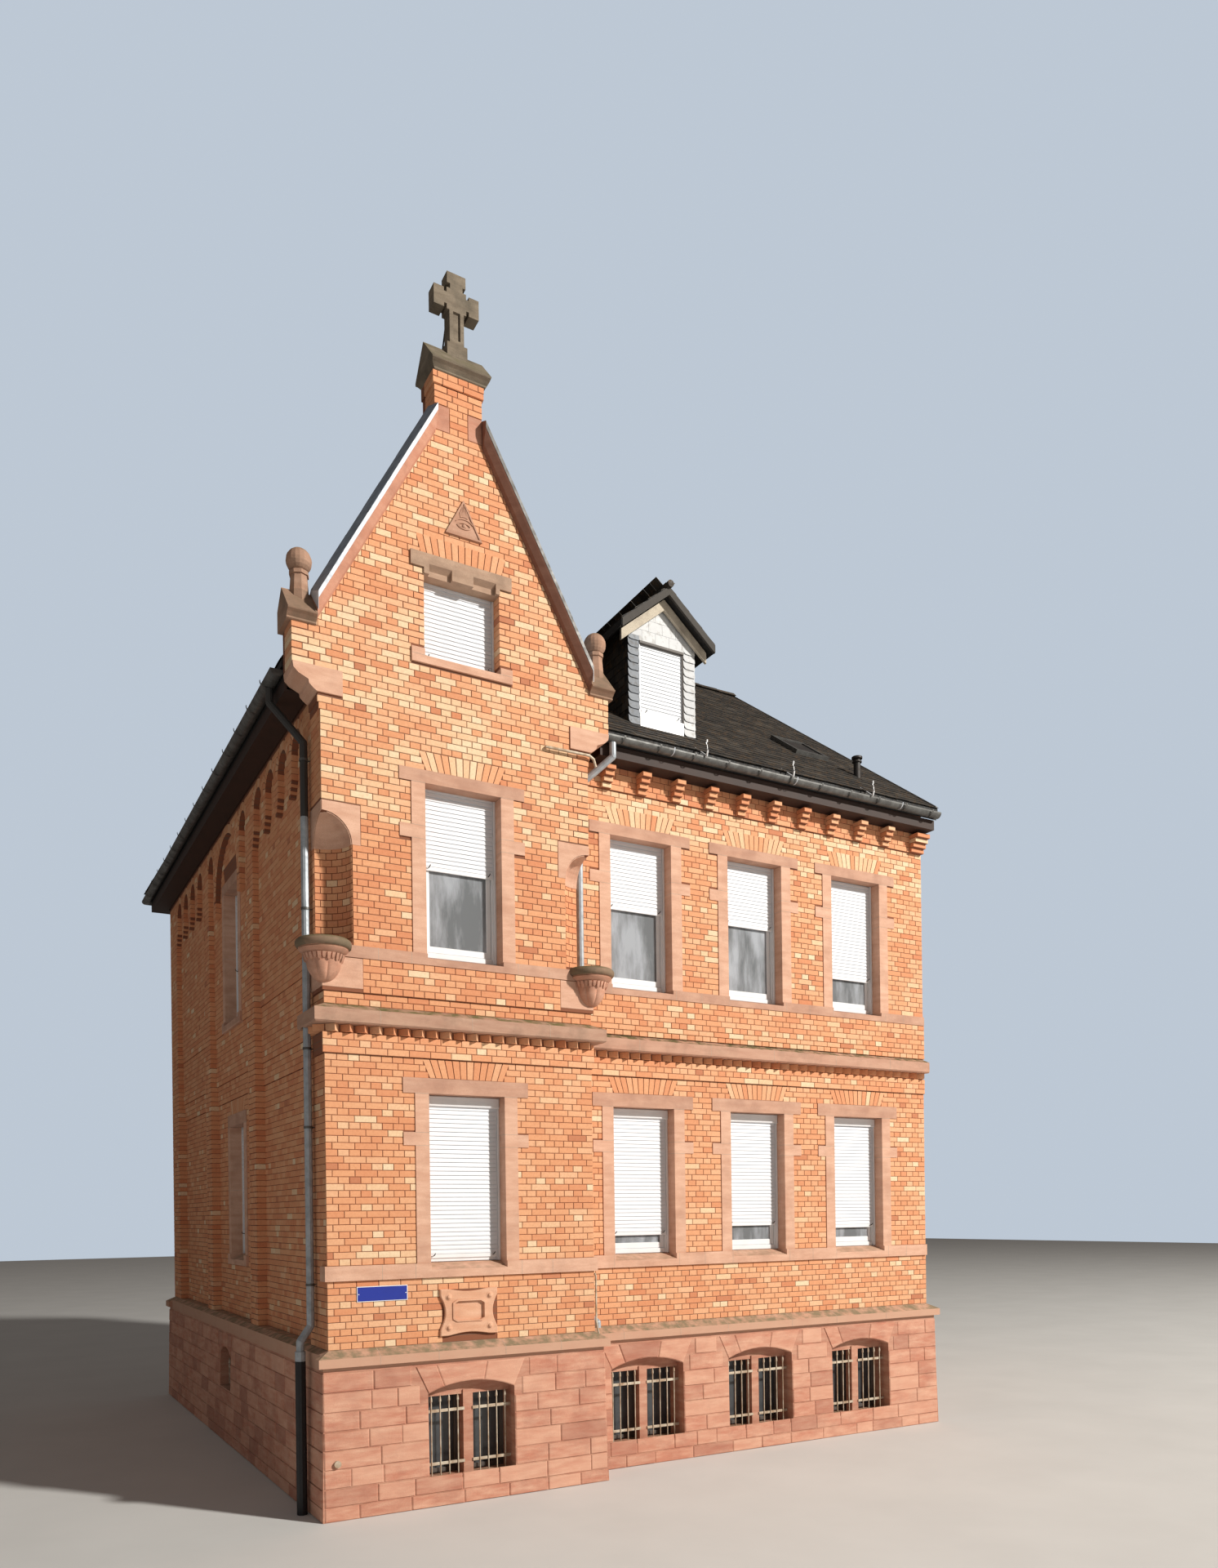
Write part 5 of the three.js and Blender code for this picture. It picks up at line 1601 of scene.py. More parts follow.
    def rake(self) -> None:
        """Cuts the bricks under the gable's copings to the slope."""
        layer = self.bay_front()
        maker = MeshMaker("rake_bricks")
        zone = layer.zones[-1]
        height = (zone.top - zone.bed) / round((zone.top - zone.bed) / COURSE)
        widest, narrowest = 1.74, 0.30
        lowest = math.ceil((KNEELER_TOP - 0.01 - zone.bed) / height)
        for index in range(lowest, round((zone.top - zone.bed) / height)):
            low = zone.bed + index * height
            outer, inner = min(widest, self.rake_half(low)), self.rake_half(low + height)
            if outer < narrowest or inner > widest:
                continue
            inner = max(inner, 0.0)
            tip = min(low + height, GABLE_APEX - RAKE * inner) - JOINT
            for sign in (-1.0, 1.0):
                foot, head = BAY_AXIS + sign * (inner + 0.005), BAY_AXIS + sign * outer
                if abs(head - foot) > 0.01:
                    shape = [(foot, low + 0.005), (head, low + 0.005), (foot, tip + 0.004)]
                    maker.prism(layer.plane, shape, -0.01, PROUD, layer.tone(low))
        maker.place(self.palette.brick, "brick")

    def arches(self) -> None:
        """Sets the flat arches of upright bricks over the windows."""
        maker = MeshMaker("flat_arches")
        rng = random.Random(21)
        plain = (0.47, 0.40, 0.0)
        rows = ((BAY_WALL, (BAY_AXIS,)), (MAIN_WALL, MAIN_AXES),
                (BACK_WALL, [FRONT - axis for axis in BACK_AXES]), (RIGHT_WALL, RIGHT_AXES))
        places = [(plane, axis, storey.top, *plain)
                  for plane, axes in rows for storey in (GROUND, UPPER) for axis in axes]
        places += [(LEFT_WALL, LEFT_AXIS, GROUND.top, 0.47, 0.40, -0.13),
                   (BAY_WALL, ATTIC_AXIS, ATTIC.top, 0.52, 0.25, 0.0)]
        for plane, axis, low, half, lean, out in places:
            count = round(2.0 * half / 0.078)
            spread = 1.0 + lean * ARCH_HIGH / half
            pale = plane.side is Side.FRONT and low == UPPER.top
            for i in range(count):
                left = -half + 2.0 * half * i / count + 0.005
                right = -half + 2.0 * half * (i + 1) / count - 0.005
                outline = [(axis + left, low + 0.005), (axis + right, low + 0.005),
                           (axis + right * spread, low + ARCH_HIGH - 0.006),
                           (axis + left * spread, low + ARCH_HIGH - 0.006)]
                straw = rng.random() < (0.55 if pale else 0.08)
                tone = rng.uniform(0.66, 0.92) if straw else rng.uniform(0.22, 0.56)
                maker.prism(plane, outline, out - 0.01, out + PROUD + rng.uniform(0.0, 0.002), tone)
        maker.place(self.palette.brick, "brick")

    def teeth(self) -> None:
        """Sets the row of diagonal bricks under the string course."""
        maker = MeshMaker("sawtooth_course")
        rng = random.Random(22)
        rows = ((BAY_WALL, 0.0, BAY, 20), (BAY_FLANK, 0.05, STEP_BACK - 0.02, 3),
                (MAIN_WALL, BAY + 0.03, FRONT, 37), (LEFT_WALL, 0.0, 0.70, 4))
        for plane, start, end, count in rows:
            step = (end - start) / count
            for i in range(count):
                u = start + i * step
                outline = [(u + 0.004, -0.01), (u + step / 2.0, self.tooth), (u + step - 0.004, -0.01)]
                maker.loft([[plane.point(p, z, out) for p, out in outline]
                            for z in (TOOTH_BED + 0.006, STRING_BED - 0.004)], rng.uniform(0.15, 0.66))
        maker.place(self.palette.brick, "brick")

    def brackets(self) -> None:
        """Sets the stepped bricks of the eave brackets, one to a step."""
        maker = MeshMaker("bracket_bricks")
        rng = random.Random(23)
        last = FRONT - 2.0 * HEADER
        rows = [(MAIN_WALL, 3.87 + 0.556 * i, HEADER) for i in range(10)] + [(MAIN_WALL, last, 2.0 * HEADER)]
        rows += [(BACK_WALL, last - 0.6 * i - HEADER, HEADER) for i in range(16)]
        for plane, start, width in rows:
            for step in range(4):
                low = EAVE_BED + 0.0675 * step
                out = BELT_OUT + 0.045 * (step + 1) + PROUD
                tone = rng.uniform(0.14, 0.56) if rng.random() < 0.85 else rng.uniform(0.66, 0.9)
                rect = (start - 0.004, start + width + 0.004, low + 0.004, low + 0.0635)
                maker.block(plane, rect, 0.02, out, tone, 0.003)
        maker.place(self.palette.brick, "brick")

    def rings(self) -> None:
        """Sets the wedge bricks round the left side's arches."""
        maker = MeshMaker("arch_bricks")
        rng = random.Random(24)
        for middle, spring, radius in ARCHES:
            count = round(math.pi * (radius + 0.055) / COURSE)
            outer = self.ring_outside(radius)
            slack = 0.005 / radius
            for i in range(count):
                a, b = math.pi * i / count, math.pi * (i + 1) / count
                centre = (a + b) / 2.0
                outline = []
                for r, angles in ((radius + 0.001, (a + slack, centre, b - slack)),
                                  (outer, (b - slack * 0.8, centre, a + slack * 0.8))):
                    outline += [(middle + r * math.cos(x), spring + r * math.sin(x)) for x in angles]
                maker.prism(LEFT_WALL, outline, -0.075, PROUD, rng.uniform(0.14, 0.66))
        maker.place(self.palette.brick, "brick")

    def build(self) -> None:
        """Makes every brick piece."""
        for repeater, name, wall in (
                (self.near, "bay_bricks", self.bay_front), (self.near, "bay_side_bricks", self.bay_side),
                (self.near, "main_bricks", self.main_front), (self.near, "left_bricks", self.left),
                (self.far, "back_bricks", self.back), (self.far, "right_bricks", self.right)):
            repeater.spread(name, wall().spots(), self.palette.brick, "brick")
        self.rake()
        self.arches()
        self.teeth()
        self.brackets()
        self.rings()


@dataclass(frozen=True)
class Window:
    """One window: where it is and how far its shutter is down.

    Attributes:
        plane: its wall plane.
        axis: its middle along the plane.
        sill: top of the sill.
        head: underside of the lintel.
        foot: height of the shutter's lower edge.
        face: how far the wall face stands off the plane.
        width: clear width.
        reveal: depth of the frame behind the wall face.
        boxed: whether a shutter box shows under the lintel.
        curtain: whether a curtain hangs behind the glass.
    """

    plane: Plane
    axis: float
    sill: float
    head: float
    foot: float
    face: float = 0.0
    width: float = OPENING
    reveal: float = REVEAL
    boxed: bool = False
    curtain: bool = True

    @property
    def depth(self) -> float:
        """How far the frame's front stands off the plane."""
        return self.face - self.reveal

    @property
    def top(self) -> float:
        """Where the shutter comes out, under its box or the lintel."""
        return self.head - (0.13 if self.boxed else 0.0)


@dataclass
class Joinery:
    """Window frames, glass, curtains and roller shutters, which stand in for the CAD's closed sheets.

    Attributes:
        palette: the finishes.
        slat: height of one slat.
        folds: how many steps a curtain's wave is drawn in.
        rng: random numbers of the curtains.
    """

    palette: Palette
    slat: float = 0.052
    folds: int = 26
    rng: random.Random = field(default_factory=lambda: random.Random(31))

    def __post_init__(self) -> None:
        """Prepares the slat shape."""
        profile = ((0.002, -0.0256), (-0.0115, -0.0242), (-0.0115, -0.0150), (-0.003, 0.0220), (0.002, 0.0256))
        shape = MeshMaker("slat_shape")
        shape.loft([[Vector((x, y, z)) for y, z in profile] for x in (-0.5, 0.5)])
        self.slats = Repeater("shutter_slat", shape.mesh(False), 0.0008, 6)

    @staticmethod
    def frame(maker: MeshMaker, window: Window) -> None:
        """Adds the outer frame, the sash and the shutter's guides, box and foot rail.

        Args:
            maker: mesh it goes into.
            window: the window.
        """
        low, high = window.sill + 0.003, window.head + 0.03
        left, right = window.axis - window.width / 2.0, window.axis + window.width / 2.0
        top, foot = window.top, window.foot
        outer, sash = (-0.068, -0.020, 0.006), (-0.060, -0.028, 0.008)
        guide, lip = (-0.018, 0.012, 0.003), (-0.018, -0.010, 0.002)
        bars = [(left - 0.03, left + 0.055, low, high, *outer),
                (right - 0.055, right + 0.03, low, high, *outer),
                (left + 0.05, right - 0.05, high - 0.09, high, *outer),
                (left + 0.05, right - 0.05, low, low + 0.065, -0.068, -0.014, 0.006),
                (left + 0.058, left + 0.118, low + 0.066, high - 0.092, *sash),
                (right - 0.118, right - 0.058, low + 0.066, high - 0.092, *sash),
                (left + 0.1, right - 0.1, low + 0.066, low + 0.146, *sash),
                (left + 0.1, right - 0.1, high - 0.165, high - 0.092, *sash),
                (left, left + 0.0264, low, top, *guide),
                (left + 0.0264, left + 0.048, low, top, *lip),
                (right - 0.0264, right, low, top, *guide),
                (right - 0.048, right - 0.0264, low, top, *lip)]
        if window.boxed:
            bars.append((left, right, top, window.head - 0.004, -0.018, 0.030, 0.010))
        bars.append((left + 0.045, right - 0.045, foot, foot + 0.05, -0.016, 0.001, 0.004))
        for u0, u1, z0, z1, back, front, chamfer in bars:
            rect, face = (u0, u1, z0, z1), window.depth
            maker.block(window.plane, rect, face + back, face + front, chamfer=chamfer)

    def slat_spots(self, window: Window) -> list[Spot]:
        """Places the slats of one shutter.

        Args:
            window: the window.

        Returns:
            The slats.
        """
        spots = []
        z = window.foot + 0.05 + self.slat / 2.0
        while z < window.top + 0.02:
            place = window.plane.point(window.axis, z, window.depth - 0.008)
            turn = (0.0, 0.0, window.plane.side.value)
            spots.append(Spot(place, turn, (window.width - 0.075, 1.0, 1.0), 0.5))
            z += self.slat
        return spots

    @staticmethod
    def stops(maker: MeshMaker, window: Window) -> None:
        """Adds the two little stops on the shutter's foot rail.

        Args:
            maker: mesh it goes into.
            window: the window.
        """
        for side in (-1.0, 1.0):
            u = window.axis + side * (window.width / 2.0 - 0.10)
            path = ((u, 0.03, 0.0), (u, 0.035, 0.03), (u + 0.01, 0.06, 0.045))
            maker.rod([window.plane.point(along, window.foot + up, window.depth + out)
                       for along, up, out in path], 0.006, 6)

    @staticmethod
    def pane(maker: MeshMaker, window: Window) -> None:
        """Adds the glass."""
        half = window.width / 2.0 - 0.105
        rect = (window.axis - half, window.axis + half, window.sill + 0.14, window.head - 0.125)
        maker.block(window.plane, rect, window.depth - 0.046, window.depth - 0.042, chamfer=0.0)

    def drape(self, maker: MeshMaker, window: Window) -> None:
        """Adds the folds of a curtain on both sides behind the glass.

        Args:
            maker: mesh it goes into.
            window: the window.
        """
        end = window.width / 2.0 - 0.02
        for side in (-1.0, 1.0):
            start = 0.10 if self.rng.random() < 0.6 else 0.24
            line = []
            for i in range(self.folds + 1):
                share = i / self.folds
                wave = window.depth - 0.11 + 0.016 * math.sin(share * 26.0 + side)
                line.append((window.axis + side * (start + (end - start) * share), wave))
            line += [(u, out - 0.003) for u, out in reversed(line)]
            maker.loft([[window.plane.point(u, z, out) for u, out in line]
                        for z in (window.sill + 0.06, window.head - 0.05)])

    @staticmethod
    def row(plane: Plane, storey: Storey, axes: Sequence[float], feet: Sequence[float],
            **more: object) -> list[Window]:
        """Describes windows of one storey side by side.

        Args:
            plane: their wall plane.
            storey: their heights.
            axes: their middles.
            feet: how far each shutter is down.
            more: other fields that they share.

        Returns:
            The windows.
        """
        return [Window(plane, axis, storey.sill, storey.head, foot, **more) for axis, foot in zip(axes, feet)]

    def groups(self) -> dict[str, tuple[str, list[Window]]]:
        """Gives the windows by group, each group with the CAD node it stands in for.

        Returns:
            The groups by name.
        """
        back = [FRONT - axis for axis in BACK_AXES]
        left = (LEFT_AXIS,)
        dormer = Window(DORMER_WALL, 5.11, 10.29, 11.34, 10.36, width=0.74, reveal=0.02, curtain=False)
        return {
            "bay_ground": ("window_bay_ground", self.row(BAY_WALL, GROUND, (BAY_AXIS,), (2.865,), boxed=True)),
            "bay_upper": ("window_bay_upper", self.row(BAY_WALL, UPPER, (BAY_AXIS,), (7.47,), curtain=False)),
            "bay_attic": ("window_bay_attic", self.row(BAY_WALL, ATTIC, (ATTIC_AXIS,), (9.965,))),
            "main_ground": ("windows_main_ground",
                            self.row(MAIN_WALL, GROUND, MAIN_AXES, (3.07, 3.17, 3.11), boxed=True)),
            "main_upper": ("windows_main_upper", self.row(MAIN_WALL, UPPER, MAIN_AXES, (7.49, 7.50, 6.92))),
            "left_ground": ("window_left_ground", self.row(LEFT_WALL, GROUND, left, (3.10,), face=-0.13)),
            "left_upper": ("window_left_upper", self.row(LEFT_WALL, UPPER, left, (7.20,), face=-0.08)),
            "back_ground": ("windows_back_ground", self.row(BACK_WALL, GROUND, back, (3.1, 3.1, 3.1))),
            "back_upper": ("windows_back_upper", self.row(BACK_WALL, UPPER, back, (7.5, 7.4, 7.0))),
            "right_ground": ("windows_right_ground", self.row(RIGHT_WALL, GROUND, RIGHT_AXES, (3.1, 3.1))),
            "right_upper": ("windows_right_upper", self.row(RIGHT_WALL, UPPER, RIGHT_AXES, (7.5, 7.1))),
            "dormer": ("dormer_window", [dormer]),
        }

    def build(self) -> None:
        """Makes the windows of every side."""
        glass, curtains, stops = MeshMaker("window_glass"), MeshMaker("curtains"), MeshMaker("shutter_stops")
        spots: list[Spot] = []
        for key, (node, windows) in self.groups().items():
            maker = MeshMaker("frames_" + key)
            for window in windows:
                self.frame(maker, window)
                self.pane(glass, window)
                self.stops(stops, window)
                spots += self.slat_spots(window)
                if window.curtain:
                    self.drape(curtains, window)
                if key == "dormer":
                    panel = (window.axis - 0.366, window.axis + 0.366, 10.175, 10.36)
                    maker.block(window.plane, panel, 0.001, 0.012)
            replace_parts(maker.place(self.palette.white, "window_white"), node)
        glass.place(self.palette.glass, "window_white")
        curtains.place(self.palette.cloth, "window_white", 60.0)
        stops.place(self.palette.iron, "window_white")
        self.slats.spread("shutter_slats", spots, self.palette.shutter, "window_white", 40.0)


def roof_height(y: float) -> float:
    """Gives the height of the main front slope at house y."""
    return MAIN_FOOT + MAIN_PITCH * (y - 0.05)


def roof_depth(z: float) -> float:
    """Gives the house y where the main front slope is at height z."""
    return 0.05 + (z - MAIN_FOOT) / MAIN_PITCH


@dataclass(frozen=True)
class RoofPlane:
    """A sloping roof plane laid with slates.

    Attributes:
        corner: a point of the plane where along is 0.
        along: unit vector level along the plane.
        rise: unit vector up the slope.
        foot: height of the lowest row.
        top: height where the rows end.
        reach: gives the level spans of the plane at height z, along the plane.
    """

    corner: Vector
    along: Vector
    rise: Vector
    foot: float
    top: float
    reach: Callable[[float], list[Span]]


@dataclass
class Slating:
    """Slates on the roof, its ridges, hips, valleys and the dormer's cladding.

    Attributes:
        palette: the finishes.
        exposed: height of a row along the slope.
        width: width of a slate.
        least: narrowest slate that is still laid.
        front_start: house y where the front slope's first row lies.
        back_start: the same for the back slope.
        rng: random numbers of the slates.
    """

    palette: Palette
    exposed: float = 0.165
    width: float = 0.235
    least: float = 0.03
    front_start: float = 0.175
    back_start: float = 10.775
    rng: random.Random = field(default_factory=lambda: random.Random(41))

    def __post_init__(self) -> None:
        """Prepares the slate shape."""
        maker = MeshMaker("slate_shape")
        outline = ((-0.5, 0.0), (0.5, 0.0), (0.5, 1.0), (-0.5, 1.0))
        maker.loft([[Vector((x, y, z)) for x, y in outline] for z in (-1.0, 0.0)])
        self.slates = Repeater("slate", maker.mesh(False), 0.008, 7)

    def planes(self) -> list[RoofPlane]:
        """Describes the front, back, left and wing planes.

        Returns:
            The roof planes.
        """
        def wing(z: float) -> float:
            """Gives the wing's half width at height z."""
            return (WING_TOP - z) / RAKE

        def front(z: float) -> list[Span]:
            """Gives the spans of the front slope."""
            start = 3.72
            if z > 9.75:
                start = (BAY_AXIS + wing(z) if z < WING_TOP else (z - WING_FOOT) / RAKE) + 0.02
            if 10.20 < z < 11.35:
                return [(start, 4.555), (5.675, VERGE)]
            return [(start if z >= 9.9 else max(start, 3.78), VERGE)]

        def back(z: float) -> list[Span]:
            """Gives the spans of the back slope."""
            return [(-VERGE, -max((z - 10.18) / RAKE, -0.33))]

        def left(z: float) -> list[Span]:
            """Gives the spans of the left slope."""
            return [(-(10.90 - (z - 9.49) / MAIN_PITCH), -(0.385 if z < WING_TOP else roof_depth(z)))]

        def right(z: float) -> list[Span]:
            """Gives the spans of the wing's right slope."""
            return [(0.385, roof_depth(z))] if roof_depth(z) > 0.45 else []

        low = roof_height(self.front_start)
        return [RoofPlane(Vector(corner), Vector(along), Vector(rise).normalized(), foot, top, reach)
                for corner, along, rise, foot, top, reach in (
                    ((0.0, self.front_start, low), (1.0, 0.0, 0.0), (0.0, 1.0, MAIN_PITCH),
                     9.66, 13.54, front),
                    ((0.0, self.back_start, low), (-1.0, 0.0, 0.0), (0.0, -1.0, MAIN_PITCH),
                     9.66, 13.50, back),
                    ((-0.33, 0.0, WING_FOOT - 0.33 * RAKE), (0.0, -1.0, 0.0), (1.0, 0.0, RAKE),
                     9.68, 13.58, left),
                    ((BAY_AXIS + wing(9.95), 0.0, 9.95), (0.0, 1.0, 0.0), (-1.0, 0.0, RAKE),
                     9.95, 13.31, right))]

    def rows(self, plane: RoofPlane) -> list[Spot]:
        """Places the slates of one plane row by row.

        Args:
            plane: the roof plane.

        Returns:
            Its slates.
        """
        normal = plane.along.cross(plane.rise)
        lean = math.atan2(0.010, self.exposed)
        turned = Matrix((plane.along, plane.rise, normal)).transposed() @ Matrix.Rotation(-lean, 3, "X")
        euler = tuple(turned.to_euler())
        step = self.exposed * plane.rise.z
        spots = []
        for row in range(math.floor((plane.top - plane.foot) / step) + 1):
            z = plane.foot + row * step
            base = plane.corner + plane.rise * ((z - plane.corner.z) / plane.rise.z)
            above = plane.reach(z + 0.20)
            for start, end in plane.reach(z + 0.05):
                edges = self.edges(start, end, row)
                for a, b in zip(edges, edges[1:]):
                    if b - a < self.least:
                        continue
                    whole = any(low <= a + 0.01 and b - 0.01 <= high for low, high in above)
                    length = min(0.30 if whole else self.exposed, (plane.top + 0.05 - z) / plane.rise.z + 0.02)
                    place = base + plane.along * ((a + b) / 2.0)
                    place += normal * (0.016 + self.rng.uniform(0.0, 0.003))
                    place -= plane.rise * self.rng.uniform(0.0, 0.010)
                    size = (b - a - 0.005, length, 0.007)
                    spots.append(Spot(place - ORIGIN, euler, size, self.rng.random() ** 2))
        return spots

    def edges(self, start: float, end: float, row: int) -> list[float]:
        """Gives the upright edges of one numbered row between start and end, a little uneven.

        Args:
            start: where the row begins.
            end: where it ends.
            row: its number, from below.

        Returns:
            Places along the plane.
        """
        edges = [start]
        u = math.ceil(start / self.width) * self.width + (0.5 * self.width if row % 2 else 0.0)
        while u < end - 0.06:
            if u > start + 0.06:
                edges.append(u + self.rng.uniform(-0.012, 0.012))
            u += self.width
        return [*edges, end]

    def ridge(self, maker: MeshMaker, start: Vector, end: Vector) -> None:
        """Lays the caps of one ridge or hip.

        Args:
            maker: mesh they go into.
            start: where the line begins, in house coordinates.
            end: where it ends.
        """
        run = end - start
        across = run.cross(Vector((0.0, 0.0, 1.0))).normalized() * 0.13
        count = max(1, round(run.length / 0.42))
        for i in range(count):
            rings = []
            for share, lap in ((i / count, 0.008), ((i + 0.97) / count, 0.0016)):
                profile = ((1.0, lap - 0.045), (0.35, lap + 0.036), (0.0, lap + 0.045),
                           (-0.35, lap + 0.036), (-1.0, lap - 0.045), (0.0, -0.027))
                point = start + run * share
                rings.append([at(*(point + across * side + Vector((0.0, 0.0, up)))) for side, up in profile])
            maker.loft(rings, self.rng.random() ** 2)

    def trims(self) -> None:
        """Adds ridge and hip caps, valley strips and verge boards."""
        caps, metal = MeshMaker("ridge_caps"), MeshMaker("valley_strips")
        top = roof_height(RIDGE_Y)
        corner, joint = Vector((1.856, RIDGE_Y, top)), Vector((BAY_AXIS, 5.10, WING_TOP))
        for start, end in ((Vector((VERGE, RIDGE_Y, top)), corner), (corner, Vector((-0.33, 10.76, 9.68))),
                           (Vector((BAY_AXIS, 0.39, WING_TOP)), joint), (joint, corner)):
            self.ridge(caps, start, end)
        caps.place(self.palette.slate, "slate", 30.0)
        low, high = Vector((3.78, 0.385, roof_height(0.30) + 0.05)), Vector((BAY_AXIS + 0.03, 5.07, 13.30))
        for side in (Vector((0.10, 0.0, 0.0)), Vector((0.0, 0.16, 0.11))):
            shape = (Vector((0.0, 0.0, 0.012)), side + Vector((0.0, 0.0, 0.030)), side, Vector((0.0, 0.0, 0.0)))
            metal.loft([[at(*(point + step)) for step in shape] for point in (low, high)])
        verge = ((0.0, 0.028), (0.035, 0.028), (0.035, -0.10), (0.025, -0.10), (0.025, 0.010), (0.0, 0.010))
        for start in (self.front_start, self.back_start):
            ends = ((start, roof_height(self.front_start)), (RIDGE_Y, top))
            metal.loft([[at(9.765 + out, y, z + up) for out, up in verge] for y, z in ends])
        metal.place(self.palette.zinc, "zinc")

    def cladding(self) -> None:
        """Clads the dormer's face: rounded slates on both sides of the window, large ones above it. The left
        column takes a darker slate as painted shade.
        """
        maker, shaded = MeshMaker("dormer_cladding"), MeshMaker("dormer_cladding_shaded")
        for start, end, column in ((4.556, 4.738, shaded), (5.482, 5.674, maker)):
            for row in range(12):
                self.scale(column, start, end, 10.185 + 0.107 * row)
        for row in range(5):
            self.large_row(maker, row)
        maker.place(self.palette.pale_slate, "slate")
        shaded.place(self.palette.painted_shade_slate, "slate")
        casing_and_shadow = MeshMaker("dormer_casing")
        # The dark strip over the shutter is its box with painted shadow; the thin dark strip on its right is
        # painted shadow of the reveal.
        for rect, back, front in (((4.738, 5.482, 11.335, 11.372), -0.03, 0.024),
                                  ((5.462, 5.481, 10.29, 11.335), -0.03, 0.010),
                                  ((4.60, 5.63, 10.150, 10.172), 0.0, 0.034)):
            casing_and_shadow.block(DORMER_WALL, rect, back, front)
        casing_and_shadow.place(self.palette.dark_frame, "slate")

    def scale(self, maker: MeshMaker, start: float, end: float, z: float) -> None:
        """Adds one slate with a rounded corner to the dormer's face.

        Args:
            maker: mesh it goes into.
            start: its left edge.
            end: its right edge.
            z: its foot.
        """
        turns = [math.pi / 2.0 * k / 6.0 for k in range(7)]
        curve = [(start + 0.055 * (1.0 - math.cos(a)), z + 0.055 * (1.0 - math.sin(a))) for a in turns]
        outline = [(end, z + 0.125), (start, z + 0.125), *curve, (end - 0.012, z), (end, z + 0.010)]
        maker.loft([[DORMER_WALL.point(u, v, 0.022 - 0.14 * (v - z) - step) for u, v in outline]
                    for step in (0.008, 0.0)], self.rng.uniform(0.3, 1.0))

    def large_row(self, maker: MeshMaker, row: int) -> None:
        """Adds one numbered row of large slates to the dormer's gable.

        Args:
            maker: mesh they go into.
            row: its number, from below.
        """
        apex, pitch, axis = DORMER_APEX - 0.112, DORMER_PITCH, DORMER_AXIS
        wide, high, half = 0.225, 0.155, 0.555
        low = 11.375 + high * row
        reach = (apex - low) / pitch
        u = axis - half - (0.11 if row % 2 else 0.0)
        while u < axis + half:
            start = max(u, axis - half, axis - reach) + 0.002
            end = min(u + wide, axis + half, axis + reach) - 0.002
            u += wide
            if end - start < 0.02:
                continue
            bends = (axis, axis - (reach - 0.177), axis + (reach - 0.177))
            places = sorted({start, end, *(q for q in bends if start < q < end)})
            top = [(q, min(low + high, apex - pitch * abs(q - axis)) - 0.003) for q in reversed(places)]
            outline = [(start, low), (end, low), *top]
            maker.loft([[DORMER_WALL.point(q, v, out + 0.010 * (low + high - v)) for q, v in outline]
                        for out in (0.002, 0.011)], self.rng.uniform(0.5, 1.0))

    def cheeks(self) -> list[Spot]:
        """Places the slates of the dormer's two sides.

        Returns:
            The slates.
        """
        spots = []
        for side, x in ((Side.LEFT, 4.56), (Side.RIGHT, 5.67)):
            turned = Matrix.Rotation(side.value, 3, "Z") @ Matrix.Rotation(math.radians(86.0), 3, "X")
            turn = tuple(turned.to_euler())
            for row in range(12):
                z = 10.15 + row * 0.12
                y = 0.885 + (0.08 if row % 2 else 0.0)
                while y < roof_depth(z + 0.06):
                    place = Plane(side, x).point(y + 0.08, z, 0.012)
                    spots.append(Spot(place, turn, (0.155, 0.20, 0.006), self.rng.random() ** 2))
                    y += 0.16
        return spots

    def dormer_rows(self) -> list[Spot]:
        """Places the slates of the dormer's little roof.

        Returns:
            The slates.
        """
        spots = []
        slope = math.atan(DORMER_PITCH)
        for sign in (-1.0, 1.0):
            along = Vector((0.0, sign, 0.0))
            rise = Vector((-sign * math.cos(slope), 0.0, math.sin(slope)))
            normal = along.cross(rise)
            turned = Matrix((along, rise, normal)).transposed() @ Matrix.Rotation(-0.06, 3, "X")
            for row in range(8):
                out = DORMER_HALF - 0.01 - row * 0.14 * math.cos(slope)
                z = DORMER_APEX - DORMER_PITCH * out
                for i in range(22):
                    y = 0.66 + i * 0.17 + (0.085 if row % 2 else 0.0)
                    if z >= roof_height(y) - 0.05:
                        place = at(DORMER_AXIS + sign * out, y + 0.08, z) + normal * 0.014
                        spots.append(Spot(place, tuple(turned.to_euler()), (0.165, 0.22, 0.007),
                                          self.rng.random() ** 2))
        return spots

    def dormer(self) -> None:
        """Clads the dormer, lays its little roof and sets its bargeboards."""
        self.cladding()
        self.slates.spread("dormer_slates", self.cheeks() + self.dormer_rows(), self.palette.slate, "slate")
        outer, inner = MeshMaker("bargeboards"), MeshMaker("inner_bargeboards")
        face = Plane(Side.FRONT, 0.65)
        for sign in (-1.0, 1.0):
            for maker, top, half, high, back, front in (
                    (outer, -0.012, DORMER_HALF - 0.01, 0.115, -0.03, 0.008),
                    (inner, -0.13, DORMER_HALF - 0.07, 0.150, -0.17, -0.13)):
                out, apex = DORMER_AXIS + sign * half, DORMER_APEX + top
                foot = apex - DORMER_PITCH * half
                outline = [(DORMER_AXIS, apex), (out, foot), (out, foot - high), (DORMER_AXIS, apex - high)]
                maker.prism(face, outline, back, front)
        outer.place(self.palette.old_board, "slate")
        inner.place(self.palette.silver_board, "slate")
        cap = MeshMaker("dormer_ridge")
        cap.rod([at(DORMER_AXIS, y, DORMER_APEX + 0.012) for y in (0.60, 3.45)], 0.050, 10)
        cap.place(self.palette.slate, "slate", 40.0)

    def build(self) -> None:
        """Lays the whole roof."""
        spots = [spot for plane in self.planes() for spot in self.rows(plane)]
        self.slates.spread("roof_slates", spots, self.palette.slate, "slate")
        self.trims()
        self.dormer()


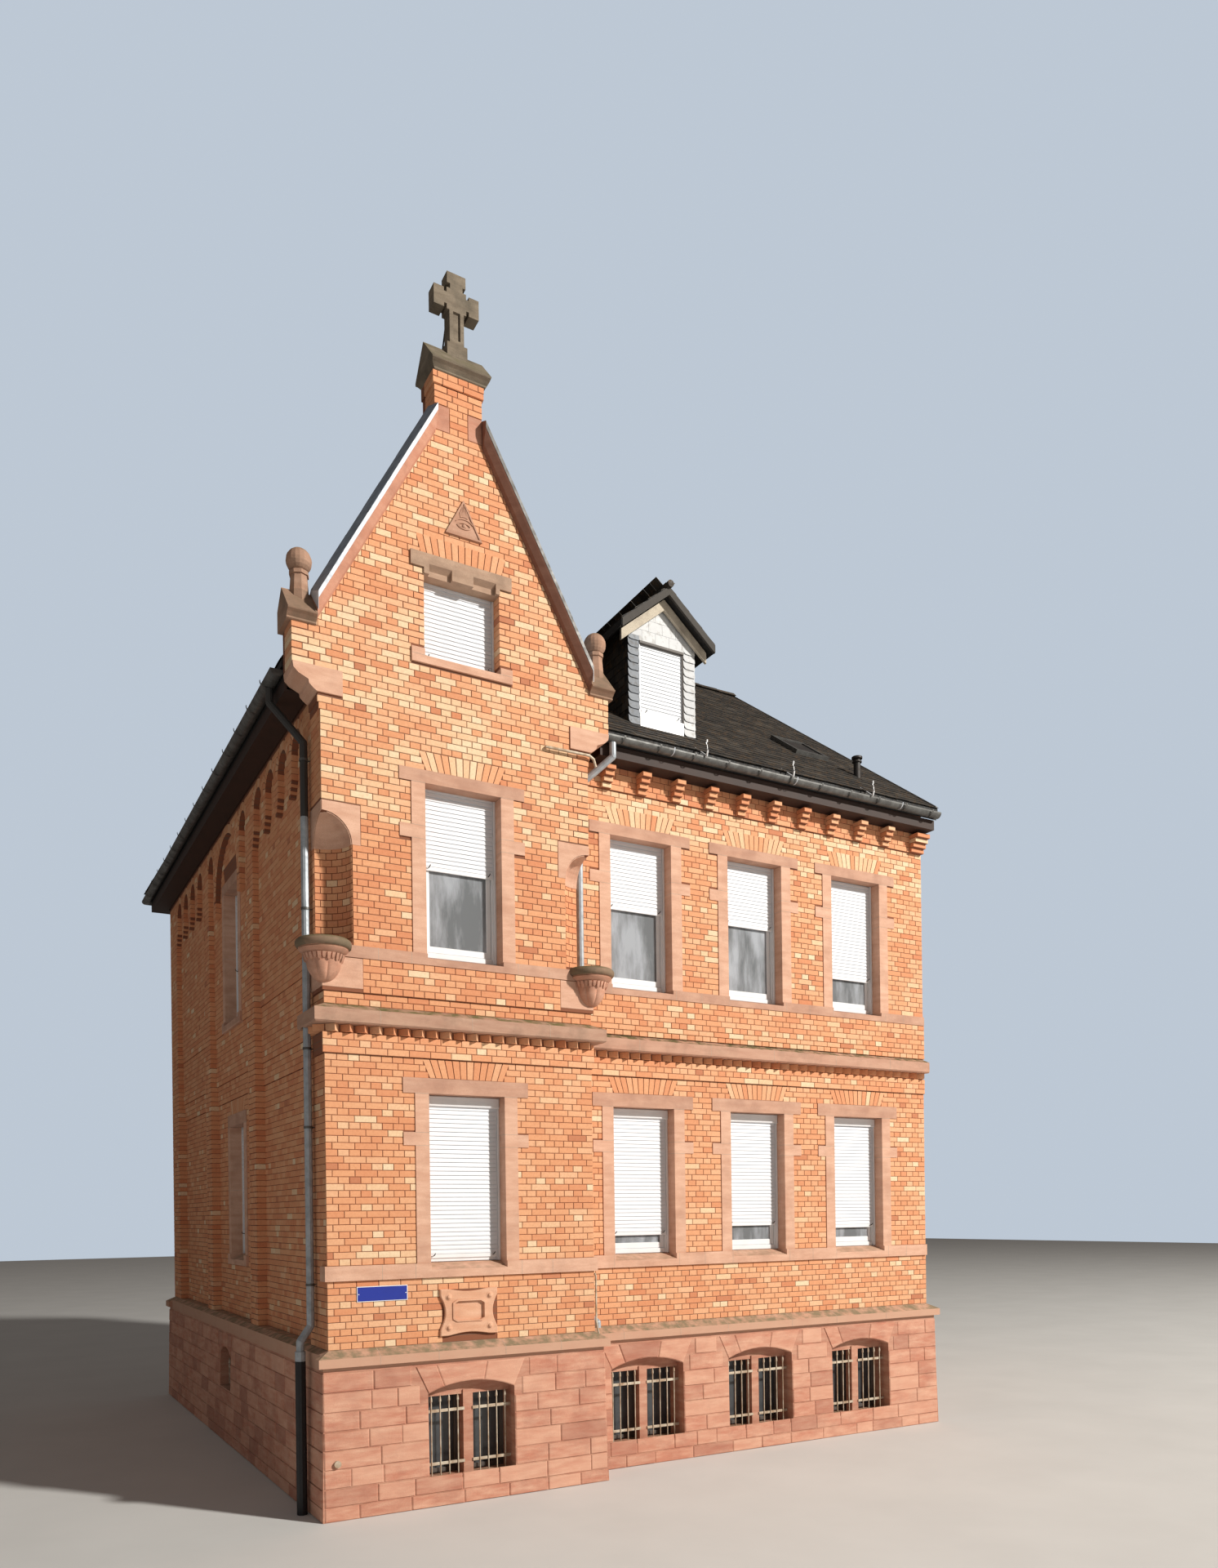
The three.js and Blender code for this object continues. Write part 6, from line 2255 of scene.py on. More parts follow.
@dataclass
class Ashlar:
    """Squared stones, arch stones and grilles of the plinth.

    Attributes:
        palette: the finishes.
        joint: half the width of a joint.
        spring: height where the arches over the cellar windows begin.
        rise: how much they rise.
        rng: random numbers of the stones.
    """

    COURSES = (0.0, 0.16, 0.36, 0.57, 0.78, 0.99, 1.20, 1.42, 1.64)

    palette: Palette
    joint: float = 0.006
    spring: float = 1.31
    rise: float = 0.115
    rng: random.Random = field(default_factory=lambda: random.Random(51))

    @staticmethod
    def batter(z: float) -> float:
        """Gives how far the plinth stands off the wall plane at height z."""
        return 0.12 - 0.035 * z / 1.69

    def stone(self, maker: MeshMaker, plane: Plane, outline: Sequence[Span], tone: float) -> None:
        """Adds one stone, slightly pillowed, on the battered face.

        Args:
            maker: mesh it goes into.
            plane: the wall plane.
            outline: its points as (u, z).
            tone: its tone.
        """
        cu = sum(u for u, _ in outline) / len(outline)
        cz = sum(z for _, z in outline) / len(outline)
        proud = 0.007 + self.rng.uniform(0.0, 0.006)
        rings = []
        for inset, out in ((0.0, -0.01), (0.0, proud * 0.4), (0.012, proud)):
            ring = []
            for u, z in outline:
                share = inset / math.hypot(cu - u, cz - z)
                ring.append(plane.point(u + (cu - u) * share, z + (cz - z) * share, self.batter(z) + out))
            rings.append(ring)
        maker.loft(rings, tone)

    def wall(self, maker: MeshMaker, plane: Plane, start: float, end: float,
             windows: Sequence[tuple[float, float, float]]) -> None:
        """Lays the stones of one plinth side.

        Args:
            maker: mesh the stones go into.
            plane: the wall plane.
            start: where the side begins.
            end: where it ends.
            windows: (axis, clear width, sill) of its cellar windows.
        """
        for low, high in zip(self.COURSES, self.COURSES[1:]):
            middle = (low + high) / 2.0
            runs = [Run(start, end)]
            for axis, width, sill in windows:
                if middle >= sill - 0.02:
                    half = width / 2.0 + (0.0 if middle < 1.20 else (0.10 if middle < 1.42 else 0.20))
                    runs = without(runs, axis - half, axis + half)
            for run in runs:
                u = run.start
                while u < run.end - 0.02:
                    length = self.rng.uniform(0.30, 0.68)
                    if run.end - u - length < 0.22:
                        length = run.end - u
                    left, right = u + self.joint, u + length - self.joint
                    foot, head = low + self.joint, high - self.joint
                    outline = [(left, foot), (right, foot), (right, head), (left, head)]
                    self.stone(maker, plane, outline, self.rng.random())
                    u += length
        for axis, width, _ in windows:
            self.arch(maker, plane, axis, width)

    def arch(self, maker: MeshMaker, plane: Plane, axis: float, width: float) -> None:
        """Lays the three arch stones over one cellar window of this middle and clear width.

        Args:
            maker: mesh it goes into.
            plane: the wall plane.
            axis: the window's middle.
            width: its clear width.
        """
        half = width / 2.0
        radius = (half * half + self.rise ** 2) / (2.0 * self.rise)
        centre = self.spring + self.rise - radius
        swing = math.asin(half / radius)
        cuts = (-1.0, -0.35, 0.35, 1.0) if width < 1.0 else (-1.0, -0.62, 0.28, 1.0)
        for a, b in zip(cuts, cuts[1:]):
            turns = [swing * (a + (b - a) * k / 6.0) for k in range(7)]
            turns[0] += self.joint / radius
            turns[-1] -= self.joint / radius
            outline = [(axis + radius * math.sin(x), centre + radius * math.cos(x) + 0.004) for x in turns]
            outline += [(axis + radius * math.sin(x) * 1.27, 1.632) for x in reversed(turns)]
            self.stone(maker, plane, outline, self.rng.random())

    @staticmethod
    def grille(maker: MeshMaker, plane: Plane, axis: float, width: float, sill: float) -> None:
        """Sets the spear-tipped bars before both lights of a cellar window.

        Args:
            maker: mesh they go into.
            plane: the wall plane.
            axis: the window's middle.
            width: its clear width.
            sill: its sill.
        """
        out = -0.02
        count, tip = (4, 1.27) if width > 1.0 else (2, 1.22)
        spear = ((tip - 0.09, 0.0085), (tip - 0.075, 0.016), (tip - 0.04, 0.013), (tip, 0.001))
        for side in (-1.0, 1.0):
            start, end = sorted((axis + side * 0.062, axis + side * width / 2.0))
            for i in range(count):
                u = start + (end - start) * (i + 0.7) / (count + 0.4)
                maker.rod([plane.point(u, sill + 0.02, out), plane.point(u, tip - 0.09, out)], 0.0085, 6)
                maker.loft([[plane.point(u + r * math.cos(a), z, out + r * math.sin(a)) for a in circle(6)]
                            for z, r in spear])
            for z in (sill + 0.16, 1.08):
                rect = (start - 0.01, end + 0.01, z - 0.018, z + 0.018)
                maker.block(plane, rect, out - 0.014, out - 0.004, chamfer=0.002)

    @staticmethod
    def lights(frames: MeshMaker, panes: MeshMaker, plane: Plane, window: tuple[float, float, float]) -> None:
        """Sets the cellar casements behind the grille.

        Args:
            frames: mesh the frames go into.
            panes: mesh the glass goes into.
            plane: the wall plane.
            window: its axis, clear width and sill.
        """
        axis, width, sill = window
        left, right = axis - width / 2.0 - 0.02, axis + width / 2.0 + 0.02
        for start, end in ((left, left + 0.07), (axis - 0.10, axis + 0.10), (right - 0.07, right)):
            frames.block(plane, (start, end, sill - 0.01, 1.45), -0.30, -0.24)
        for low, high in ((sill - 0.01, sill + 0.06), (1.22, 1.45)):
            frames.block(plane, (left, right, low, high), -0.30, -0.245)
        panes.block(plane, (left + 0.03, right - 0.03, sill + 0.03, 1.30), -0.280, -0.274, chamfer=0.0)

    def build(self) -> None:
        """Makes the plinth's stones, grilles and casements."""
        sides = ((BAY_WALL, -0.10, BAY + 0.10, [(1.68, 1.10, 0.30)]),
                 (BAY_FLANK, -0.10, STEP_BACK - 0.13, []),
                 (MAIN_WALL, BAY + 0.13, FRONT + 0.10, [(axis, 1.14, 0.30) for axis in (4.45, 6.355, 8.265)]),
                 (LEFT_WALL, -0.10, DEPTH + 0.10, [(LEFT_AXIS, 0.76, 0.80)]),
                 (BACK_WALL, -0.10, FRONT + 0.10, [(FRONT - axis, 0.90, 0.60) for axis in BACK_AXES]),
                 (RIGHT_WALL, STEP_BACK - 0.10, DEPTH + 0.10, [(axis, 0.90, 0.60) for axis in RIGHT_AXES]))
        stones, bars = MeshMaker("plinth_stones"), MeshMaker("cellar_grilles")
        frames, panes = MeshMaker("cellar_casements"), MeshMaker("cellar_glass")
        for plane, start, end, windows in sides:
            self.wall(stones, plane, start, end, windows)
            for window in windows:
                self.grille(bars, plane, *window)
                self.lights(frames, panes, plane, window)
        stones.place(self.palette.plinth, "plinth_stone")
        bars.place(self.palette.grille, "plinth_stone")
        frames.place(self.palette.dark_frame, "window_white")
        panes.place(self.palette.cellar_pane, "window_white")


@dataclass
class Corners:
    """Curved brickwork, stone heads and bowls of the two niches at the bay's corners.

    Attributes:
        palette: the finishes.
        foot: height of the lowest curved course.
        courses: how many curved courses there are.
        tabs: how many tabs hang from a bowl's collar.
        rng: random numbers of the curved bricks.
    """

    BODY = ((0.004, 5.985, 0.0), (0.050, 5.990, 0.0), (0.085, 6.008, 0.05), (0.120, 6.040, 0.09),
            (0.150, 6.078, 0.10), (0.172, 6.120, 0.10), (0.186, 6.165, 0.09), (0.192, 6.21, 0.07),
            (0.196, 6.245, 0.0))
    RIM = ((0.196, 6.246), (0.212, 6.262), (0.212, 6.286), (0.232, 6.300), (0.262, 6.322), (0.276, 6.340),
           (0.268, 6.352), (0.292, 6.362), (0.308, 6.384), (0.310, 6.418), (0.300, 6.440), (0.280, 6.456),
           (0.004, 6.469))

    palette: Palette
    foot: float = 6.455
    courses: int = 15
    tabs: int = 26
    rng: random.Random = field(default_factory=lambda: random.Random(61))

    @staticmethod
    def around(side: float, radius: float, angle: float, z: float) -> Vector:
        """Gives a point at this distance and angle about a niche's axis.

        Args:
            side: -1 for the left corner of the bay, 1 for the right one.
            radius: distance from the axis.
            angle: 0 towards the bay's middle along its front, growing backwards.
            z: height.

        Returns:
            The point, in the part's frame.
        """
        axis = 0.0 if side < 0.0 else BAY
        return at(axis - side * radius * math.cos(angle), radius * math.sin(angle), z)

    def bricks(self, maker: MeshMaker, side: float) -> None:
        """Lays one niche's curved header courses.

        Args:
            maker: mesh it goes into.
            side: -1 for the left corner of the bay, 1 for the right one.
        """
        for row in range(self.courses):
            low = self.foot + row * COURSE
            cuts = (0.0, 0.25, 0.5, 0.75, 1.0) if row % 2 else (0.0, 0.125, 0.375, 0.625, 0.875, 1.0)
            for a, b in zip(cuts, cuts[1:]):
                start, end = a * math.pi / 2.0 + 0.014, b * math.pi / 2.0 - 0.014
                turns = [start + (end - start) * k / 3.0 for k in range(4)]
                places = [(NICHE_RADIUS - PROUD, x) for x in turns]
                places += [(NICHE_RADIUS + 0.004, x) for x in reversed(turns)]
                rings = [[self.around(side, radius, angle, z) for radius, angle in places]
                         for z in (low + 0.005, min(low + COURSE - 0.005, NICHE_SPRING))]
                maker.loft(rings, self.rng.uniform(0.12, 0.46) if self.rng.random() < 0.95 else 0.8)

    def head(self, maker: MeshMaker, side: float) -> None:
        """Adds the stone head of one niche: two faces cut to an arch, and the quarter dome.

        Args:
            maker: mesh it goes into.
            side: -1 for the left corner of the bay, 1 for the right one.
        """
        quarter = [math.pi / 2.0 * k / 10.0 for k in range(11)]
        flank, corner = (LEFT_WALL, 0.0) if side < 0.0 else (BAY_FLANK, BAY)
        for plane, start, sign in ((BAY_WALL, corner, -side), (flank, 0.0, 1.0)):
            arc = [(start + sign * NICHE_RADIUS * math.cos(a), NICHE_SPRING + NICHE_RADIUS * math.sin(a))
                   for a in quarter]
            top, edge = NICHE_HEAD - 0.004, start + sign * (BACKING_WIDTH - 0.004)
            maker.prism(plane, [*arc, (start, top), (edge, top), (edge, NICHE_SPRING)], -0.015, 0.009, 0.45)
        places = [(NICHE_RADIUS - 0.012, a) for a in quarter]
        places += [(NICHE_RADIUS + 0.008, a) for a in reversed(quarter)]
        maker.loft([[self.around(side, radius * math.cos(lift), a, NICHE_SPRING + radius * math.sin(lift))
                     for radius, a in places] for lift in (math.pi / 2.0 * k / 9.0 for k in range(9))], 0.4)

    @staticmethod
    def backing(maker: MeshMaker, side: float) -> None:
        """Adds the plain stone behind one bowl, round the corner of the bay.

        Args:
            maker: mesh it goes into.
            side: -1 for the left corner of the bay, 1 for the right one.
        """
        corner, inward = (0.0, 1.0) if side < 0.0 else (BAY, -1.0)
        for reach, y0, y1 in ((BACKING_WIDTH, -0.031, 0.012), (0.012, 0.013, BACKING_WIDTH)):
            x0, x1 = sorted((corner - inward * 0.031, corner + inward * reach))
            maker.box(at(x0, y0, 5.945), at(x1, y1, 6.29), 0.4, 0.005)

    def bowl(self, maker: MeshMaker, side: float) -> None:
        """Adds one bowl: a lobed egg, a collar with hanging tabs, and mouldings up to the rim.

        Args:
            maker: mesh it goes into.
            side: -1 for the left corner of the bay, 1 for the right one.
        """
        def ring(radius: float, z: float, lobe: float = 0.0) -> list[Vector]:
            """Gives one ring of its points."""
            return [self.around(side, radius * (1.0 - lobe * (1.0 - abs(math.sin(4.0 * a))) ** 2), a, z)
                    for a in circle(72)]

        maker.loft([ring(*place) for place in self.BODY], 0.3)
        maker.loft([ring(*place) for place in self.RIM], 0.9)
        for k in range(self.tabs):
            middle, half = math.tau * (k + 0.5) / self.tabs, math.pi / self.tabs * 0.66
            drop = 6.205 if k % 2 else 6.222
            rings = []
            for z, r, share in ((drop, 0.205, 0.5), (drop + 0.016, 0.216, 1.0), (6.285, 0.234, 1.0)):
                corners = ((r, -1.0), (r, 1.0), (0.19, 1.0), (0.19, -1.0))
                rings.append([self.around(side, q, middle + half * share * sign, z) for q, sign in corners])
            maker.loft(rings, 0.5)

    def build(self) -> None:
        """Makes both corners."""
        bricks, heads = MeshMaker("niche_bricks"), MeshMaker("niche_heads")
        for side, name in ((-1.0, "left"), (1.0, "right")):
            self.bricks(bricks, side)
            self.head(heads, side)
            self.backing(heads, side)
            maker = MeshMaker("carved_bowl_" + name)
            self.bowl(maker, side)
            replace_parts(maker.place(self.palette.bowl, "sandstone", 35.0), "bowl_" + name)
        bricks.place(self.palette.brick, "brick")
        heads.place(self.palette.surround, "sandstone")


@dataclass
class Dressings:
    """Joints of the sandstone, surrounds of the rear windows, relief, plaque and sign.

    Attributes:
        palette: the finishes.
        joint: width of a joint.
    """

    palette: Palette
    joint: float = 0.005

    def bed(self, maker: MeshMaker, plane: Plane, span: Sequence[float], z: float, front: float,
            back: float) -> None:
        """Adds one level joint across a stone.

        Args:
            maker: mesh it goes into.
            plane: the wall plane.
            span: where it begins and ends.
            z: its height.
            front: how far the stone's face stands off the plane.
            back: how far the joint's back does.
        """
        half = self.joint / 2.0
        maker.block(plane, (*span, z - half, z + half), back, front + 0.0012, chamfer=0.0005)

    def uprights(self, maker: MeshMaker, profile: Sequence[Span],
                 places: Sequence[tuple[Plane, Sequence[float]]]) -> None:
        """Adds upright joints that follow a moulding.

        Args:
            maker: mesh they go into.
            profile: the moulding's outline as (out, z).
            places: wall planes, each with where its joints are.
        """
        half = self.joint / 2.0
        for plane, middles in places:
            for u in middles:
                maker.loft([[plane.point(p, z, out) for out, z in profile] for p in (u - half, u + half)])

    def surround(self, maker: MeshMaker, plane: Plane, axis: float, storey: Storey,
                 face: Optional[float] = None) -> None:
        """Adds the joints between lintel, ears and jambs of one window.

        Args:
            maker: mesh they go into.
            plane: the wall plane.
            axis: the window's middle.
            storey: its heights.
            face: how far the wall face stands off the plane, for a window without ears.
        """
        half = OPENING / 2.0
        levels = (storey.head, storey.ear, storey.ear - MID_EAR)
        if face is not None:
            levels = (storey.head, (storey.head + storey.sill) / 2.0)
        front, back = (face or 0.0) + STONE_FACE, (face or 0.0) - REVEAL + 0.002
        for side in (-1.0, 1.0):
            span = sorted((axis + side * (half - 0.0012), axis + side * (half + JAMB + 0.0012)))
            for z in levels:
                self.bed(maker, plane, span, z, front, back)

    def joints(self) -> None:
        """Draws every joint of the street side and the left side."""
        maker = MeshMaker("stone_joints")
        out = BAND_FACE + 0.001
        for storey in (GROUND, UPPER):
            for plane, axis in ((BAY_WALL, BAY_AXIS), *((MAIN_WALL, axis) for axis in MAIN_AXES)):
                self.surround(maker, plane, axis, storey)
            low, high = storey.band, storey.sill
            self.uprights(maker, ((0.0, low), (out, low), (out, high + 0.001), (0.0, high + 0.001)),
                          ((BAY_WALL, (0.62, 1.02, 2.38, 2.80)),
                           (MAIN_WALL, (3.98, 5.02, 5.45, 5.93, 6.96, 7.40, 7.86, 8.92, 9.30))))
        for storey, face in ((GROUND, -0.13), (UPPER, -0.08)):
            self.surround(maker, LEFT_WALL, LEFT_AXIS, storey, face)
        self.uprights(maker, ((0.0, 5.529), (0.1325, 5.529), (0.1512, 5.5475), (0.1512, 5.693), (0.0, 5.7612)),
                      ((BAY_WALL, (0.60, 1.72, 2.75)), (MAIN_WALL, (4.35, 5.52, 6.63, 7.80, 8.90)),
                       (BAY_FLANK, (0.22,))))
        self.uprights(maker, ((0.08, 1.695), (0.1515, 1.700), (0.1515, 1.801), (0.0, 1.8815), (-0.01, 1.8815)),
                      ((BAY_WALL, (0.55, 1.25, 2.10, 2.85)), (MAIN_WALL, (4.05, 4.95, 5.75, 6.9, 7.75, 8.75)),
                       (BACK_WALL, (1.1, 2.6, 4.1, 5.6, 7.1, 8.6)),
                       (RIGHT_WALL, (1.6, 3.1, 4.6, 6.1, 7.6, 9.1))))
        for x in (1.16, 2.27):
            self.bed(maker, BAY_WALL, (x - 0.09, x + 0.09), ATTIC.sill + 0.001, 0.03, 0.0)
        maker.place(self.palette.bed, "sandstone")

    def rear(self) -> None:
        """Adds plain stone surrounds to the windows of the back and the right side."""
        maker = MeshMaker("rear_surrounds")
        half, jamb = OPENING / 2.0 + 0.002, OPENING / 2.0 + JAMB
        for plane, axis in REAR_PLACES:
            for storey in (GROUND, UPPER):
                left, right = axis - jamb, axis + jamb
                middle = (storey.head + storey.sill) / 2.0
                maker.block(plane, (left, right, storey.head + 0.002, storey.top - 0.003), -0.006, STONE_FACE)
                maker.block(plane, (left, right, storey.sill - 0.157, storey.sill - 0.003), -0.006, BAND_FACE)
                halves = ((storey.sill + 0.002, middle - 0.003), (middle + 0.003, storey.head - 0.003))
                for span in ((left, axis - half), (axis + half, right)):
                    for low, high in halves:
                        maker.block(plane, (*span, low, high), -0.006, STONE_FACE)
        maker.place(self.palette.surround, "sandstone")

    def relief(self) -> None:
        """Carves the triangle with an open eye and rays on the gable."""
        maker = MeshMaker("gable_relief")
        cx, low, high, half = 1.742, 11.445, 11.885, 0.235
        outline = [(cx - half, low), (cx + half, low), (cx, high)]
        maker.prism(BAY_WALL, outline, -0.005, 0.020, 0.5)
        for first, second in zip(outline, outline[1:] + outline[:1]):
            inner = [(u + (cx - u) * 0.14, z + (low + 0.15 - z) * 0.14) for u, z in (second, first)]
            maker.prism(BAY_WALL, [first, second, *inner], 0.018, 0.032, 0.6)
        self.eye(maker, cx + 0.005, low + 0.135)
        maker.place(self.palette.relief, "cap_stone")

    @staticmethod
    def eye(maker: MeshMaker, cu: float, cz: float) -> None:
        """Carves the eye, its brow and its rays about a middle at u cu and height cz.

        Args:
            maker: mesh it goes into.
            cu: u of its middle.
            cz: height of its middle.
        """
        almond = [(0.092 * math.cos(a), 0.040 * math.sin(a) * abs(math.sin(a)) ** 0.35) for a in circle(28)]
        steps = ((1.0, 1.0, 0.018), (1.0, 1.0, 0.030), (0.78, 0.66, 0.036), (0.78, 0.66, 0.024))
        maker.loft([[BAY_WALL.point(cu + u * wide, cz + z * high, out) for u, z in almond]
                    for wide, high, out in steps], 0.6)
        ball = []
        for lift in (0.0, 0.5, 0.9, 1.3):
            r, out = 0.030 * math.cos(lift), 0.022 + 0.022 * math.sin(lift)
            ball.append([BAY_WALL.point(cu + r * math.cos(a), cz + 0.9 * r * math.sin(a), out)
                         for a in circle(16)])
        maker.loft(ball, 0.4)
        turns = [math.pi * (0.12 + 0.76 * k / 10) for k in range(11)]
        brow = [(cu + 0.115 * math.cos(a), cz + 0.018 + 0.070 * math.sin(a)) for a in turns]
        maker.prism(BAY_WALL, brow + [(u, z - 0.012) for u, z in reversed(brow)], 0.016, 0.030, 0.6)
        for k in range(9):
            angle = math.radians(66.0 + 6.0 * k)
            near, far = 0.105, 0.225 + 0.035 * (1.0 - abs(k - 4) / 4.0)
            foot, low = cu + near * math.cos(angle), cz + near * math.sin(angle)
            tip, high = cu + far * math.cos(angle) * 0.75, cz + far * math.sin(angle)
            ray = [(foot - 0.006, low), (foot + 0.006, low), (tip + 0.003, high), (tip - 0.003, high)]
            maker.prism(BAY_WALL, ray, 0.018, 0.027, 0.7)

    def springers(self) -> None:
        """Sets the two stones beside the gable's pedestal and the plates on the copings' lower ends."""
        maker, plates = MeshMaker("gable_springers"), MeshMaker("coping_end_plates")
        stay = MeshMaker("cross_stay")
        outline = ((-0.125, 10.075), (-0.125, 10.280), (0.190, 10.440), (0.190, 10.395))
        for side in (-1.0, 1.0):
            start, end = sorted((BAY_AXIS + side * 0.119, BAY_AXIS + side * 0.299))
            maker.block(BAY_WALL, (start, end, SPRINGER[0] + 0.005, SPRINGER[1] - 0.005), -0.004, 0.0065)
            x = BAY_AXIS + side * 1.7398
            plates.loft([[at(x + side * step, y, z) for y, z in outline] for step in (0.0, 0.0022)])
        path = ((1.715, 0.30, 14.33), (1.700, 0.34, 14.27), (1.655, 0.36, 13.90), (1.630, 0.38, 13.58))
        stay.rod([at(*point) for point in path], 0.010)
        maker.place(self.palette.coping, "sandstone")
        plates.place(self.palette.pale_zinc, "zinc")
        stay.place(self.palette.iron, "zinc")

    def plaque(self) -> None:
        """Sets the carved plaque on the bay: hollowed edges, a boss in each corner, a sunk bare panel."""
        maker = MeshMaker("plaque_stone")
        cx, cz, half, high = 1.680, 2.232, 0.365, 0.275
        outer, panel = [], []
        for a in circle(96):
            c, s = math.cos(a), math.sin(a)
            square = 1.0 / max(abs(c), abs(s))
            u, z = c * square, s * square
            if abs(u) >= abs(z):
                u *= 1.0 - 0.17 * math.cos(math.pi / 2.0 * min(1.0, abs(z) / 0.72))
            else:
                z *= 1.0 - 0.12 * math.cos(math.pi / 2.0 * min(1.0, abs(u) / 0.72))
            outer.append((u, z))
            cut = min(square, 1.75 / (abs(c) + abs(s)))
            panel.append((c * cut * 0.52, s * cut * 0.42 + 0.05))
        steps = ((outer, 1.0, 0.002), (outer, 1.0, 0.036), (outer, 0.97, 0.044), (panel, 1.14, 0.044),
                 (panel, 1.12, 0.058), (panel, 1.0, 0.058), (panel, 0.97, 0.018))
        maker.loft([[BAY_WALL.point(cx + u * half * size, cz + z * high * size, out) for u, z in line]
                    for line, size, out in steps], 0.6)
        for sx in (-1.0, 1.0):
            for sz in (-1.0, 1.0):
                for low, top, radius in ((0.043, 0.052, 0.048), (0.050, 0.072, 0.028)):
                    rings = []
                    for lift in (0.0, 0.45, 0.9, 1.35):
                        r, out = radius * math.cos(lift), low + (top - low) * math.sin(lift)
                        rings.append([BAY_WALL.point(cx + sx * 0.72 * half + r * math.cos(a),
                                                     cz + sz * 0.66 * high + r * math.sin(a), out)
                                      for a in circle(16)])
                    maker.loft(rings, 0.5)
        maker.place(self.palette.plaque, "sandstone", 30.0)

    def sign(self) -> None:
        """Hangs the bare enamel plate with its white border."""
        rim, plate = MeshMaker("sign_border"), MeshMaker("sign_field")
        x0, x1, z0, z1 = 0.325, 0.925, 2.405, 2.58
        rim.block(BAY_WALL, (x0, x1, z0, z1), 0.012, 0.0165, chamfer=0.002)
        plate.block(BAY_WALL, (x0 + 0.008, x1 - 0.008, z0 + 0.008, z1 - 0.008), 0.0160, 0.0175, chamfer=0.0005)
        for u in (x0 + 0.022, x1 - 0.022):
            rim.rod([BAY_WALL.point(u, (z0 + z1) / 2.0, out) for out in (0.0, 0.020)], 0.006)
        rim.place(self.palette.white, "zinc")
        plate.place(self.palette.enamel, "zinc")

    def build(self) -> None:
        """Makes all of it."""
        self.joints()
        self.rear()
        self.relief()
        self.springers()
        self.plaque()
        self.sign()


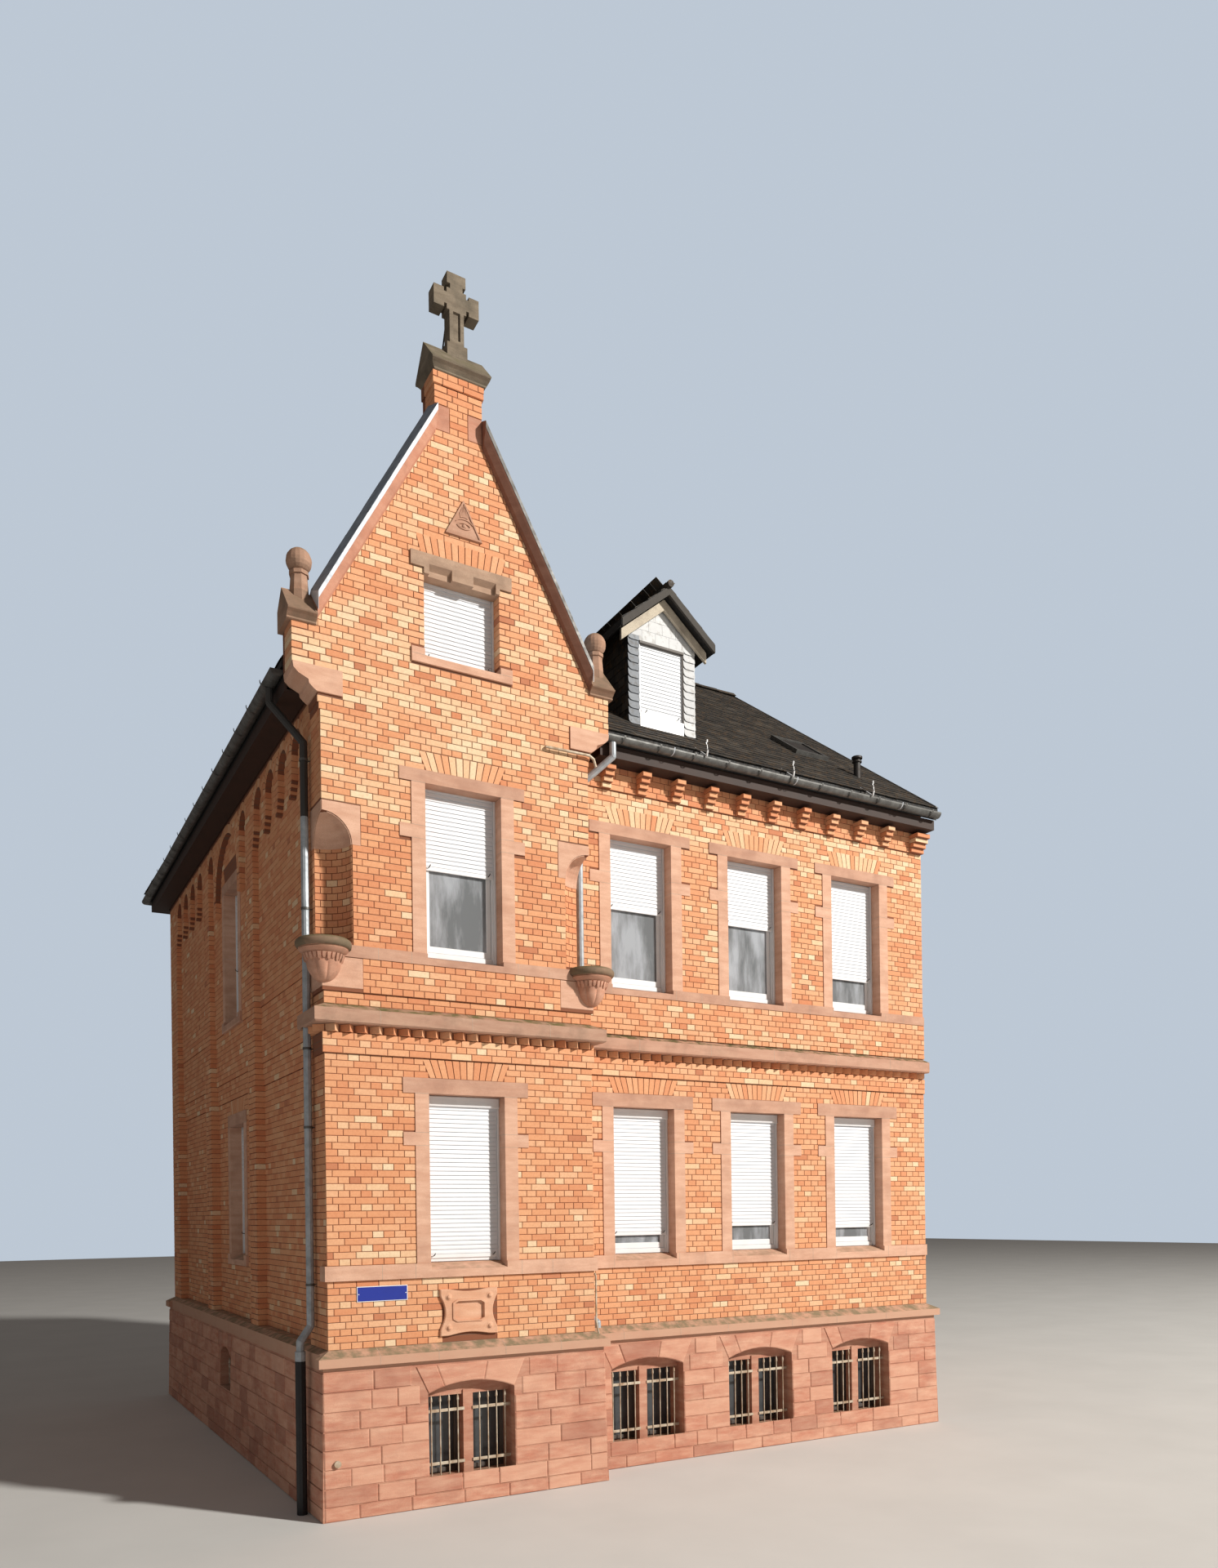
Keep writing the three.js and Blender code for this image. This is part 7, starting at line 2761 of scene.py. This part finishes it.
@dataclass
class Ironwork:
    """Gutter straps and seams, snow hooks, pipe clips, coping covers, roof hatch and vent.

    Attributes:
        palette: the finishes.
        gutter: outer radius of the gutters.
        rim: height of their rims.
        front_axis: house y of the front gutter's axis.
        left_axis: house x of the left gutter's axis.
        vent: house x and y of the vent pipe.
    """

    palette: Palette
    gutter: float = 0.0785
    rim: float = 9.56
    front_axis: float = 0.092
    left_axis: float = -0.408
    vent: Span = (8.88, 0.98)

    def hoop(self, maker: MeshMaker, side: Side, middle: float, width: float) -> None:
        """Adds a strap round the underside of a half-round gutter.

        Args:
            maker: mesh it goes into.
            side: the side of the house whose gutter it holds, front or left.
            middle: the strap's place along the gutter.
            width: its width.
        """
        half, outer = width / 2.0, self.gutter + 0.004
        order = ((self.gutter, -half), (self.gutter, half), (outer, half), (outer, -half))
        rings = []
        for k in range(13):
            angle = math.pi + math.pi * k / 12.0
            ring = []
            for r, along in order:
                across, up = r * math.cos(angle), r * math.sin(angle)
                if side is Side.FRONT:
                    ring.append(at(middle + along, self.front_axis + across, self.rim + up))
                else:
                    ring.append(at(self.left_axis + across, middle + along, self.rim + up))
            rings.append(ring)
        maker.loft(rings)

    def gutters(self) -> None:
        """Adds seams and straps to the front and left gutters."""
        maker, seams = MeshMaker("gutter_straps"), MeshMaker("gutter_seams")
        for i in range(11):
            self.hoop(maker, Side.FRONT, 3.98 + 0.556 * i, 0.026)
        for x in (4.75, 6.85, 8.90):
            self.hoop(seams, Side.FRONT, x, 0.012)
        for i in range(14):
            self.hoop(maker, Side.LEFT, 0.75 + 0.72 * i, 0.026)
        maker.place(self.palette.zinc, "zinc", 30.0)
        seams.place(self.palette.pale_zinc, "zinc", 30.0)

    def hooks(self) -> None:
        """Sets three pale hooks that rise from the gutter's edge."""
        maker = MeshMaker("snow_hooks")
        for x in (5.27, 6.77, 8.29):
            path = ((x, 0.02, 9.55), (x, -0.005, 9.62), (x - 0.012, 0.0, 9.72), (x + 0.018, 0.03, 9.775))
            maker.rod([at(*point) for point in path], 0.013, 6)
            maker.rod([at(x, 0.02, 9.56), at(x, 0.30, 9.77)], 0.008, 6)
        maker.place(self.palette.white, "zinc", 40.0)

    def sheets(self, maker: MeshMaker, side: float, profile: Sequence[Span], steps: int) -> None:
        """Lays lapped metal sheets up one of the gable's copings.

        Args:
            maker: mesh they go into.
            side: -1 for the left coping, 1 for the right one.
            profile: the sheet's section as (house y, height over the slope).
            steps: how many sheets there are.
        """
        length = math.hypot(1.0, RAKE)
        normal = Vector((side * RAKE, 0.0, 1.0)) / length
        for i in range(steps):
            rings = []
            for share in (i / steps, (i + 0.999) / steps):
                ring = []
                for y, n in profile:
                    half = (1.737 - RAKE / length * n) + (0.303 - 1.737) * share
                    place = at(BAY_AXIS + side * half, y, GABLE_APEX - RAKE * half)
                    ring.append(place + normal * (n + 0.0015 * (i % 2)))
                rings.append(ring)
            maker.loft(rings)

    def flashings(self) -> None:
        """Lays a strip along the front edge of the gable's copings and metal over their backs."""
        edge = ((-0.1215, 0.100), (-0.1250, 0.100), (-0.1250, 0.1395), (-0.116, 0.1430), (-0.116, 0.1385),
                (-0.1215, 0.1370))
        cover = ((-0.117, 0.1380), (-0.117, 0.1425), (0.190, 0.2175), (0.381, 0.1550), (0.381, 0.1505),
                 (0.190, 0.2125))
        covers = MeshMaker("coping_covers")
        # The right coping's edge strip takes its darker finish as painted shade.
        finishes = ((-1.0, "left", self.palette.pale_zinc), (1.0, "right", self.palette.painted_shade_edge))
        for side, name, finish in finishes:
            strip = MeshMaker("coping_edge_" + name)
            self.sheets(strip, side, edge, 5)
            self.sheets(covers, side, cover, 7)
            strip.place(finish, "zinc")
        covers.place(self.palette.sky_sheen_cover, "zinc")

    def clips(self) -> None:
        """Clips the two downpipes to the wall."""
        maker = MeshMaker("pipe_clips")
        for x, y, radius, levels, wall in (
                (-0.08, 0.43, 0.052, (2.6, 4.4, 5.3, 6.9, 8.6), Vector((0.10, 0.0, 0.0))),
                (3.495, 0.412, 0.040, (6.75, 7.75, 8.6), Vector((0.0, 0.10, 0.0)))):
            for z in levels:
                maker.loft([[at(x + radius * math.cos(a), y + radius * math.sin(a), level) for a in circle(14)]
                            for level in (z - 0.014, z + 0.014)])
                maker.rod([at(x, y, z), at(x, y, z) + wall], 0.007, 6)
        maker.place(self.palette.zinc, "zinc", 40.0)

    def ends(self) -> None:
        """Adds the rusty pipe ends low on the bay and the bent tube high on its right."""
        maker = MeshMaker("pipe_ends")
        for path, radius, sides in (
                (((3.412, -0.01, 2.62), (3.424, -0.012, 2.58), (3.424, -0.012, 2.02), (3.435, -0.020, 1.92),
                  (3.455, -0.03, 1.83)), 0.012, 8),
                (((0.048, -0.09, 0.635), (0.048, -0.150, 0.635)), 0.040, 14),
                (((2.80, 0.0, 9.16), (2.80, -0.045, 9.157), (2.85, -0.055, 9.155), (3.40, -0.055, 9.163),
                  (3.47, -0.045, 9.13), (3.50, -0.04, 9.04)), 0.018, 10)):
            maker.rod([at(*point) for point in path], radius, sides)
        maker.place(self.palette.grille, "zinc", 50.0)

    def hatch(self) -> None:
        """Adds the roof hatch."""
        x0, x1, y0, y1 = 8.15, 8.72, 1.60, 2.15
        pane, rim = MeshMaker("hatch_glass"), MeshMaker("hatch_frame")
        normal = Vector((0.0, -MAIN_PITCH, 1.0)).normalized()

        def ring(grow: float, lift: float) -> list[Vector]:
            """Gives one ring of its points."""
            left, right, low, high = x0 - grow, x1 + grow, y0 - grow, y1 + grow
            return [at(x, y, roof_height(y)) + normal * lift
                    for x, y in ((left, low), (right, low), (right, high), (left, high))]

        rim.loft([ring(0.05, 0.0), ring(0.05, 0.075), ring(0.0, 0.075), ring(0.0, 0.055)])
        pane.loft([ring(0.0, 0.050), ring(0.0, 0.056)])
        rim.place(self.palette.zinc, "zinc")
        pane.place(self.palette.iron, "zinc")

    def vent_pipe(self) -> None:
        """Adds the vent pipe with its collar and hat."""
        maker = MeshMaker("vent_pipe")
        x, y = self.vent
        foot = roof_height(y)
        for r, low, high in ((0.055, -0.06, 0.27), (0.075, 0.23, 0.25), (0.085, 0.29, 0.32)):
            maker.loft([[at(x + r * math.cos(a), y + r * math.sin(a), foot + z) for a in circle(16)]
                        for z in (low, high)])
        for a in (0.5, 2.6, 4.7):
            post = (x + 0.05 * math.cos(a), y + 0.05 * math.sin(a))
            maker.rod([at(*post, foot + z) for z in (0.24, 0.30)], 0.006, 6)
        maker.place(self.palette.iron, "zinc", 40.0)

    def build(self) -> None:
        """Makes all of it."""
        self.gutters()
        self.hooks()
        self.flashings()
        self.clips()
        self.ends()
        self.hatch()
        self.vent_pipe()


@dataclass
class Studio:
    """Floor, lights and the camera at the photograph's place.

    Attributes:
        lens: focal length in millimetres.
        eye: the camera's place.
        yaw: how far it is turned to the right, in degrees.
        pitch: how far it looks up, in degrees.
        roll: how far it leans, in degrees.
        shift: upward shift of its lens, as a share of the picture.
    """

    lens: float = 25.44
    eye: tuple[float, float, float] = (-8.351, -17.479, 3.368)
    yaw: float = 30.13
    pitch: float = 0.035
    roll: float = -0.732
    shift: float = 0.2737

    @staticmethod
    def floor() -> None:
        """Lays a wide pale floor."""
        maker = MeshMaker("studio_floor")
        maker.box(Vector((-90.0, -90.0, -0.30)), Vector((90.0, 90.0, -0.002)))
        mesh = maker.mesh()
        sheet = NodeSheet("studio_floor")
        colour = sheet.mix(sheet.stretch(sheet.noise(0.6), 0.3, 0.7), (0.60, 0.60, 0.59), (0.64, 0.64, 0.63))
        mesh.materials.append(sheet.surface(colour, 0.85))
        floor = bpy.data.objects.new("studio_floor", mesh)
        bpy.context.scene.collection.objects.link(floor)

    @staticmethod
    def light(name: str, where: Vector, aim: Vector, size: float, power: float, colour: Colour) -> None:
        """Adds one soft lamp.

        Args:
            name: its name.
            where: its place.
            aim: the point it shines at.
            size: its diameter.
            power: its power in watts.
            colour: its colour.
        """
        data = bpy.data.lights.new(name, "AREA")
        data.shape = "DISK"
        data.size = size
        data.energy = power
        data.color = colour
        lamp = bpy.data.objects.new(name, data)
        lamp.location = where
        lamp.rotation_euler = (aim - where).to_track_quat("-Z", "Y").to_euler()
        bpy.context.scene.collection.objects.link(lamp)

    @staticmethod
    def world() -> None:
        """Sets an even pale surrounding."""
        world = bpy.data.worlds.new("studio")
        world.use_nodes = True
        tree = world.node_tree
        back = tree.nodes["Background"]
        wall = tree.nodes.new("ShaderNodeBackground")
        for node, colour, strength in ((back, (1.0, 0.90, 0.83, 1.0), 0.145),
                                       (wall, (0.60, 0.68, 0.78, 1.0), 0.85)):
            node.inputs["Color"].default_value = colour
            node.inputs["Strength"].default_value = strength
        choose = tree.nodes.new("ShaderNodeMixShader")
        tree.links.new(tree.nodes.new("ShaderNodeLightPath").outputs["Is Camera Ray"], choose.inputs[0])
        tree.links.new(back.outputs[0], choose.inputs[1])
        tree.links.new(wall.outputs[0], choose.inputs[2])
        tree.links.new(choose.outputs[0], tree.nodes["World Output"].inputs["Surface"])
        bpy.context.scene.world = world
        bpy.context.scene.view_settings.view_transform = "Standard"

    def camera(self) -> None:
        """Places the camera."""
        data = bpy.data.cameras.new("camera")
        data.sensor_fit = "VERTICAL"
        data.sensor_height = 36.0
        data.sensor_width = 36.0 * 1492 / 1920
        data.lens = self.lens
        data.shift_y = self.shift
        data.clip_end = 300.0
        made = bpy.data.objects.new("camera", data)
        turn = Matrix.Rotation(-math.radians(self.yaw), 4, "Z")
        turn = turn @ Matrix.Rotation(math.radians(90.0 + self.pitch), 4, "X")
        turn = turn @ Matrix.Rotation(math.radians(self.roll), 4, "Z")
        made.matrix_world = Matrix.Translation(Vector(self.eye)) @ turn
        bpy.context.scene.collection.objects.link(made)
        bpy.context.scene.camera = made

    def build(self) -> None:
        """Sets up floor, lights, world and camera."""
        self.floor()
        self.world()
        self.light("key", Vector((34.7, -56.0, 40.4)), Vector((-1.0, -3.0, 5.0)),
                   4.5, 70000.0, (1.0, 0.96, 0.89))
        self.light("fill", Vector((-26.0, -14.0, 12.0)), Vector((-2.0, 0.0, 6.0)),
                   14.0, 250.0, (0.90, 0.95, 1.0))
        self.camera()


def dress(palette: Palette) -> None:
    """Gives the carried-over CAD nodes their own finish, or that of their slot.

    Args:
        palette: the finishes.
    """
    finish = {"brick": palette.mortar, "sandstone": palette.surround, "cap_stone": palette.cap,
              "plinth_stone": palette.plinth, "slate": palette.dark_slate, "eave_timber": palette.timber,
              "zinc": palette.zinc, "window_white": palette.white, "floor_slab": palette.floor}
    own = {"string_course_bay": palette.bay_string, "string_course_main": palette.string,
           "coping_left": palette.coping, "coping_right": palette.painted_shade_coping, "attic_lintel": palette.lintel,
           "plinth_bay": palette.nosing, "plinth_main_front": palette.nosing, "plinth_rear": palette.nosing,
           "downpipe_left": palette.left_pipe, "downpipe_front": palette.pipe,
           "kneeler_cap_left": palette.ball, "kneeler_cap_right": palette.ball}
    slots = {part["node"]: part["material_slot"] for part in frame["record"]["subparts"]}
    for name, node in frame["nodes"].items():
        node.data.materials.clear()
        node.data.materials.append(own.get(name, finish[slots[name]]))


def main() -> None:
    """Builds the whole picture."""
    logging.basicConfig(level=logging.INFO)
    palette = Palette()
    dress(palette)
    for trade in (Bricks, Joinery, Slating, Ashlar, Corners, Dressings, Ironwork):
        trade(palette).build()
    Studio().build()


if __name__ == "__main__":
    main()
